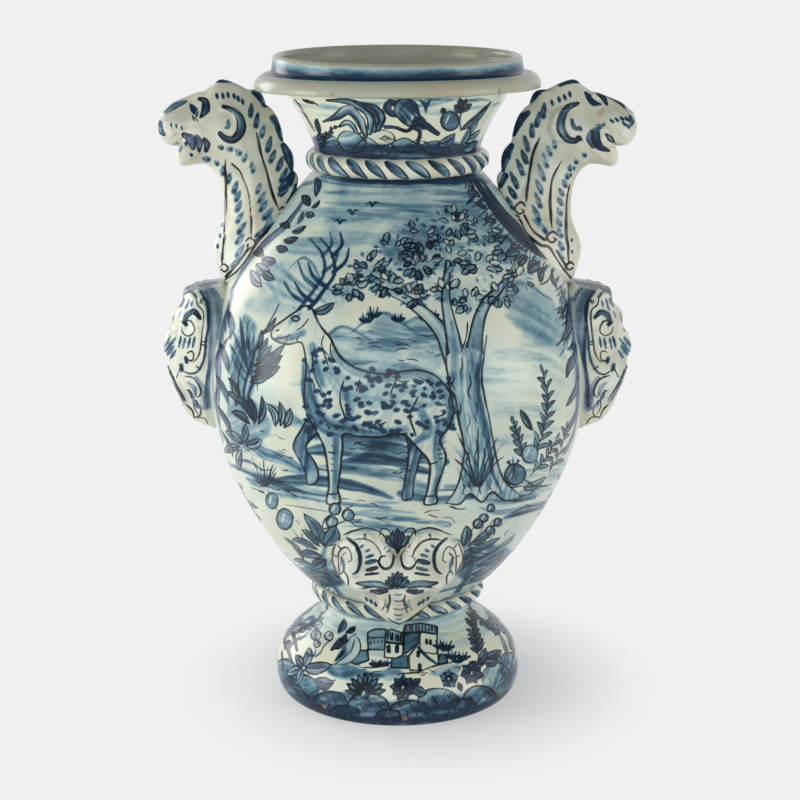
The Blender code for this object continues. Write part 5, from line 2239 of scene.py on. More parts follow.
    def low_plants(self, brush: Brush) -> None:
        """Paint berries, leaves and dark brushwork that close the belly below.

        Args:
            brush: what paints, set to one side of the vase.
        """
        for centre, radius, tall in (
            ((272, 501), 6.2, 1.25), ((285, 519), 8, 1.3), ((335, 509), 6, 0.95), ((348, 515), 6, 0.95),
            ((332, 522), 6, 0.95)
        ):
            brush.berry(centre, radius, 0.46, 0.1, tall)
        brush.line([(276, 508), (280, 512)], 1.2)
        brush.line([(292, 528), (300, 540), (312, 552)], 1.2)
        brush.lines((
            [(320, 540), (324, 522), (332, 514)], [(322, 530), (338, 524), (346, 520)], [(322, 536), (328, 530)]
        ), 1.2)
        for x, y, wide, tall in (
            (455, 556, 26, 26), (482, 566, 30, 24), (330, 572, 26, 22), (306, 574, 20, 16), (500, 556, 16, 16)
        ):
            brush.patch([
                (x - wide, y), (x - wide * 0.5, y - tall * 0.6), (x + wide * 0.5, y - tall * 0.5), (x + wide, y),
                (x + wide * 0.4, y + tall * 0.6), (x - wide * 0.5, y + tall * 0.6)
            ], 0.52, 0.1, soft=5, streak=1.0, lean=0.5)
        brush.leaves((
            ((322, 545), (304, 514), 15, 0.62, 0.2), ((318, 546), (302, 530), 11, 0.66, 0.1),
            ((324, 546), (336, 526), 14, 0.6, 0.1), ((318, 550), (292, 540), 11, 0.56, 0.2),
            ((322, 556), (300, 556), 12, 0.6, 0.1), ((326, 560), (312, 570), 10, 0.7, 0.1),
            ((318, 572), (294, 560), 11, 0.56, 0.25), ((330, 575), (300, 578), 9, 0.72, 0.1),
            ((304, 560), (284, 538), 9, 0.5, 0.3), ((326, 586), (306, 592), 9, 0.74, 0.1),
            ((334, 592), (318, 600), 8, 0.7, 0.1), ((298, 574), (284, 556), 7, 0.5, 0.4),
            ((470, 545), (494, 524), 14, 0.66, 0.15), ((468, 550), (500, 538), 12, 0.58, 0.1),
            ((466, 556), (486, 556), 12, 0.62, 0.1), ((464, 546), (466, 526), 10, 0.7, 0.1),
            ((476, 566), (504, 552), 10, 0.6, 0.1), ((482, 578), (514, 560), 11, 0.56, 0.2),
            ((476, 586), (506, 576), 9, 0.66, 0.1), ((472, 574), (492, 568), 9, 0.72, 0.1),
            ((496, 548), (516, 534), 9, 0.42, 0.3), ((506, 566), (526, 544), 8, 0.46, 0.3),
            ((470, 594), (490, 590), 8, 0.7, 0.1), ((236, 488), (258, 508), 8, 0.4, 0.4),
            ((246, 500), (262, 520), 7, 0.36, 0.45), ((238, 486), (244, 512), 6, 0.4, 0.4)
        ), bend=0.08)
        for x, y, radius in ((484, 518, 4.5), (491, 508, 4), (478, 524, 5), (498, 522, 4), (490, 530, 4.5)):
            brush.berry((x, y), radius, 0.7, 0.1)
        for sign in (-1, 1):
            for reach, tone in ((0.32, 0.8), (0.78, 0.66)):
                tip = (397.5 + sign * 15 * math.sin(reach), 549 - 19 * math.cos(reach))
                brush.leaf((397.5 + sign * 1.5, 549), tip, 5.2, tone, 0.05, sign * 0.12, 1.2, False)
            brush.line([(397.5 + sign * x, y) for x, y in ((5, 536), (10, 529), (16, 529), (18, 536))], 1.2)
            # Dark line on the belly along the low mask's top edge: partly the horns' drawn outline, partly painted
            # shadow cast by the mask's edge.
            brush.line([
                (397.5 + sign * x, y) for x, y in ((11, 540), (15, 534), (20, 531), (32, 528), (44, 531), (54, 535))
            ], 1.6)
        brush.leaf((397.5, 553), (397.5, 528), 6.5, 0.9, 0.05, 0.0, 1.3)
        for knots in (
            [(326, 544), (323, 560), (330, 580), (344, 598), (362, 614), (384, 630), (400, 632)],
            [(469, 544), (472, 560), (465, 580), (451, 598), (434, 612), (414, 628), (400, 632)],
        ):
            brush.stroke(knots, (3, 7, 8, 7, 4), 0.50, 0.1, 2.2, 0.8)
        brush.pen_marks((292, 520, 336, 596), 16, 12, 0.9)
        brush.pen_marks((462, 520, 512, 596), 16, 12, -0.9)
        brush.hatch((300, 584), (330, 604), 8, (8, -10), 1.2)
        brush.hatch((474, 604), (508, 580), 8, (-8, -8), 1.2)
        for start, end in (
            ((440, 592), (500, 572)), ((450, 602), (490, 592)), ((300, 590), (340, 606)), ((292, 580), (326, 592))
        ):
            brush.stroke([start, end], (4, 9, 4), 0.55, 0.1, 2.5, 0.9)

    def handle_leaves(self, brush: Brush) -> None:
        """Paint the leafy band that runs along the foot of each handle.

        Args:
            brush: what paints, set to one side of the vase.
        """
        brush.stroke([
            (472, 176), (488, 198), (506, 222), (528, 243), (552, 258), (574, 286)
        ], (9, 17, 20, 21, 16, 10), 0.90, 0.55, 2.0, 0.7)
        brush.stroke([(482, 180), (504, 212), (532, 238), (566, 266)], (6, 14, 14, 8), 0.85, 0.3, 2.5, 0.6)
        edge = spline([(466, 180), (480, 203), (497, 228), (520, 252), (546, 270), (562, 290)], 4.0)
        chance = np.random.default_rng(77)
        for x, y in edge:
            x, y = x + chance.uniform(-3, 3), y + chance.uniform(-3, 3)
            over, down = chance.uniform(-10, 3), chance.uniform(-1, 9)
            if chance.uniform() < 0.5:
                brush.stroke(
                    [(x + 4, y - 4), (x, y), (x + over, y + down)], (1.2, chance.uniform(1.6, 5), 0.8),
                    chance.uniform(0.4, 0.9), 0.4, 1.4, 0.9
                )
            else:
                brush.line([(x + 2, y - 3), (x + over * 0.3, y + down * 0.6), (x + over, y + down)], 1.1)
        brush.leaves((
            ((474, 190), (464, 178), 7, 0.7), ((480, 198), (470, 190), 7, 0.75), ((486, 208), (474, 204), 6, 0.7),
            ((496, 222), (484, 220), 6, 0.72), ((506, 238), (494, 240), 7, 0.7), ((520, 252), (506, 256), 7, 0.74),
            ((540, 262), (528, 272), 10, 0.85), ((544, 268), (540, 282), 8, 0.8), ((552, 272), (556, 288), 8, 0.8),
            ((528, 256), (518, 266), 7, 0.7)
        ), 0.2, 0.08)
        brush.stroke([(569, 284), (570, 306), (568, 330), (566, 348)], (6, 11, 9, 3), 0.62, 0.3, 2.0, 0.9)
        for _ in range(34):
            x, y = chance.uniform(562, 575), chance.uniform(284, 344)
            over, down = chance.uniform(-7, -1), chance.uniform(5, 15)
            if chance.uniform() < 0.45:
                brush.stroke(
                    [(x, y), (x + over * 0.2, y + down * 0.5), (x + over, y + down)],
                    (1.4, chance.uniform(2, 4.5), 0.8), chance.uniform(0.6, 0.95), 0.15, 1.0, 0.8
                )
            else:
                brush.line([(x, y), (x + over * 0.2, y + down * 0.5), (x + over, y + down)], 1.2)
        brush.stroke([(584, 282), (588, 320), (588, 360), (584, 396)], (8, 9, 9, 5), 0.34, 0.7, 2, 0.9)
        brush.leaves((
            ((316, 196), (316, 178), 8, 0.75, 0.1), ((310, 206), (302, 196), 7, 0.8, 0.2),
            ((312, 208), (320, 200), 6, 0.75, 0.2), ((306, 212), (314, 216), 6, 0.75, 0.2),
            ((298, 224), (302, 212), 7, 0.7, 0.3), ((292, 232), (306, 226), 7, 0.8, 0.3),
            ((284, 240), (298, 238), 7, 0.8, 0.3), ((276, 246), (288, 250), 7, 0.75, 0.4),
            ((290, 228), (280, 224), 6, 0.6, 0.4), ((262, 258), (276, 262), 9, 0.5, 0.8),
            ((256, 264), (270, 274), 10, 0.42, 0.8), ((250, 270), (262, 286), 9, 0.38, 0.8),
            ((264, 256), (252, 250), 8, 0.5, 0.8), ((262, 270), (274, 280), 7, 0.5, 0.7)
        ), bend=0.08, outline=1.2)
        for base, tip, width, tone in (
            ((236, 280), (232, 302), 10, 0.26), ((230, 304), (226, 334), 11, 0.30),
            ((221, 346), (216, 374), 11, 0.24), ((229, 336), (224, 354), 7, 0.34), ((218, 388), (216, 412), 9, 0.24)
        ):
            brush.leaf(base, tip, width, tone, 0.9, 0.08, 0)
            brush.line([base, (base[0] - 5, (base[1] + tip[1]) / 2), tip], 0.8)
        brush.stroke([
            (304, 200), (287, 224), (264, 243), (248, 262), (234, 286)
        ], (6, 11, 14, 13, 7), 0.52, 0.7, 2.5, 0.9)
        brush.stroke([(222, 284), (216, 330), (213, 380), (218, 420)], (6, 8, 8, 5), 0.26, 0.85, 2.5, 0.9)

    def side_leaves(self, brush: Brush) -> None:
        """Paint violet leaves beside and under the handles, where sides meet.

        Args:
            brush: what paints, set to one side of the vase.
        """
        for side in (-90.0, 90.0):
            for sign in (-1, 1):
                brush.stroke([
                    (side + sign * 20, 402), (side + sign * 24, 340), (side + sign * 20, 268)
                ], (10, 14, 8), 0.4, 0.7, 4, 0.9)
                for height, out, tone in (
                    (392, 30, 0.62), (362, 32, 0.58), (332, 32, 0.6), (302, 31, 0.62), (278, 27, 0.6)
                ):
                    brush.leaf((side + sign * 22, height), (side + sign * out, height - 22), 10, tone, 0.5, 0.1)
                brush.spray([
                    (side + sign * 6, 150), (side + sign * 14, 190), (side + sign * 16, 232)
                ], 9, 17, 8, 0.62, 0.3, vein=True)
            brush.spray([(side, 140), (side + 2, 190), (side - 2, 244)], 12, 20, 9, 0.66, 0.2, vein=True)
            for height in (136, 150):
                brush.stroke([
                    (side - 26, height), (side, height - 4), (side + 26, height)
                ], (5, 9, 5), 0.5, 0.1, 3, 0.9)


@dataclass
class Neck:
    """Trumpet neck, painted with birds and plants over dark ground."""

    front: int = 300
    back: int = 170
    row: float = 0.0010
    inner_row: float = 0.0040

    def build(self, glaze: bpy.types.Material) -> list[bpy.types.Object]:
        """Build the painted neck as one closed ring.

        Args:
            glaze: its finish.

        Returns:
            the one piece.
        """
        outside = even_steps(STOCK.neck_outline(), self.row)
        inside = even_steps(moved_in(STOCK.neck_outline(), STOCK.neck_wall), self.inner_row)[::-1]
        outline = np.vstack((outside, inside))
        canvas = turned_canvas(outline, azimuth_steps(self.front, self.back, True), len(outside))
        self.paint(canvas)
        piece = closed_ring("painted_neck", canvas.points, painted(canvas), canvas.bare)
        piece.data.materials.append(glaze)
        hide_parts("neck")
        return [piece]

    def paint(self, canvas: Canvas) -> None:
        """Paint the neck: dark ground, long leaves, a wading bird and buds.

        Args:
            canvas: the skin to paint.
        """
        ring = Brush(canvas, seed=1500, chart=canvas.by_height)
        for height, width, tone, soft in (
            (533, 6, 0.55, 3), (537, 9, 0.5, 5), (543, 9, 0.28, 6), (578, 4, 0.24, 3)
        ):
            ring.band(height, width, tone, 0.1, soft, 0.9)
        for turn, flip in ((0.0, False), (math.pi, True), (math.pi / 2, False), (-math.pi / 2, True)):
            brush = Brush(canvas, turn=turn, flip=flip, seed=1600 + int(turn * 9))
            if abs(turn) != math.pi / 2:
                self.ground(brush)
                self.plants(brush)
                self.birds(brush)
            else:
                brush.spray([(397, 150), (390, 130), (399, 104)], 11, 17, 8, 0.8, 0.2)
                brush.patch([(375, 150), (380, 136), (397, 132), (415, 137), (420, 150)], 0.5, 0.1, 1.2, 3, 0.9)

    def ground(self, brush: Brush) -> None:
        """Paint the sky's streaks and the clouded ground.

        Args:
            brush: what paints, set to one side of the vase.
        """
        brush.streaks((352, 99, 425, 107), 7, 0.34, 0.0, 0.02, 50, 3.5, 2)
        brush.streaks((425, 98, 492, 104), 7, 0.40, 0.1, -0.03, 50, 3.5, 2)
        brush.streaks((316, 104, 350, 116), 4, 0.20, 0.0, 0, 30, 4, 3)
        brush.streaks((400, 108, 470, 116), 4, 0.16, 0.0, 0, 50, 4, 3)
        brush.streaks((310, 145, 486, 157), 34, 0.60, 0.15, 0.0, 46, 6, 3)
        for knots, tone, hue in (
            ([(340, 146), (338, 137), (346, 131), (357, 134), (366, 140), (362, 150), (348, 152)], 0.34, 0.15),
            ([(360, 134), (376, 130), (390, 132), (395, 139), (390, 144), (372, 146)], 0.10, 0.0),
            ([(314, 138), (326, 134), (338, 140), (342, 152), (326, 154), (314, 150)], 0.66, 0.1),
            ([(352, 150), (366, 138), (380, 146), (390, 154), (370, 157), (354, 156)], 0.28, 0.5),
            ([(392, 144), (404, 138), (414, 142), (420, 150), (400, 152)], 0.26, 0.05),
            ([(422, 146), (434, 141), (446, 144), (448, 154), (430, 154)], 0.38, 0.1),
        ):
            brush.patch(knots, tone, hue, 1.0, 3, 0.9, 0.3)
        brush.hatch((382, 138), (390, 141), 4, (4, -2.5), 1.0)
        brush.pen_marks((318, 136, 476, 154), 34, 9, 0.5)

    def plants(self, brush: Brush) -> None:
        """Paint the long leaves, the bush and the buds.

        Args:
            brush: what paints, set to one side of the vase.
        """
        for knots, widths, tone, hue in (
            ([(357, 133), (351, 124), (345, 123), (339, 127)], (3, 6, 5, 1), 0.66, 0.2),
            ([(365, 134), (359, 119), (348, 110), (337, 117), (323, 122)], (4, 9, 9, 6, 0.6), 0.50, 0.3),
            ([(369, 133), (371, 119), (362, 107), (345, 101), (326, 100)], (4, 8, 7, 4, 0.6), 0.66, 0.1),
            ([(374, 131), (377, 118), (368, 108), (354, 102)], (4, 8, 7, 1), 0.56, 0.2),
            ([(378, 130), (381, 117), (376, 109), (362, 104)], (3, 7, 6, 1), 0.70, 0.1)
        ):
            brush.stroke(knots, widths, tone, hue, outline=1.1, shape=True, streak=0.9)
        brush.lines((
            [(369, 130), (366, 116), (354, 108)], [(375, 128), (374, 116), (364, 108)],
            [(362, 130), (356, 118), (346, 114)]
        ), 1.1)
        brush.hatch((294, 99), (310, 126), 9, (6, 5), 1.9)
        brush.hatch((302, 99), (312, 101), 4, (6, 4), 1.7)
        brush.leaf((319, 134), (317, 119), 8, 0.9, 0.2)
        brush.spray([(324, 142), (328, 134), (334, 128)], 6, 6, 3.4, 0.85, 0.2)
        brush.tuft((318, 148), 15, 9, 1.8, 0.85, 0.15, outline=1.2)
        brush.berry((450, 121), 9, 0.66, 0.1, 1.1)
        brush.leaf((444, 114), (442, 108), 4, 0.95)
        brush.leaf((438, 145), (455, 134), 12, 0.72, 0.35, 0.1)
        brush.stroke([(461, 130), (460, 120), (462, 111)], (2.0,), 0.6, 0.1)
        for tip, width in (((454, 105), 6), ((460, 99), 6), ((472, 104), 7), ((466, 99), 5)):
            brush.leaf((463, 112), tip, width, 0.72, 0.2)
        brush.leaf((461, 130), (491, 102), 11, 0.78, 0.1, 0.05)
        brush.leaf((481, 113), (490, 104), 4, 0.9)
        for base, tip, width, tone in (
            ((464, 136), (478, 118), 9, 0.46), ((464, 142), (480, 130), 10, 0.5), ((460, 146), (470, 128), 9, 0.55),
            ((462, 150), (478, 142), 9, 0.6)
        ):
            brush.leaf(base, tip, width, tone, 0.0, 0.08)

    def birds(self, brush: Brush) -> None:
        """Paint a wading bird and a small one in flight.

        Args:
            brush: what paints, set to one side of the vase.
        """
        brush.stroke([
            (398, 104), (391, 103), (387, 108), (391, 114), (396, 116)
        ], (3, 6, 6, 5, 2), 0.8, 0.15, outline=1.3, shape=True)
        brush.patch([
            (397, 101), (408, 99), (417, 105), (419, 114), (425, 122), (412, 127), (401, 121), (395, 112)
        ], 0.52, 0.1, 1.2, streak=1.0, lean=0.8, shape=True)
        for knots in (
            [(401, 103), (410, 110), (418, 120)], [(400, 108), (407, 116), (414, 124)],
            [(408, 101), (415, 110), (421, 119)], [(399, 113), (404, 119)]
        ):
            brush.stroke(knots, (1.4, 2.4, 1.2), 0.95, 0.1, 0.8, 0.6)
        for knots, widths in (([
            (416, 119), (427, 126), (438, 134)
        ], (4, 4.5, 3)), ([(414, 122), (424, 129)], (3, 3, 2))):
            brush.stroke(knots, widths, 0.85, 0.15, 0.8, 0.5, 1.2, True)
        brush.stroke(
            [(413, 127), (407, 131), (396, 128), (386, 127)], (2.6, 2.4, 2.2, 3.4), 0.6, 0.1, outline=1.1,
            shape=True
        )
        brush.stroke(
            [(413, 127), (420, 132), (418, 143), (421, 149)], (3, 2.4, 2.4, 3), 0.85, 0.1, outline=1.1, shape=True
        )
        for tip in ((420, 99), (431, 99), (426, 113)):
            brush.stroke([(426, 106), tip], (3.6, 2.6, 0.8), 0.95)


@dataclass
class Rim:
    """Sloping flange and upright lip, a little out of true as thrown."""

    front: int = 360
    back: int = 240
    warp: float = 0.0056
    lean: float = 0.0012
    lip_chips: tuple = ((0.10, 0.040, 0.004, 0.5), (-2.95, 0.072, 0.005, 0.7), (1.9, 0.072, 0.003, 0.6))
    band_tones: tuple = (
        (0.020, 0.9), (0.0235, 1.1), (0.0275, 1.05), (0.0295, 0.72), (0.0325, 0.52), (0.0350, 0.34), (0.0375, 0.05)
    )
    slope_tones: tuple = ((0.1195, 0.95), (0.1225, 0.50), (0.1250, 0.22), (0.1285, 0.04))
    # Wash inside the throat by height, deeper further down: painted shade inside the lip.
    throat_shade_tones: tuple = ((0.0, 0.12), (0.020, 0.09), (0.0345, 0.05), (0.0385, 0.02))
    bare_tone: float = 0.02
    band_edge: float = 0.004
    slope_rise: float = 0.0105
    wear: float = 0.60
    throat_rows: int = 6

    def build(self, glaze: bpy.types.Material) -> list[bpy.types.Object]:
        """Build the painted rim as one closed ring.

        Args:
            glaze: its finish.

        Returns:
            the one piece.
        """
        outside, inside = STOCK.rim_outline(), STOCK.rim_inside()
        outline = np.vstack((outside, inside))
        azimuths = azimuth_steps(self.front, self.back, True)
        canvas = turned_canvas(outline, azimuths, len(outside) + self.throat_rows)
        self.bend(canvas, outline)
        self.paint(canvas, len(outside))
        piece = closed_ring("painted_rim", canvas.points, painted(canvas), canvas.bare)
        piece.data.materials.append(glaze)
        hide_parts("rim")
        return [piece]

    def bend(self, canvas: Canvas, outline: Array) -> None:
        """Lift the flange's front and right and let its back down, more towards its edge.

        The lift is (warp * (1 + 3 cos(azimuth)) / 4 + lean * sin(azimuth)) * how far
        out on the flange the point is.

        Args:
            canvas: the rim's skin.
            outline: radius and height of its rows.
        """
        out = smooth(outline[:, 0], STOCK.neck_top + 0.004, STOCK.flange)
        top = smooth(outline[:, 1], STOCK.top, STOCK.top - 0.012)
        lift = self.warp * (1 + 3 * np.cos(canvas.across)) / 4 + self.lean * np.sin(canvas.across)
        lift = lift[None] * (out * top)[:, None]
        canvas.points[..., 2] += lift
        canvas.right, canvas.down = VIEW.project(canvas.points)

    def paint(self, canvas: Canvas, outer: int) -> None:
        """Paint the rim: a blue band on the lip, near-black at its foot.

        Each row's tone is read off its height on the lip and in the throat or its
        radius on the flange's slope, and wanders with the azimuth as a brush's
        load does. In the throat the wash deepens downwards, as painted shade.

        Args:
            canvas: the rim's skin.
            outer: how many of its rows are the outside.
        """
        radius = np.linalg.norm(canvas.points[:, 0, :2], axis=1)
        up = canvas.points[:, 0, 2] - STOCK.neck_top_height
        rows, turns = np.arange(len(up)), canvas.across[None] / TAU
        outside, base = rows < outer, STOCK.lip_base_rise
        band, slope, throat = (
            np.interp(places, *np.transpose(tones))
            for places, tones in ((up, self.band_tones), (radius, self.slope_tones), (up, self.throat_shade_tones))
        )
        kinds = (
            (outside & (up > base - self.band_edge) & (radius > STOCK.lip - STOCK.lip_thickness / 2), band),
            (outside & (up > base + self.band_edge), self.bare_tone), (outside & (up > self.slope_rise), slope),
            (~outside, throat)
        )
        tone = np.select(*zip(*kinds), self.bare_tone)[:, None]
        load = 1 + 0.22 * ripple(1801, turns * 64 + rows[:, None] * 0.35)
        load = load + 0.10 * ripple(1802, turns * 192 - rows[:, None] * 0.5)
        canvas.lay(EVERYWHERE, tone * load, 0.05)
        worn = (smooth(radius, STOCK.flange - 0.0022, STOCK.flange - 0.0002) * outside)[:, None]
        canvas.bare += self.wear * worn * smooth(ripple(1803, turns * 128), 0.55, 0.95)
        canvas.bare += chips(canvas, self.lip_chips, 5)


@dataclass
class RopeRing:
    """Rope ring of twisted strands with a painted leaf on each.

    Its section runs from -wrap to wrap radians round the rope, 0 facing out. A
    leaf reaches leaf_wrap radians to each side of that.
    """

    name: str
    node: str
    height: float
    radius: float
    thickness: float
    strands: int
    groove: float = 0.0008
    twist: float = 2.7
    lean: float = 2.7
    leaf_width: float = 0.0118
    leaf_wrap: float = 1.15
    outline: float = 0.00084
    wrap: float = 2.2
    around: int = 600
    rows: int = 40

    def build(self, glaze: bpy.types.Material) -> list[bpy.types.Object]:
        """Build the ring: its section's radius falls in a groove between strands.

        Args:
            glaze: its finish.

        Returns:
            the one piece.
        """
        half = self.thickness / 2 - 0.0001
        turns = np.linspace(-self.wrap, self.wrap, self.rows)
        azimuths = np.linspace(-math.pi, math.pi, self.around, endpoint=False)
        strand = np.cos(self.strands * azimuths[None] + self.twist * turns[:, None])
        fade = np.clip(np.cos(turns / 1.5), 0, 1)[:, None]
        section = half - self.groove * fade * (1 - strand) / 2
        out = self.radius + section * np.cos(turns)[:, None]
        up = self.height + section * np.sin(turns)[:, None]
        points = np.stack((out * np.sin(azimuths), -out * np.cos(azimuths), up + 0 * out), axis=-1)
        reach = np.full(self.rows, self.radius + half)
        canvas = Canvas(points, turns * half, azimuths, reach)
        self.paint(canvas, half)
        piece = closed_ring(self.name, canvas.points, painted(canvas), canvas.bare)
        piece.data.materials.append(glaze)
        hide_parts(self.node)
        return [piece]

    def paint(self, canvas: Canvas, half: float) -> None:
        """Paint a leaning leaf on each strand.

        A leaf lies where the strand's phase is a whole number: its distance is
        the phase's remainder times the strand's width, its half width falls
        from the top to the bottom of the ring.

        Args:
            canvas: the ring's skin.
            half: half the rope's thickness.
        """
        azimuths, turns = canvas.across[None], (canvas.along / half)[:, None]
        phase = (
            self.strands * azimuths + self.lean * turns
        ) / TAU + 0.12 * ripple(self.strands, azimuths * 24 / TAU, 24)
        strand = TAU / self.strands * self.radius
        off = (phase - np.round(phase)) * strand
        share = np.clip((turns + self.leaf_wrap) / (2 * self.leaf_wrap), 0, 1)
        width = self.leaf_width / 2 * np.sin(math.pi * share) ** 0.6 * (0.62 + 0.42 * share)
        edge = np.abs(off) - width
        inside = soft_mask(edge, 0.0009) * (np.abs(turns) < self.leaf_wrap)
        shade = 0.64 + 0.30 * np.clip(-off / np.maximum(width, 1e-4), -1, 1)
        shade = shade + 0.2 * ripple(self.strands + 1, phase * 3 + turns * 2, 3 * self.strands)
        canvas.lay(EVERYWHERE, inside * shade, 0.15)
        drawn = np.abs(turns) < self.leaf_wrap - 0.03
        canvas.draw(EVERYWHERE, np.where(drawn, np.abs(edge) - self.outline, INK_REACH))
        border = 0.62 * smooth(-turns, 1.2, 1.7) + 0.50 * smooth(turns, 1.25, 1.7)
        canvas.lay(EVERYWHERE, border * (1 - smooth(np.abs(turns), 1.75, 2.0)), 0.1)


# Throat side and mane side, out from and up from the flange's edge, and half the width, in metres.
HANDLE_STATIONS = (
    (0.0410, -0.1495, -0.0355, -0.0769, 0.0250),
    (0.0310, -0.1195, -0.0266, -0.0498, 0.0210),
    (0.0330, -0.0875, -0.0109, -0.0158, 0.0195),
    (0.0460, -0.0710, 0.0060, -0.0017, 0.0215),
    (0.0690, -0.0723, 0.0283, 0.0075, 0.0225),
    (0.0732, -0.0605, 0.0390, 0.0020, 0.0205),
    (0.0650, -0.0545, 0.0470, -0.0033, 0.0200),
    (0.0815, -0.0523, 0.0600, -0.0089, 0.0185),
    (0.0885, -0.0435, 0.0750, -0.0150, 0.0150),
    (0.0898, -0.0355, 0.0855, -0.0215, 0.0095),
)


@dataclass
class Handle:
    """Long beast's neck that bends outwards into a head, with a scalloped mane.

    Each station places the throat side and the mane side from the flange's edge
    and gives half the width across; a Catmull-Rom curve runs through them and is
    read at samples places. The mane is scalloped between the stations in
    scallops. Across, a section is rounder or squarer by its two powers.
    """

    name: str
    node: str
    side: Side
    bury: float = 0.0040
    tip_out: float = 0.0060
    root_in: float = 0.0010
    tip_drop: float = 0.1800
    root_drop: float = 0.0960
    root_width: float = 0.0560
    scallop: float = 0.0042
    crest_share: float = 0.5
    flare: float = 0.42
    flare_reach: float = 0.024
    scallops: Point = (1, 5)
    powers: Point = (0.9, 0.8)
    samples: int = 1500
    rows: int = 310
    sides: int = 180

    def stations(self) -> Array:
        """Stations from the buried root to the nose.

        Returns:
            one station a row.
        """
        flange = STOCK.neck_top_height + STOCK.flange_rise
        edge = np.array((STOCK.flange, flange, STOCK.flange, flange, 0.0))
        tip, root, half = flange - self.tip_drop, flange - self.root_drop, self.root_width / 2
        belly = STOCK.upper_belly()
        tip_radius, root_radius = np.interp((tip, root), belly[:, 1], belly[:, 0])
        on_belly = (tip_radius + self.tip_out, tip, root_radius - self.root_in, root, half)
        bury = self.bury
        buried = (tip_radius - bury, tip - bury / 2, root_radius - bury, root - bury, half)
        return np.array([buried, on_belly] + [edge + np.array(row) for row in HANDLE_STATIONS])

    def skin(self) -> tuple[Array, Array]:
        """Work out the grid of the neck and head.

        The root is wider by flare * exp(-(length / flare_reach) ** 2) and is let
        down by radius - sqrt(radius ** 2 - across ** 2), so that it hugs the belly.

        Returns:
            the points, rows by sides by 3, on the left of the vase, and the
            length along the middle.
        """
        stations = self.stations()
        knots = extended(stations)
        places = np.linspace(0, len(stations) - 1, self.samples)
        index = np.minimum(places.astype(int), len(stations) - 2)
        curve = catmull_rom(*(knots[index + k] for k in range(4)), (places - index)[:, None])
        start, stop = self.scallops
        crest = np.where((places >= start) & (places <= stop), self.scallop * np.abs(np.sin(math.pi * places)), 0.0)
        throat, mane, half_width = curve[:, 0:2], curve[:, 2:4], curve[:, 4]
        along = throat - mane
        along /= np.linalg.norm(along, axis=1)[:, None]
        mane = mane - crest[:, None] * along
        steps = np.linalg.norm(np.diff(throat, axis=0), axis=1) + np.linalg.norm(np.diff(mane, axis=0), axis=1)
        lengths = np.r_[0, np.cumsum(steps) / 2]
        even = np.linspace(0, lengths[-1], self.rows)
        throat, mane = (read_off(edge, lengths, even) for edge in (throat, mane))
        half_width = np.interp(even, lengths, half_width)
        turns = np.linspace(-math.pi, math.pi, self.sides, endpoint=False)
        reach, spread = (
            np.sign(wave) * np.abs(wave) ** power for wave,
            power in zip((np.cos(turns), np.sin(turns)), self.powers)
        )
        spread = spread * np.where(reach < 0, 1 + self.crest_share * reach, 1.0)
        middle, half = (throat + mane) / 2, (throat - mane) / 2
        plane = middle[:, None] + reach[None, :, None] * half[:, None]
        foot = np.exp(-(even / self.flare_reach) ** 2)[:, None]
        across = half_width[:, None] * spread[None] * (1 + self.flare * foot)
        out = plane[..., 0] - foot * (plane[..., 0] - np.sqrt(plane[..., 0] ** 2 - across ** 2))
        return np.stack((-out, -across, plane[..., 1]), axis=-1), even

    def build(self, glaze: bpy.types.Material) -> list[bpy.types.Object]:
        """Build the handle as a closed skin.

        Args:
            glaze: its finish.

        Returns:
            the one piece.
        """
        points, even = self.skin()
        points = points * (-self.side, 1, 1)
        turns = np.linspace(-math.pi, math.pi, self.sides, endpoint=False)
        girth = np.linalg.norm(np.diff(points, axis=1, append=points[:, :1]), axis=-1).sum(axis=1)
        mirrored = self.side is Side.RIGHT
        canvas = Canvas(points, even, turns, girth / TAU, mirrored, True)
        canvas.seen[:, turns < 0] = False
        columns = np.arange(self.sides)
        columns = np.where(turns < 0, (self.sides - columns) % self.sides, columns)
        self.carve(canvas)
        canvas.fold(columns)
        canvas.raise_clay()
        self.paint(canvas)
        canvas.fold(columns)
        rows, sides = points.shape[:2]
        points, paint = canvas.points.reshape(-1, 3), painted(canvas).reshape(-1, 3)
        quads = grid_quads(rows, sides, wrap_columns=True)
        ends = [np.arange(sides)[::-1][None], (np.arange(sides) + (rows - 1) * sides)[None]]
        faces = [group[:, ::-1] if mirrored else group for group in (quads, *ends)]
        piece = make_piece(self.name, points, faces, {"paint": paint, "bare": canvas.bare.ravel()})
        piece.data.materials.append(glaze)
        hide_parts(self.node)
        return [piece]

    def carve(self, canvas: Canvas) -> None:
        """Raise brow, cheek, ear and lips and sink the eye and the mouth.

        Args:
            canvas: the handle's skin.
        """
        brush = Brush(canvas, flip=self.side is Side.RIGHT)
        brush.lift([(162, 118), (176, 104), (196, 96), (207, 98)], 7, 1.6, 0.8)
        brush.lift([(222, 108), (236, 113), (242, 127), (237, 138), (226, 139), (220, 134)], 8, 2.0, 0.7)
        brush.lift([(168, 133), (180, 133), (192, 130), (204, 132)], 9, 1.5, 1.0)
        brush.lift([(186, 158), (196, 153), (204, 146)], 8, 1.2, 1.0)
        brush.lift([(174, 146), (184, 145), (192, 146)], 5, -2.6, 0.7)
        brush.lift([(193, 106), (197, 113)], 8, -1.4, 1.0)
        brush.lift([(160, 124), (162, 132)], 5, -1.4, 0.9)
        for knots in (
            [(256, 132), (265, 165), (272, 190), (278, 206)], [(232, 163), (246, 185), (251, 205), (251, 238)],
            [(225, 235), (222, 262)]
        ):
            brush.lift(knots, 4, -0.9, 0.8)

    def paint(self, canvas: Canvas) -> None:
        """Paint the beast, each of the two in its own way.

        Args:
            canvas: the skin to paint.
        """
        brush = Brush(canvas, seed=2000 + 100 * self.side)
        (self.paint_left if self.side is Side.LEFT else self.paint_right)(brush)
        canvas.bare += chips(
            canvas, ((0.0, canvas.along[-1], 0.004, 0.5), (0.4, canvas.along[-1] - 0.02, 0.003, 0.45)), 11
        )

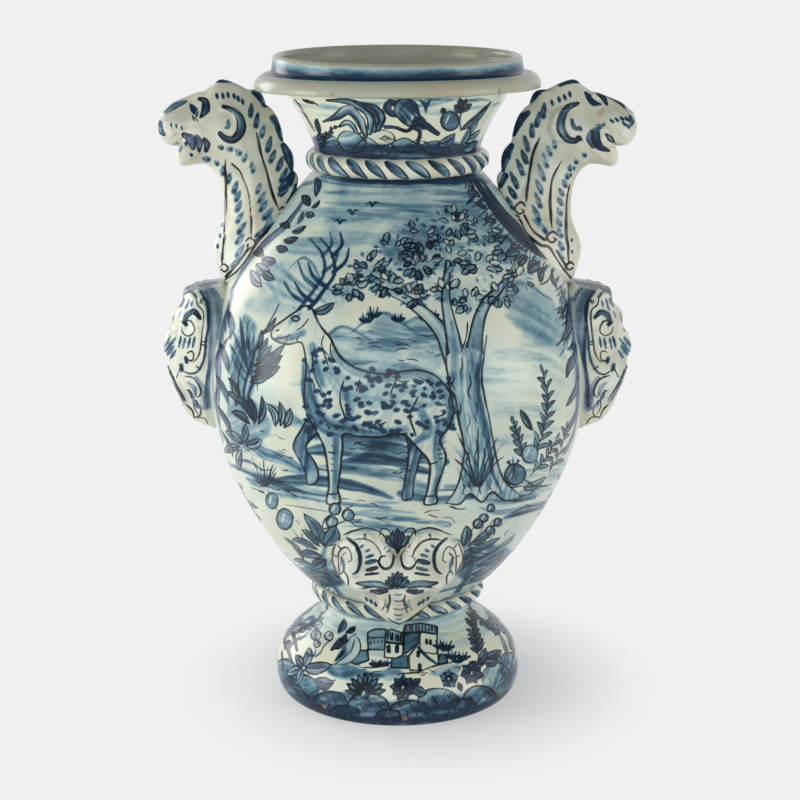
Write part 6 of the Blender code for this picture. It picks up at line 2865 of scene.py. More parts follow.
    def paint_left(self, brush: Brush) -> None:
        """Paint the left beast.

        Args:
            brush: what paints, set to one side of the vase.
        """
        brush.stroke([(160, 123), (160, 130), (164, 135)], (5, 7, 3), 0.66, 0.35, 1.2)
        brush.stroke([(165, 112), (174, 106), (186, 101)], (2, 5, 2), 0.55, 0.3, 1.2)
        brush.line([(166, 114), (176, 108), (188, 101)], 1.1)
        brush.stroke([(199, 99), (205, 101), (206, 109), (201, 117)], (2, 6, 7, 2), 0.78, 0.2, outline=1.2)
        brush.stroke([(191, 106), (194, 111), (196, 113)], (2.5, 5, 4), 1.0, 0.0, 0.7)
        brush.stroke([(190, 104), (195, 107), (198, 112), (197, 116)], (1.5, 2.2, 1.6), 0.7, 0.2, 0.7)
        brush.lines(([(192, 115), (194, 121)], [(195, 116), (198, 122)]), 1.4)
        for x, y in ((171, 125), (176, 126), (182, 128)):
            brush.stroke([(x, y - 1.5), (x + 0.5, y + 1.5)], (1.6,), 0.85)
        brush.stroke([(184, 135), (191, 140), (193, 148)], (4, 9, 4), 0.58, 0.45, 1.2, outline=1.0)
        brush.stroke([(197, 137), (200, 142), (199, 150)], (3, 6, 3), 0.58, 0.4, 1.2, outline=1.0)
        brush.stroke([(204, 139), (207, 144), (206, 150)], (2, 5, 3), 0.6, 0.4, 1.2, outline=1.0)
        for x, y in ((185.5, 143), (191, 154), (199, 150), (206, 150)):
            brush.stroke([(x, y), (x + 0.3, y + 1)], (3.2,), 1.0, 0, 0.7)
        brush.stroke([(177, 143), (181, 149), (178, 152)], (2, 4, 2), 0.4, 0.5, 1.2)
        brush.stroke([
            (223, 107), (233, 110), (240, 119), (241, 130), (234, 139), (225, 138), (220, 133)
        ], (2, 4, 6, 7.5, 6.5, 5, 3), 0.58, 0.1, outline=1.3, streak=0.9)
        brush.stroke([(228, 121), (228, 127), (225, 128)], (3, 4.5, 2), 0.55, 0.3)
        brush.stroke([(220, 134), (223, 136)], (3.5,), 1.0)
        brush.stroke([(217, 81), (224, 80), (230, 81)], (3, 5, 3), 0.75, 0.2, 1.2)
        brush.dots((
            (217, 96), (223, 95.5), (228.5, 95), (234, 96), (238, 98.5), (243, 102)
        ), (0.5, 2), (2.2, 3.4, 2.2), 0.85, 0.1, 0.8)
        brush.dabs((
            (251, 110, 0, 11), (257, 120, -2, 12), (263, 131, -3, 11), (269, 144, -3, 12), (273, 156, -4, 10),
            (280, 163, -4, 12), (284, 175, -6, 12)
        ), 0.58, 5.8)
        for knots, widths in (
            ([(254, 92), (261, 96), (265, 104)], (5, 10, 6)), ([(272, 118), (279, 125), (283, 138)], (6, 11, 6)),
            ([(284, 146), (290, 157), (293, 170)], (6, 12, 6)), ([(292, 174), (288, 183), (281, 189)], (6, 10, 6)),
            ([(297, 186), (296, 195), (289, 203)], (6, 11, 6)), ([(286, 190), (281, 194)], (5, 6))
        ):
            brush.stroke(knots, widths, 0.80, 0.15, 1.2, 0.7)
        brush.lines((
            [(256, 132), (260, 148), (265, 165), (270, 185), (275, 200), (279, 209)],
            [(232, 163), (241, 174), (247, 188), (250, 205), (252, 238)], [(225, 235), (223, 250), (222, 263)],
            [(225, 160), (226, 200), (224, 235)]
        ), 2.3)
        for x, y, radius in ((284, 212, 5.4), (251, 243, 5.4), (224, 268, 4)):
            brush.line([
                (x - radius, y - 1), (x - 1, y - radius), (x + radius, y), (x + 1, y + radius),
                (x - radius + 1, y + radius * 0.5), (x - 1, y + 1)
            ], 2.0)
        brush.dabs((
            (220, 147, 3, 1), (229, 149, 3, 1), (238, 152, 3, 3), (245, 157, -2, 6), (252, 167, 1, 8),
            (259, 188, -3, 8), (262, 197, -5, 9), (264, 206, -6, 9), (268, 214, -8, 9), (263, 231, -12, 9),
            (206, 159, 5, 1), (216, 163, 2, 2), (223, 170, 0, 7), (229, 178, -2, 8), (235, 187, -3, 9),
            (238, 196, -4, 8), (239, 206, -4, 8), (240, 217, -5, 9), (242, 228, -6, 9), (240, 239, -6, 8),
            (240, 251, -6, 9), (237, 262, -8, 8)
        ), 0.40, 6.0)
        brush.stroke([(268, 214), (270, 222), (264, 230)], (3, 8, 4), 0.42, 0.15, 2, 0.8)
        brush.dots(((224, 212), (222, 225), (220, 235), (218, 246)), (0, 1.2), (2.4,), 0.9, 0.1, 0.8)
        brush.lines((
            [(301, 192), (299, 203), (288, 214), (273, 227), (258, 241), (249, 256), (238, 270), (223, 281)],
            [(297, 190), (294, 201), (284, 209)], [(256, 240), (268, 229), (280, 219)],
            [(226, 276), (238, 263), (248, 250)]
        ), 2.2, False)

    def paint_right(self, brush: Brush) -> None:
        """Paint the right beast.

        Args:
            brush: what paints, set to one side of the vase.
        """
        brush.stroke([(586, 93), (590, 98), (594, 103), (600, 104)], (3, 7, 6, 2), 0.95, 0.1, 0.9)
        brush.stroke([(598, 94), (604, 98), (607, 104)], (1.5, 4, 2), 0.8, 0.2, 0.9, outline=1.2)
        brush.stroke([(592, 96.5), (594.5, 98.5)], (1.6, 2.0), 0.0, soft=0.6, shape=True)
        brush.line([(601, 93), (615, 99), (625, 107)], 1.5)
        brush.stroke([(606, 96), (618, 102), (626, 110)], (1, 3, 1), 0.6, 0.2)
        brush.dots((
            (612, 121), (617, 120), (622, 119), (627, 119), (631, 122), (624, 124), (628, 126)
        ), (1, 1), (2.6,), 0.8, 0.2, 0.9)
        brush.stroke([(630, 116), (632, 122), (629, 128)], (3, 5, 2), 0.7, 0.3, 1.2)
        brush.stroke([
            (604, 124), (597, 129), (596, 138), (600, 147), (609, 151)
        ], (2, 6, 8, 6, 2), 0.6, 0.4, outline=1.1, streak=0.8)
        brush.stroke([(592, 131), (590, 138), (593, 146)], (4, 7, 4), 0.55, 0.4, 1.2, outline=1.0)
        brush.stroke([(606, 134), (611, 139), (614, 142)], (2, 5, 2), 0.66, 0.2, 1.0, outline=1.0)
        brush.stroke([
            (578, 103), (568, 107), (562, 117), (561, 130), (567, 139), (576, 141), (579, 138)
        ], (2, 5, 6.5, 7, 6.5, 5, 3), 0.58, 0.1, outline=1.3, streak=0.9)
        brush.stroke([(572, 120), (574, 127), (580, 129)], (3, 4.5, 3), 0.66, 0.3)
        brush.stroke([(578, 137), (581, 139)], (3.5,), 1.0)
        brush.stroke([(580, 127), (581, 129)], (3.2,), 1.0)
        brush.stroke([(560, 85), (570, 80), (580, 81)], (4, 8, 3), 0.7, 0.2, 1.2)
        brush.dots(((559, 99), (565, 97), (570, 94.5), (552, 103)), (0.5, 2), (2.2, 3.4, 2.2), 0.88, 0.1, 0.8)
        brush.dabs((
            (544, 110, -1, 13), (538, 119, -2, 13), (532, 130, 1, 12), (526, 143, 3, 13), (524, 156, 4, 11),
            (520, 167, 5, 13), (514, 180, 6, 14), (512, 192, 6, 10), (509, 203, 5, 10)
        ), 0.58, 5.8)
        for knots, widths in (
            ([(548, 87), (538, 90), (531, 101)], (5, 10, 4)), ([(528, 113), (518, 122), (514, 134)], (5, 11, 4)),
            ([(512, 146), (505, 158), (503, 170)], (5, 11, 4)), ([(505, 176), (500, 186)], (6, 5))
        ):
            brush.stroke(knots, widths, 0.84, 0.2, 1.4, 0.5)
        brush.lines((
            [(540, 137), (533, 152), (530, 168), (527, 190), (526, 203)],
            [(561, 161), (552, 180), (550, 200), (551, 215), (552, 230)],
            [(570, 184), (567, 200), (566, 225), (568, 250), (569, 262)]
        ), 2.3)
        for x, y, radius in ((520, 208, 5.6), (552, 237, 5.4), (570, 266, 4)):
            brush.line([
                (x + radius, y - 1), (x + 1, y - radius), (x - radius, y), (x - 1, y + radius),
                (x + radius - 1, y + radius * 0.5), (x + 1, y + 1)
            ], 2.0)
        brush.dabs((
            (554, 144, 1, 5), (549, 150, 3, 8), (545, 160, 4, 12), (541, 172, 5, 14), (539, 186, 5, 13),
            (538, 200, 5, 13), (536, 213, 6, 14), (540, 226, 12, 12), (584, 155, 2, 1), (576, 161, 1, 2),
            (570, 168, 0, 3), (567, 176, 0, 4), (564, 183, 2, 5), (561, 192, 3, 6), (560, 201, 3, 6),
            (559, 211, 3, 6), (559, 222, 3, 7), (560, 232, 3, 7), (561, 245, 3, 7), (560, 255, 5, 7)
        ), 0.42, 5.8)
        brush.dots(((571, 175), (574, 168), (569, 188), (572, 240), (572, 252)), (0, 1), (1.8,), 0.9, 0.1, 0.8)
        brush.lines((
            [(494, 190), (500, 203), (510, 212), (519, 217)],
            [(520, 220), (528, 234), (540, 245), (549, 247), (556, 258), (564, 270), (571, 278)],
            [(524, 215), (532, 230), (544, 240)], [(556, 250), (566, 266)]
        ), 2.2, False)


@dataclass(frozen=True)
class MaskForm:
    """Sizes of a grotesque mask: its chord on the body, its width and its swell.

    Each row of shape gives, at a share of its length, the shares of its width and
    of its relief at the middle and beside it. Volutes and eyes are knobs and
    hollows at shares of the width and the length. The sides swell up as a circle
    does where fullness is 2, and more steeply where it is larger.
    """

    top: float
    bottom: float
    width: float
    relief: float
    volutes: tuple
    eye: Point
    shape: tuple
    falls: tuple = ((0.0, 0.0), (0.5, 0.006), (0.8, 0.041), (1.0, 0.10))
    edge: float = 0.0030
    nose: float = 0.22
    knob: float = 0.17
    knob_rise: float = 0.20
    hollow: float = 0.13
    hollow_depth: float = 0.20
    fullness: float = 2.6
    chin_out: float = 0.0


LOW_MASK = MaskForm(
    top=0.2070, bottom=0.1040, width=0.1220, relief=0.0248, volutes=((0.70, 0.72), (0.22, 0.64)), eye=(0.45, 0.36),
    shape=(
        (0.00, 0.24, 0.34, 0.34), (0.05, 0.32, 0.62, 0.58), (0.11, 0.40, 0.92, 0.64), (0.20, 0.54, 0.88, 0.58),
        (0.30, 0.68, 0.80, 0.56), (0.38, 0.79, 0.76, 0.60), (0.45, 0.86, 0.78, 0.70), (0.60, 0.97, 0.56, 0.56),
        (0.75, 1.00, 0.46, 0.50), (0.90, 0.96, 0.40, 0.44), (1.00, 0.84, 0.26, 0.26)
    ),
    falls=(
        (0.0, 0.235), (0.07, 0.225), (0.19, 0.125), (0.35, 0.045), (0.56, 0.0), (0.80, 0.04), (0.93, 0.09),
        (1.0, 0.14)
    ),
    chin_out=0.0857
)
SIDE_MASK = MaskForm(
    top=0.4070, bottom=0.2630, width=0.1240, relief=0.0395, volutes=((0.70, 0.56), (0.50, 0.20)), eye=(0.38, 0.62),
    shape=(
        (0.00, 0.16, 0.20, 0.20), (0.06, 0.30, 0.55, 0.45), (0.20, 0.46, 0.76, 0.55), (0.32, 0.62, 0.89, 0.66),
        (0.43, 0.76, 0.92, 0.70), (0.52, 0.86, 1.04, 0.72), (0.60, 0.93, 1.00, 0.74), (0.67, 0.97, 0.89, 0.80),
        (0.75, 1.00, 0.96, 0.84), (0.84, 0.96, 0.80, 0.82), (0.93, 0.88, 0.84, 0.74), (1.00, 0.66, 0.36, 0.30)
    )
)


@dataclass
class Mask:
    """Grotesque mask pressed onto the belly, with horns of scrolls and a long nose.

    It is bury metres deep in the body. Behind, it is narrower than in front and
    ends inset metres short of it. around is how much more of the body is looked
    at, and samples how finely the form's rows are read.
    """

    name: str
    node: str
    form: MaskForm
    side: Side = Side.MIDDLE
    behind: bool = False
    rows: int = 181
    columns: int = 161
    step: int = 10
    bury: float = 0.0040
    rounding: float = 0.08
    around: float = 0.03
    narrower: float = 0.96
    inset: float = 0.004
    samples: int = 400

    def skin(self) -> tuple[Array, Array, Array, Array]:
        """Work out the mask's grid of points, a low mask's as if it were in front.

        Its top edge falls by the form's falls * along ** 3. The relief over the body
        is dome * (beside + (middle - beside) * ridge + knobs - hollows), and the
        columns are evenly spaced in the dome's angle.

        Returns:
            the front's points, the points behind it, the rows' places and the
            columns' angles.
        """
        form = self.form
        body = np.vstack((STOCK.lower_belly(), STOCK.upper_belly()[1:]))
        high = np.array((np.interp(form.top, body[:, 1], body[:, 0]), form.top))
        low = np.array((form.chin_out or np.interp(form.bottom, body[:, 1], body[:, 0]), form.bottom))
        length = np.linalg.norm(high - low)
        upwards = (high - low) / length
        outwards = np.array((upwards[1], -upwards[0]))
        body_along, body_out = (body - low) @ upwards, (body - low) @ outwards
        near = (body_along > -self.around) & (body_along < length + self.around) & (body_out > -self.around)
        angles = np.linspace(-math.pi / 2, math.pi / 2, self.columns)
        along = np.linspace(0, 1, self.rows)[:, None]
        across = np.sin(angles)[None]
        shape = np.array(form.shape)
        curve = np.linspace(0, 1, self.samples)
        rows = [self._eased(shape[:, 0], shape[:, column], curve) for column in (1, 2, 3)]
        wide, middle, beside = (np.interp(along, curve, row) for row in rows)
        ridge = np.exp(-(across / form.nose) ** 2)
        swell = beside + (middle - beside) * ridge
        for over, up in form.volutes:
            swell = swell + form.knob_rise * np.exp(
                -(((np.abs(across) - over) ** 2 + (along - up) ** 2) / form.knob ** 2)
            )
        swell = swell - form.hollow_depth * np.exp(
            -(((np.abs(across) - form.eye[0]) ** 2 + (along - form.eye[1]) ** 2) / form.hollow ** 2)
        )
        ends = np.clip((
            along - 1 + self.rounding
        ) / self.rounding, 0, 1) + np.clip(1 - along / self.rounding * 2, 0, 1)
        dome = np.sqrt(
            np.clip(1 - np.abs(across) ** form.fullness, 0, 1)
        ) * np.sqrt(np.clip(1.02 - ends ** 2, 0, 1))
        sideways = across * wide * form.width / 2
        falls = np.array(form.falls)
        climb = length * along * (1 - along ** 2 * np.interp(np.abs(across), falls[:, 0], falls[:, 1]))
        rests = np.maximum(np.interp(climb, body_along[near], body_out[near]), 0)
        radius = low[0] + climb * upwards[0]
        sag = (radius - np.sqrt(radius ** 2 - sideways ** 2)) * outwards[0]
        front = self._placed(
            sideways, climb, rests + form.edge + form.relief * dome * swell - sag, low, upwards, outwards
        )
        coarse = (slice(None, None, self.step), slice(None, None, self.step))
        behind = [part[coarse] for part in (sideways * self.narrower, climb, rests - self.bury - sag)]
        behind[1] = np.clip(behind[1], self.inset, length - self.inset)
        return front, self._placed(*behind, low, upwards, outwards), np.linspace(0, length, self.rows), angles

    @staticmethod
    def _eased(places: Array, values: Array, at: Array) -> Array:
        """Read a row of knots off a smooth curve that doesn't pass their extremes.

        Args:
            places, values: the knots.
            at: where to read the curve.

        Returns:
            a value at each of them.
        """
        steps = np.gradient(values, places)
        index = np.clip(np.searchsorted(places, at, side="right") - 1, 0, len(places) - 2)
        span = places[index + 1] - places[index]
        t = (at - places[index]) / span
        low, high = values[index], values[index + 1]
        value = (
            low * (1 + 2 * t) * (1 - t) ** 2 + high * t * t * (3 - 2 * t)
            + 0.5 * span * (steps[index] * t * (1 - t) ** 2 - steps[index + 1] * t * t * (1 - t))
        )
        return np.clip(value, values.min(), values.max())

    def _placed(
        self, sideways: Array, climb: Array, out: Array, low: Array, upwards: Array, outwards: Array
    ) -> Array:
        """Turn places on the mask's chord into places in space.

        Args:
            sideways: distance from the mask's middle.
            climb: distance up its chord.
            out: distance out from its chord.
            low: radius and height of the chord's lower end.
            upwards, outwards: the chord's two directions, as radius and height.

        Returns:
            the points, last axis x, y and z.
        """
        radial = low[0] + climb * upwards[0] + out * outwards[0]
        up = low[1] + climb * upwards[1] + out * outwards[1]
        azimuth = self.side * math.pi / 2
        sine, cosine = math.sin(azimuth), math.cos(azimuth)
        x = radial * sine + sideways * cosine
        y = -radial * cosine + sideways * sine
        return np.stack((x, y, up), axis=-1)

    def build(self, glaze: bpy.types.Material) -> list[bpy.types.Object]:
        """Build the mask as a closed tile.

        Args:
            glaze: its finish.

        Returns:
            the one piece.
        """
        front, behind, along, angles = self.skin()
        girth = np.linalg.norm(np.diff(front, axis=1), axis=-1).sum(axis=1)
        canvas = Canvas(front, along, angles, np.maximum(girth / math.pi, 1e-3), flat=True)
        self.carve_and_paint(canvas)
        turned_about = np.array((-1, -1, 1)) if self.behind else np.ones(3)
        piece = closed_tile(
            self.name, canvas.points * turned_about, behind * turned_about, self.step, painted(canvas), canvas.bare
        )
        piece.data.materials.append(glaze)
        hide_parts(self.node)
        return [piece]

    def carve_and_paint(self, canvas: Canvas) -> None:
        """Carve and paint the mask: the low ones face on, the side ones in profile.

        Args:
            canvas: the mask's skin.
        """
        if self.side is Side.MIDDLE:
            brush = Brush(canvas, seed=3000)
            self.carve_low(brush)
            canvas.raise_clay()
            self.paint_low(brush)
            return
        brush = Brush(canvas, seed=3200 + self.side, flip=self.side is Side.RIGHT)
        columns, half = np.arange(self.columns), self.columns // 2
        near_left = canvas.seen[:, :half].mean() > canvas.seen[:, half:].mean()
        columns = np.where((columns > half) == near_left, self.columns - 1 - columns, columns)
        canvas.seen &= (columns == np.arange(self.columns))[None]
        self.carve_side(brush)
        canvas.fold(columns)
        canvas.raise_clay()
        self.paint_side(brush)
        canvas.fold(columns)

    def carve_low(self, brush: Brush) -> None:
        """Raise horns, brows and nose on a low mask and sink the eyes.

        Args:
            brush: what paints, set to one side of the vase.
        """
        for flip in (False, True):
            brush.flip = flip
            for knots, width, amount in (
                ([(352, 543), (365, 535), (378, 537), (389, 546), (393, 556), (387, 566), (379, 562)], 9, 1.9),
                ([(354, 543), (343, 545), (336, 556), (336, 570), (341, 584), (350, 598)], 8, 1.9),
                ([(354, 545), (360, 556), (359, 570), (352, 574), (346, 566)], 7, 1.8),
                ([(356, 587), (372, 583), (391, 588)], 6, 1.4), ([(362, 602), (374, 608), (386, 614)], 12, 1.2),
                ([(344, 576), (348, 584), (346, 590)], 5, 1.2)
            ):
                brush.lift(knots, width, amount, 0.7)
            brush.lift([(374, 592), (388, 592)], 8, -1.6, 1.0)
            brush.lift([(364, 548), (370, 570)], 10, -0.8, 1.0)
        brush.flip = False
        brush.lift([(397, 588), (398, 604), (399, 618)], 15, 2.0, 0.9)
        brush.lift([(397, 532), (397, 548)], 6, 1.2, 0.8)

    def paint_low(self, brush: Brush) -> None:
        """Paint a low mask: scrolls, dots, brows, eyes and the long nose.

        Args:
            brush: what paints, set to one side of the vase.
        """
        for flip in (False, True):
            brush.flip = flip
            for knots, width in (
                ([
                    (345, 537), (352, 533), (365, 530.5), (376, 532), (385, 538), (391, 546), (394, 556),
                    (391, 567), (384, 569), (379, 563), (381, 557), (386, 556)
                ], 2.0),
                ([(352, 540), (362, 539), (372, 542), (379, 549), (382, 557)], 1.3),
                ([
                    (337, 541), (333, 550), (332, 560), (336, 572), (343, 584), (354, 596), (368, 607), (382, 618),
                    (392, 624)
                ], 2.0),
                ([(339, 575), (338, 562), (339, 552), (345, 547), (350, 551), (352, 560), (348, 562)], 1.4),
                ([(341, 566), (342, 556), (346, 552)], 1.2),
                ([(341, 575), (344, 571), (348, 578), (348, 585)], 1.3), ([(364, 533), (364, 538)], 1.0),
                ([(366, 533), (366, 538)], 1.0), ([(383, 545), (386, 542)], 1.0), ([(384, 549), (388, 545)], 1.0),
                ([(386, 552), (390, 550)], 1.0), ([(338, 545), (341, 549)], 1.0), ([(334, 555), (337, 557)], 1.0),
                ([(389.5, 594), (390, 604), (387, 613)], 1.6), ([(386, 598), (385, 605), (382, 611)], 1.1),
                ([(386, 589), (374, 587), (362, 588)], 1.2), ([(352, 590), (358, 600), (366, 604)], 1.2)
            ):
                brush.line(knots, width)
            brush.stroke([
                (344, 537), (352, 541), (359, 551), (360, 562), (358, 571), (353, 574)
            ], (1.4, 2.4, 3.4, 3.6, 2.6, 1.2), 1.0, 0.1, 0.7)
            brush.line([(348, 539), (356, 546), (360, 556), (359, 567), (355, 573)], 2.4)
            brush.stroke([(341, 558), (343, 562), (344, 572)], (2, 3.4, 1.6), 0.6, 0.2, 1.0)
            for x, y, reach, width in (
                (362, 546, 1.2, 2.4), (367.5, 551, 1.6, 2.8), (370, 556, 3.0, 3.2), (371, 562, 4.6, 4.2),
                (372, 569, 5, 3.2), (372, 574, 6.4, 1.8)
            ):
                brush.stroke(
                    [(x - reach, y + 1), (x + reach, y - 1)], (width * 0.6, width, width * 0.7), 0.72, 0.2, 0.9,
                    outline=0.9 if reach > 4 else 0
                )
            brush.stroke(
                [(357, 583), (366, 584), (378, 584), (392, 588)], (1, 5.5, 5.5, 1.5), 0.46, 0.05, 0.9, outline=1.1
            )
            brush.stroke([(372, 591), (379, 592), (387, 591)], (2, 4.4, 2.2), 0.66, 0.1, 0.9, outline=1.2)
            brush.stroke([(378, 590.5), (381, 591.5)], (3.2,), 1.0)
            brush.stroke([(391, 600), (387, 607)], (1.4, 3.4), 0.6, 0.15, 1.0)
            brush.dots(((366.5, 599), (371, 601.5), (375.5, 604)), (0.6, 1), (2.6,), 0.75, 0.3, 0.9)
            brush.stroke([(344, 588), (352, 597), (362, 604)], (1, 3, 1), 0.3, 0.2, 2)
            brush.stroke([(389, 548), (391, 556), (387, 562)], (3, 5, 3), 0.12, 0.6, 3)
            for turn in (-1.25, -0.85, -0.4):
                tip = (397 + 13 * math.sin(turn), 585 - 13 * math.cos(turn))
                brush.leaf((397, 587), tip, 6, 0.66, 0.0, 0.0, 1.1)
        brush.flip = False
        brush.leaf((397.5, 588), (397.5, 571), 6.5, 0.7, 0.0, 0.0, 1.1)
        for y, half in ((588, 3), (594, 3), (601, 4), (609, 4.5), (614.5, 4), (619, 3)):
            brush.stroke([(398.5 - half, y), (398.5, y + 0.8), (398.5 + half, y)], (1.3,), 0.62, 0.35, 0.9)
        brush.stroke([(388, 618), (394, 622), (400, 624), (407, 621)], (1.0, 2.2, 2.2, 1.0), 0.7, 0.4, 0.9)

    def carve_side(self, brush: Brush) -> None:
        """Raise the scrolls, lip and beard of a side mask and sink between them.

        Args:
            brush: what paints, set to one side of the vase.
        """
        for knots, width, amount in (
            ([(199, 290), (205, 305), (206, 322), (204, 345), (201, 362), (190, 374)], 8, 2.0),
            ([(184, 298), (190, 295), (196, 300)], 6, 1.6),
            ([(200, 320), (192, 314), (184, 322), (184, 333), (191, 335)], 7, 2.2),
            ([(200, 330), (199, 348), (193, 360), (187, 356)], 6, 2.0), ([(171, 338), (166, 352)], 7, 1.2),
            ([(168, 364), (176, 382), (186, 400)], 6, 1.8),
            ([(186, 377), (197, 384), (201, 396), (194, 408)], 7, 1.8),
            ([(187, 406), (195, 415), (203, 410), (207, 420)], 6, 1.8)
        ):
            brush.lift(knots, width, amount, 0.7)
        brush.lift([(180, 340), (192, 345)], 10, -1.8, 1.0)
        brush.lift([(181, 312), (190, 306)], 6, -1.2, 1.0)
        brush.lift([(180, 366), (183, 370)], 7, -1.8, 1.0)

    def paint_side(self, brush: Brush) -> None:
        """Paint a side mask: scrolls, hatching, a wedged nose and a beard.

        Args:
            brush: what paints, set to one side of the vase.
        """
        brush.stroke([
            (198, 289), (204, 297), (208, 308), (208, 325), (206, 340), (205, 352), (202, 364), (197, 372),
            (190, 374), (185, 372)
        ], (1.6, 3.2, 3.2, 2.4, 2.2, 2.2, 2.0, 1.8, 1.6, 1.4), 1.0, 0.1, 0.7)
        brush.stroke([
            (181, 306), (184, 300), (182, 296), (187, 292), (193, 293), (196, 298)
        ], (2.4, 3.0, 2.0, 2.0, 1.6, 1.2), 1.0, 0.1, 0.8)
        for knots, width in (
            ([(195, 293), (197, 304), (203, 312), (203, 328), (201, 345), (198, 356), (193, 363)], 1.5),
            ([(181, 326), (183, 333), (189, 336), (194, 332), (194, 326), (191, 321), (187, 321)], 1.5),
            ([(187, 353), (192, 351), (194, 355), (192, 361), (187, 360)], 1.5),
            ([(164, 361), (168, 368), (175, 382), (186, 401)], 1.3), ([(172, 381), (178, 392), (184, 402)], 1.3),
            ([(185, 376), (193, 378), (199, 385), (201, 393), (197, 398)], 1.5),
            ([(186, 390), (191, 392), (194, 399), (194, 407), (198, 414)], 1.3),
            ([(186, 405), (192, 410), (195, 417), (201, 414), (200, 407)], 1.4),
            ([(195, 417), (204, 418), (208, 424)], 1.3), ([(201, 299), (200, 304)], 1.1),
            ([(203, 300), (202, 305)], 1.1), ([(200, 341), (205, 342)], 1.1), ([(200, 344), (205, 345)], 1.1),
            ([(175, 312), (172, 322), (170, 332)], 1.0), ([(196, 366), (201, 370)], 1.1),
            ([(181, 366), (176, 378)], 1.0)
        ):
            brush.line(knots, width)
        brush.stroke([(200, 318), (194, 312), (187, 315), (184, 323)], (2, 5, 5, 3), 0.7, 0.1, 1.0, outline=1.0)
        brush.stroke([(184, 322), (186, 325)], (3.6,), 1.0)
        brush.stroke([(186, 358), (187, 362)], (3.4,), 0.95)
        brush.dots(((180, 342), (184, 343), (189, 343), (194, 342)), (-1, 5), (1.6, 2.8, 1.6), 0.72, 0.4, 0.9)
        for start, end in (
            ((175, 338), (165, 351)), ((174, 346), (166, 356)), ((170, 337), (163, 347)), ((176, 350), (171, 358))
        ):
            brush.stroke([start, end], (1.6, 3.6, 1.8), 0.62, 0.3, 1.0)
        brush.stroke([(181, 365), (182, 370)], (3.6,), 0.9)
        brush.dots(((188, 302), (192, 304), (186, 308), (180, 314)), (-1, 3), (1.4, 2.6, 1.4), 0.5, 0.5, 1.0)
        for x, y in ((167, 366), (170, 372), (173, 378), (189, 392), (191, 396), (196, 402)):
            brush.stroke([(x, y - 1.6), (x + 1, y + 1.6)], (2.0,), 0.7, 0.3, 0.9)
        for knots, widths, tone in (
            ([
                (204, 284), (213, 300), (217, 330), (216, 360), (211, 384), (208, 404)
            ], (9, 17, 17, 16, 12, 7), 0.66),
            ([(178, 296), (190, 286), (204, 281), (216, 282)], (4, 9, 10, 7), 0.62),
            ([(196, 378), (204, 392), (206, 408)], (4, 8, 6), 0.34),
            ([(192, 398), (196, 404), (202, 408)], (2, 5, 3), 0.34),
            ([(188, 383), (194, 388), (196, 396)], (2, 5, 2), 0.40),
            ([(170, 374), (180, 392), (186, 404)], (2, 4, 2), 0.24), ([(186, 290), (178, 300)], (3, 5), 0.30)
        ):
            brush.stroke(knots, widths, tone, 0.5, 1.6, 0.8)


@dataclass(frozen=True)
class Paper:
    """Pale studio paper: near white to the eye, and it keeps the vase's shadow.

    share is how much of what the camera sees is the paper's glow. It falls by
    shade_depth between shade_reach and shade_start metres from shade_middle.
    """

    colour: Colour = linear(246, 246, 246)
    glow: float = 0.873
    share: float = 1.0
    shade_middle: tuple = (0.02, 0.0, 0.0)
    shade_start: float = 0.10
    shade_reach: float = 0.25
    shade_depth: float = 0.58

    def material(self) -> bpy.types.Material:
        """Mix a plain matt paper with a glow that only the camera and gloss see.

        The glow's share falls round the foot, so that the real shadow shows there; the lit paper there is also
        darker than the glow, which paints a pool of shade round the foot.

        Returns:
            the material.
        """
        graph = Graph("studio_paper")
        graph.feed(graph.shader.inputs["Base Color"], self.colour)
        graph.feed(graph.shader.inputs["Roughness"], 0.7)
        glow = graph.node("ShaderNodeEmission", None, {"Color": (1, 1, 1, 1), "Strength": self.glow})
        rays = graph.node("ShaderNodeLightPath")
        eye = Number(graph, rays.outputs["Is Camera Ray"]) + Number(graph, rays.outputs["Is Glossy Ray"])
        place = graph.node("ShaderNodeTexCoord").outputs["Object"]
        away = graph.number(
            "ShaderNodeVectorMath", {"operation": "DISTANCE"}, {0: place, 1: self.shade_middle}, "Value"
        )
        # Less glow round the foot: a painted pool of shade there, on top of the real shadow that it lets show.
        share = self.share - away.rise(self.shade_reach, self.shade_start) * self.shade_depth
        mixed = graph.node(
            "ShaderNodeMixShader", None, {0: eye * share, 1: graph.shader.outputs[0], 2: glow.outputs[0]}
        )
        graph.feed(graph.tree.nodes["Material Output"].inputs["Surface"], mixed.outputs[0])
        return graph.material


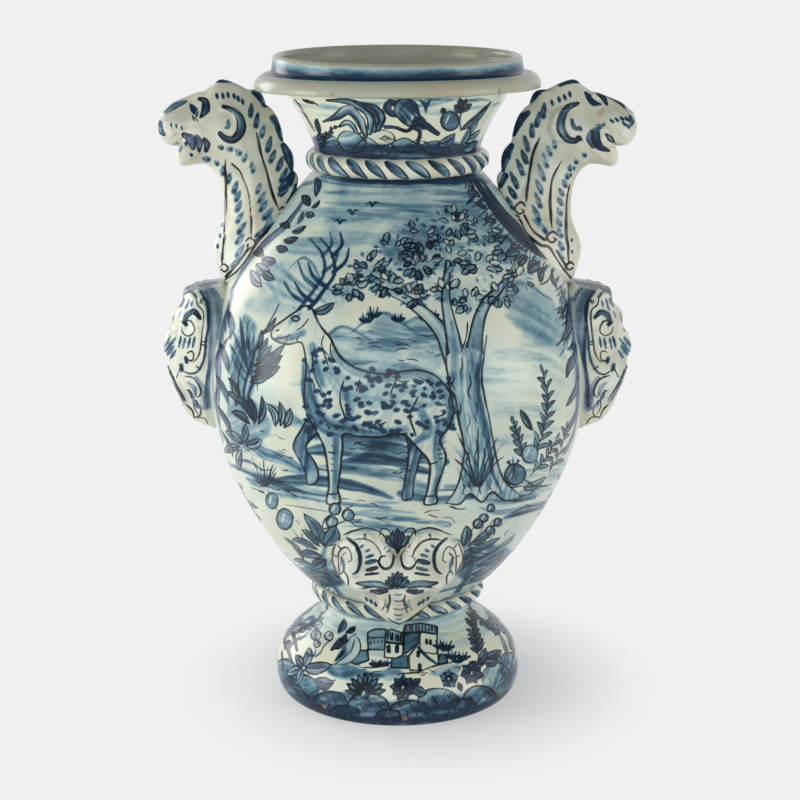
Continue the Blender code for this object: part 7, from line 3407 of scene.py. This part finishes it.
@dataclass
class Studio:
    """Round sweep of pale paper, soft lamps and a light world."""

    flat: float = 2.2
    bend: float = 0.9
    wall: float = 1.5
    under: float = 0.0002
    steps: int = 24
    around: int = 96
    world: float = 0.26
    lamps: tuple = (
        ("left_soft", (-2.2, -0.6, 0.55), (1.0, 1.2), 25.0), ("left_back", (-1.6, 1.3, 0.7), (0.8, 1.3), 12.0),
        ("right_soft", (2.1, -0.9, 0.6), (1.1, 1.2), 15.0), ("front_fill", (-0.3, -2.4, 0.7), (1.6, 1.0), 9.0),
    )

    def build(self) -> None:
        """Lay the paper, hang the lamps and set the world."""
        turns = np.radians(np.linspace(0, 90, self.steps))
        outline = np.vstack((
            ((0.001, -self.under), (self.flat, -self.under)),
            np.column_stack((self.flat + self.bend * np.sin(turns), self.bend * (1 - np.cos(turns)))),
            ((self.flat + self.bend, self.bend + self.wall),),
        ))
        azimuths = np.linspace(0, TAU, self.around, endpoint=False)
        points = turned(outline, azimuths)
        faces = [
            grid_quads(len(outline), len(azimuths), wrap_columns=True)[:, ::-1], np.arange(len(azimuths))[None]
        ]
        paper = make_piece("paper_sweep", points.reshape(-1, 3), faces, {})
        paper.data.materials.append(Paper().material())
        world = bpy.data.worlds.new("studio")
        world.use_nodes = True
        world.node_tree.nodes["Background"].inputs["Color"].default_value = linear(250, 251, 252)
        world.node_tree.nodes["Background"].inputs["Strength"].default_value = self.world
        bpy.context.scene.world = world
        for name, place, size, power in self.lamps:
            lamp = bpy.data.lights.new(name, "AREA")
            lamp.shape, lamp.size, lamp.size_y, lamp.energy = "RECTANGLE", *size, power
            holder = bpy.data.objects.new(name, lamp)
            holder.location = place
            holder.rotation_euler = (Vector((0, 0, 0.3)) - Vector(place)).to_track_quat("-Z", "Y").to_euler()
            bpy.context.scene.collection.objects.link(holder)


def main() -> None:
    """Build the vase around its frame and report each piece."""
    logging.basicConfig(level=logging.INFO, format="%(message)s")
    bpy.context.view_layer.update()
    bpy.context.scene.view_settings.view_transform = "Standard"
    VIEW.add_camera()
    Studio().build()
    glaze = PaintedGlaze("painted_glaze").material()
    relief = PaintedGlaze(
        "relief_glaze", pale=linear(220, 226, 210), warm=linear(220, 216, 194), smoky=0.6, pen=0.04
    ).material()
    # The rim's glaze is a darker copy of the painted glaze: painted shade over the whole rim, whose flange and lip
    # take little light from above.
    rim = PaintedGlaze("rim_glaze", pale=linear(172, 176, 157), warm=linear(176, 170, 145)).material()
    groups: list[tuple[str, list[bpy.types.Object]]] = [
        ("painted_glaze", Foot().build(glaze)),
        ("painted_glaze", Belly().build(glaze)),
        ("painted_glaze", Neck().build(glaze)),
        ("rim_glaze", Rim().build(rim)),
        ("relief_glaze", RopeRing(
            "lower_rope", "lower_rope_ring", STOCK.foot_top, STOCK.lower_rope, STOCK.lower_rope_thickness, 26
        ).build(relief)),
        ("relief_glaze", RopeRing(
            "neck_rope", "neck_rope_ring", STOCK.neck_joint_height, STOCK.neck_rope, STOCK.neck_rope_thickness, 27
        ).build(relief)),
        ("relief_glaze", Handle("left_beast_handle", "left_handle", Side.LEFT).build(relief)),
        ("relief_glaze", Handle("right_beast_handle", "right_handle", Side.RIGHT).build(relief)),
        ("relief_glaze", Mask("front_grotesque", "front_mask", LOW_MASK).build(relief)),
        ("relief_glaze", Mask("back_grotesque", "back_mask", LOW_MASK, behind=True).build(relief)),
        ("relief_glaze", Mask("left_grotesque", "left_mask", SIDE_MASK, Side.LEFT).build(relief)),
        ("relief_glaze", Mask("right_grotesque", "right_mask", SIDE_MASK, Side.RIGHT).build(relief)),
    ]
    for slot, pieces in groups:
        for piece in pieces:
            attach(piece, "root")
            log.info("%s: %d faces", piece.name, len(piece.data.polygons))


if __name__ == "__main__":
    main()
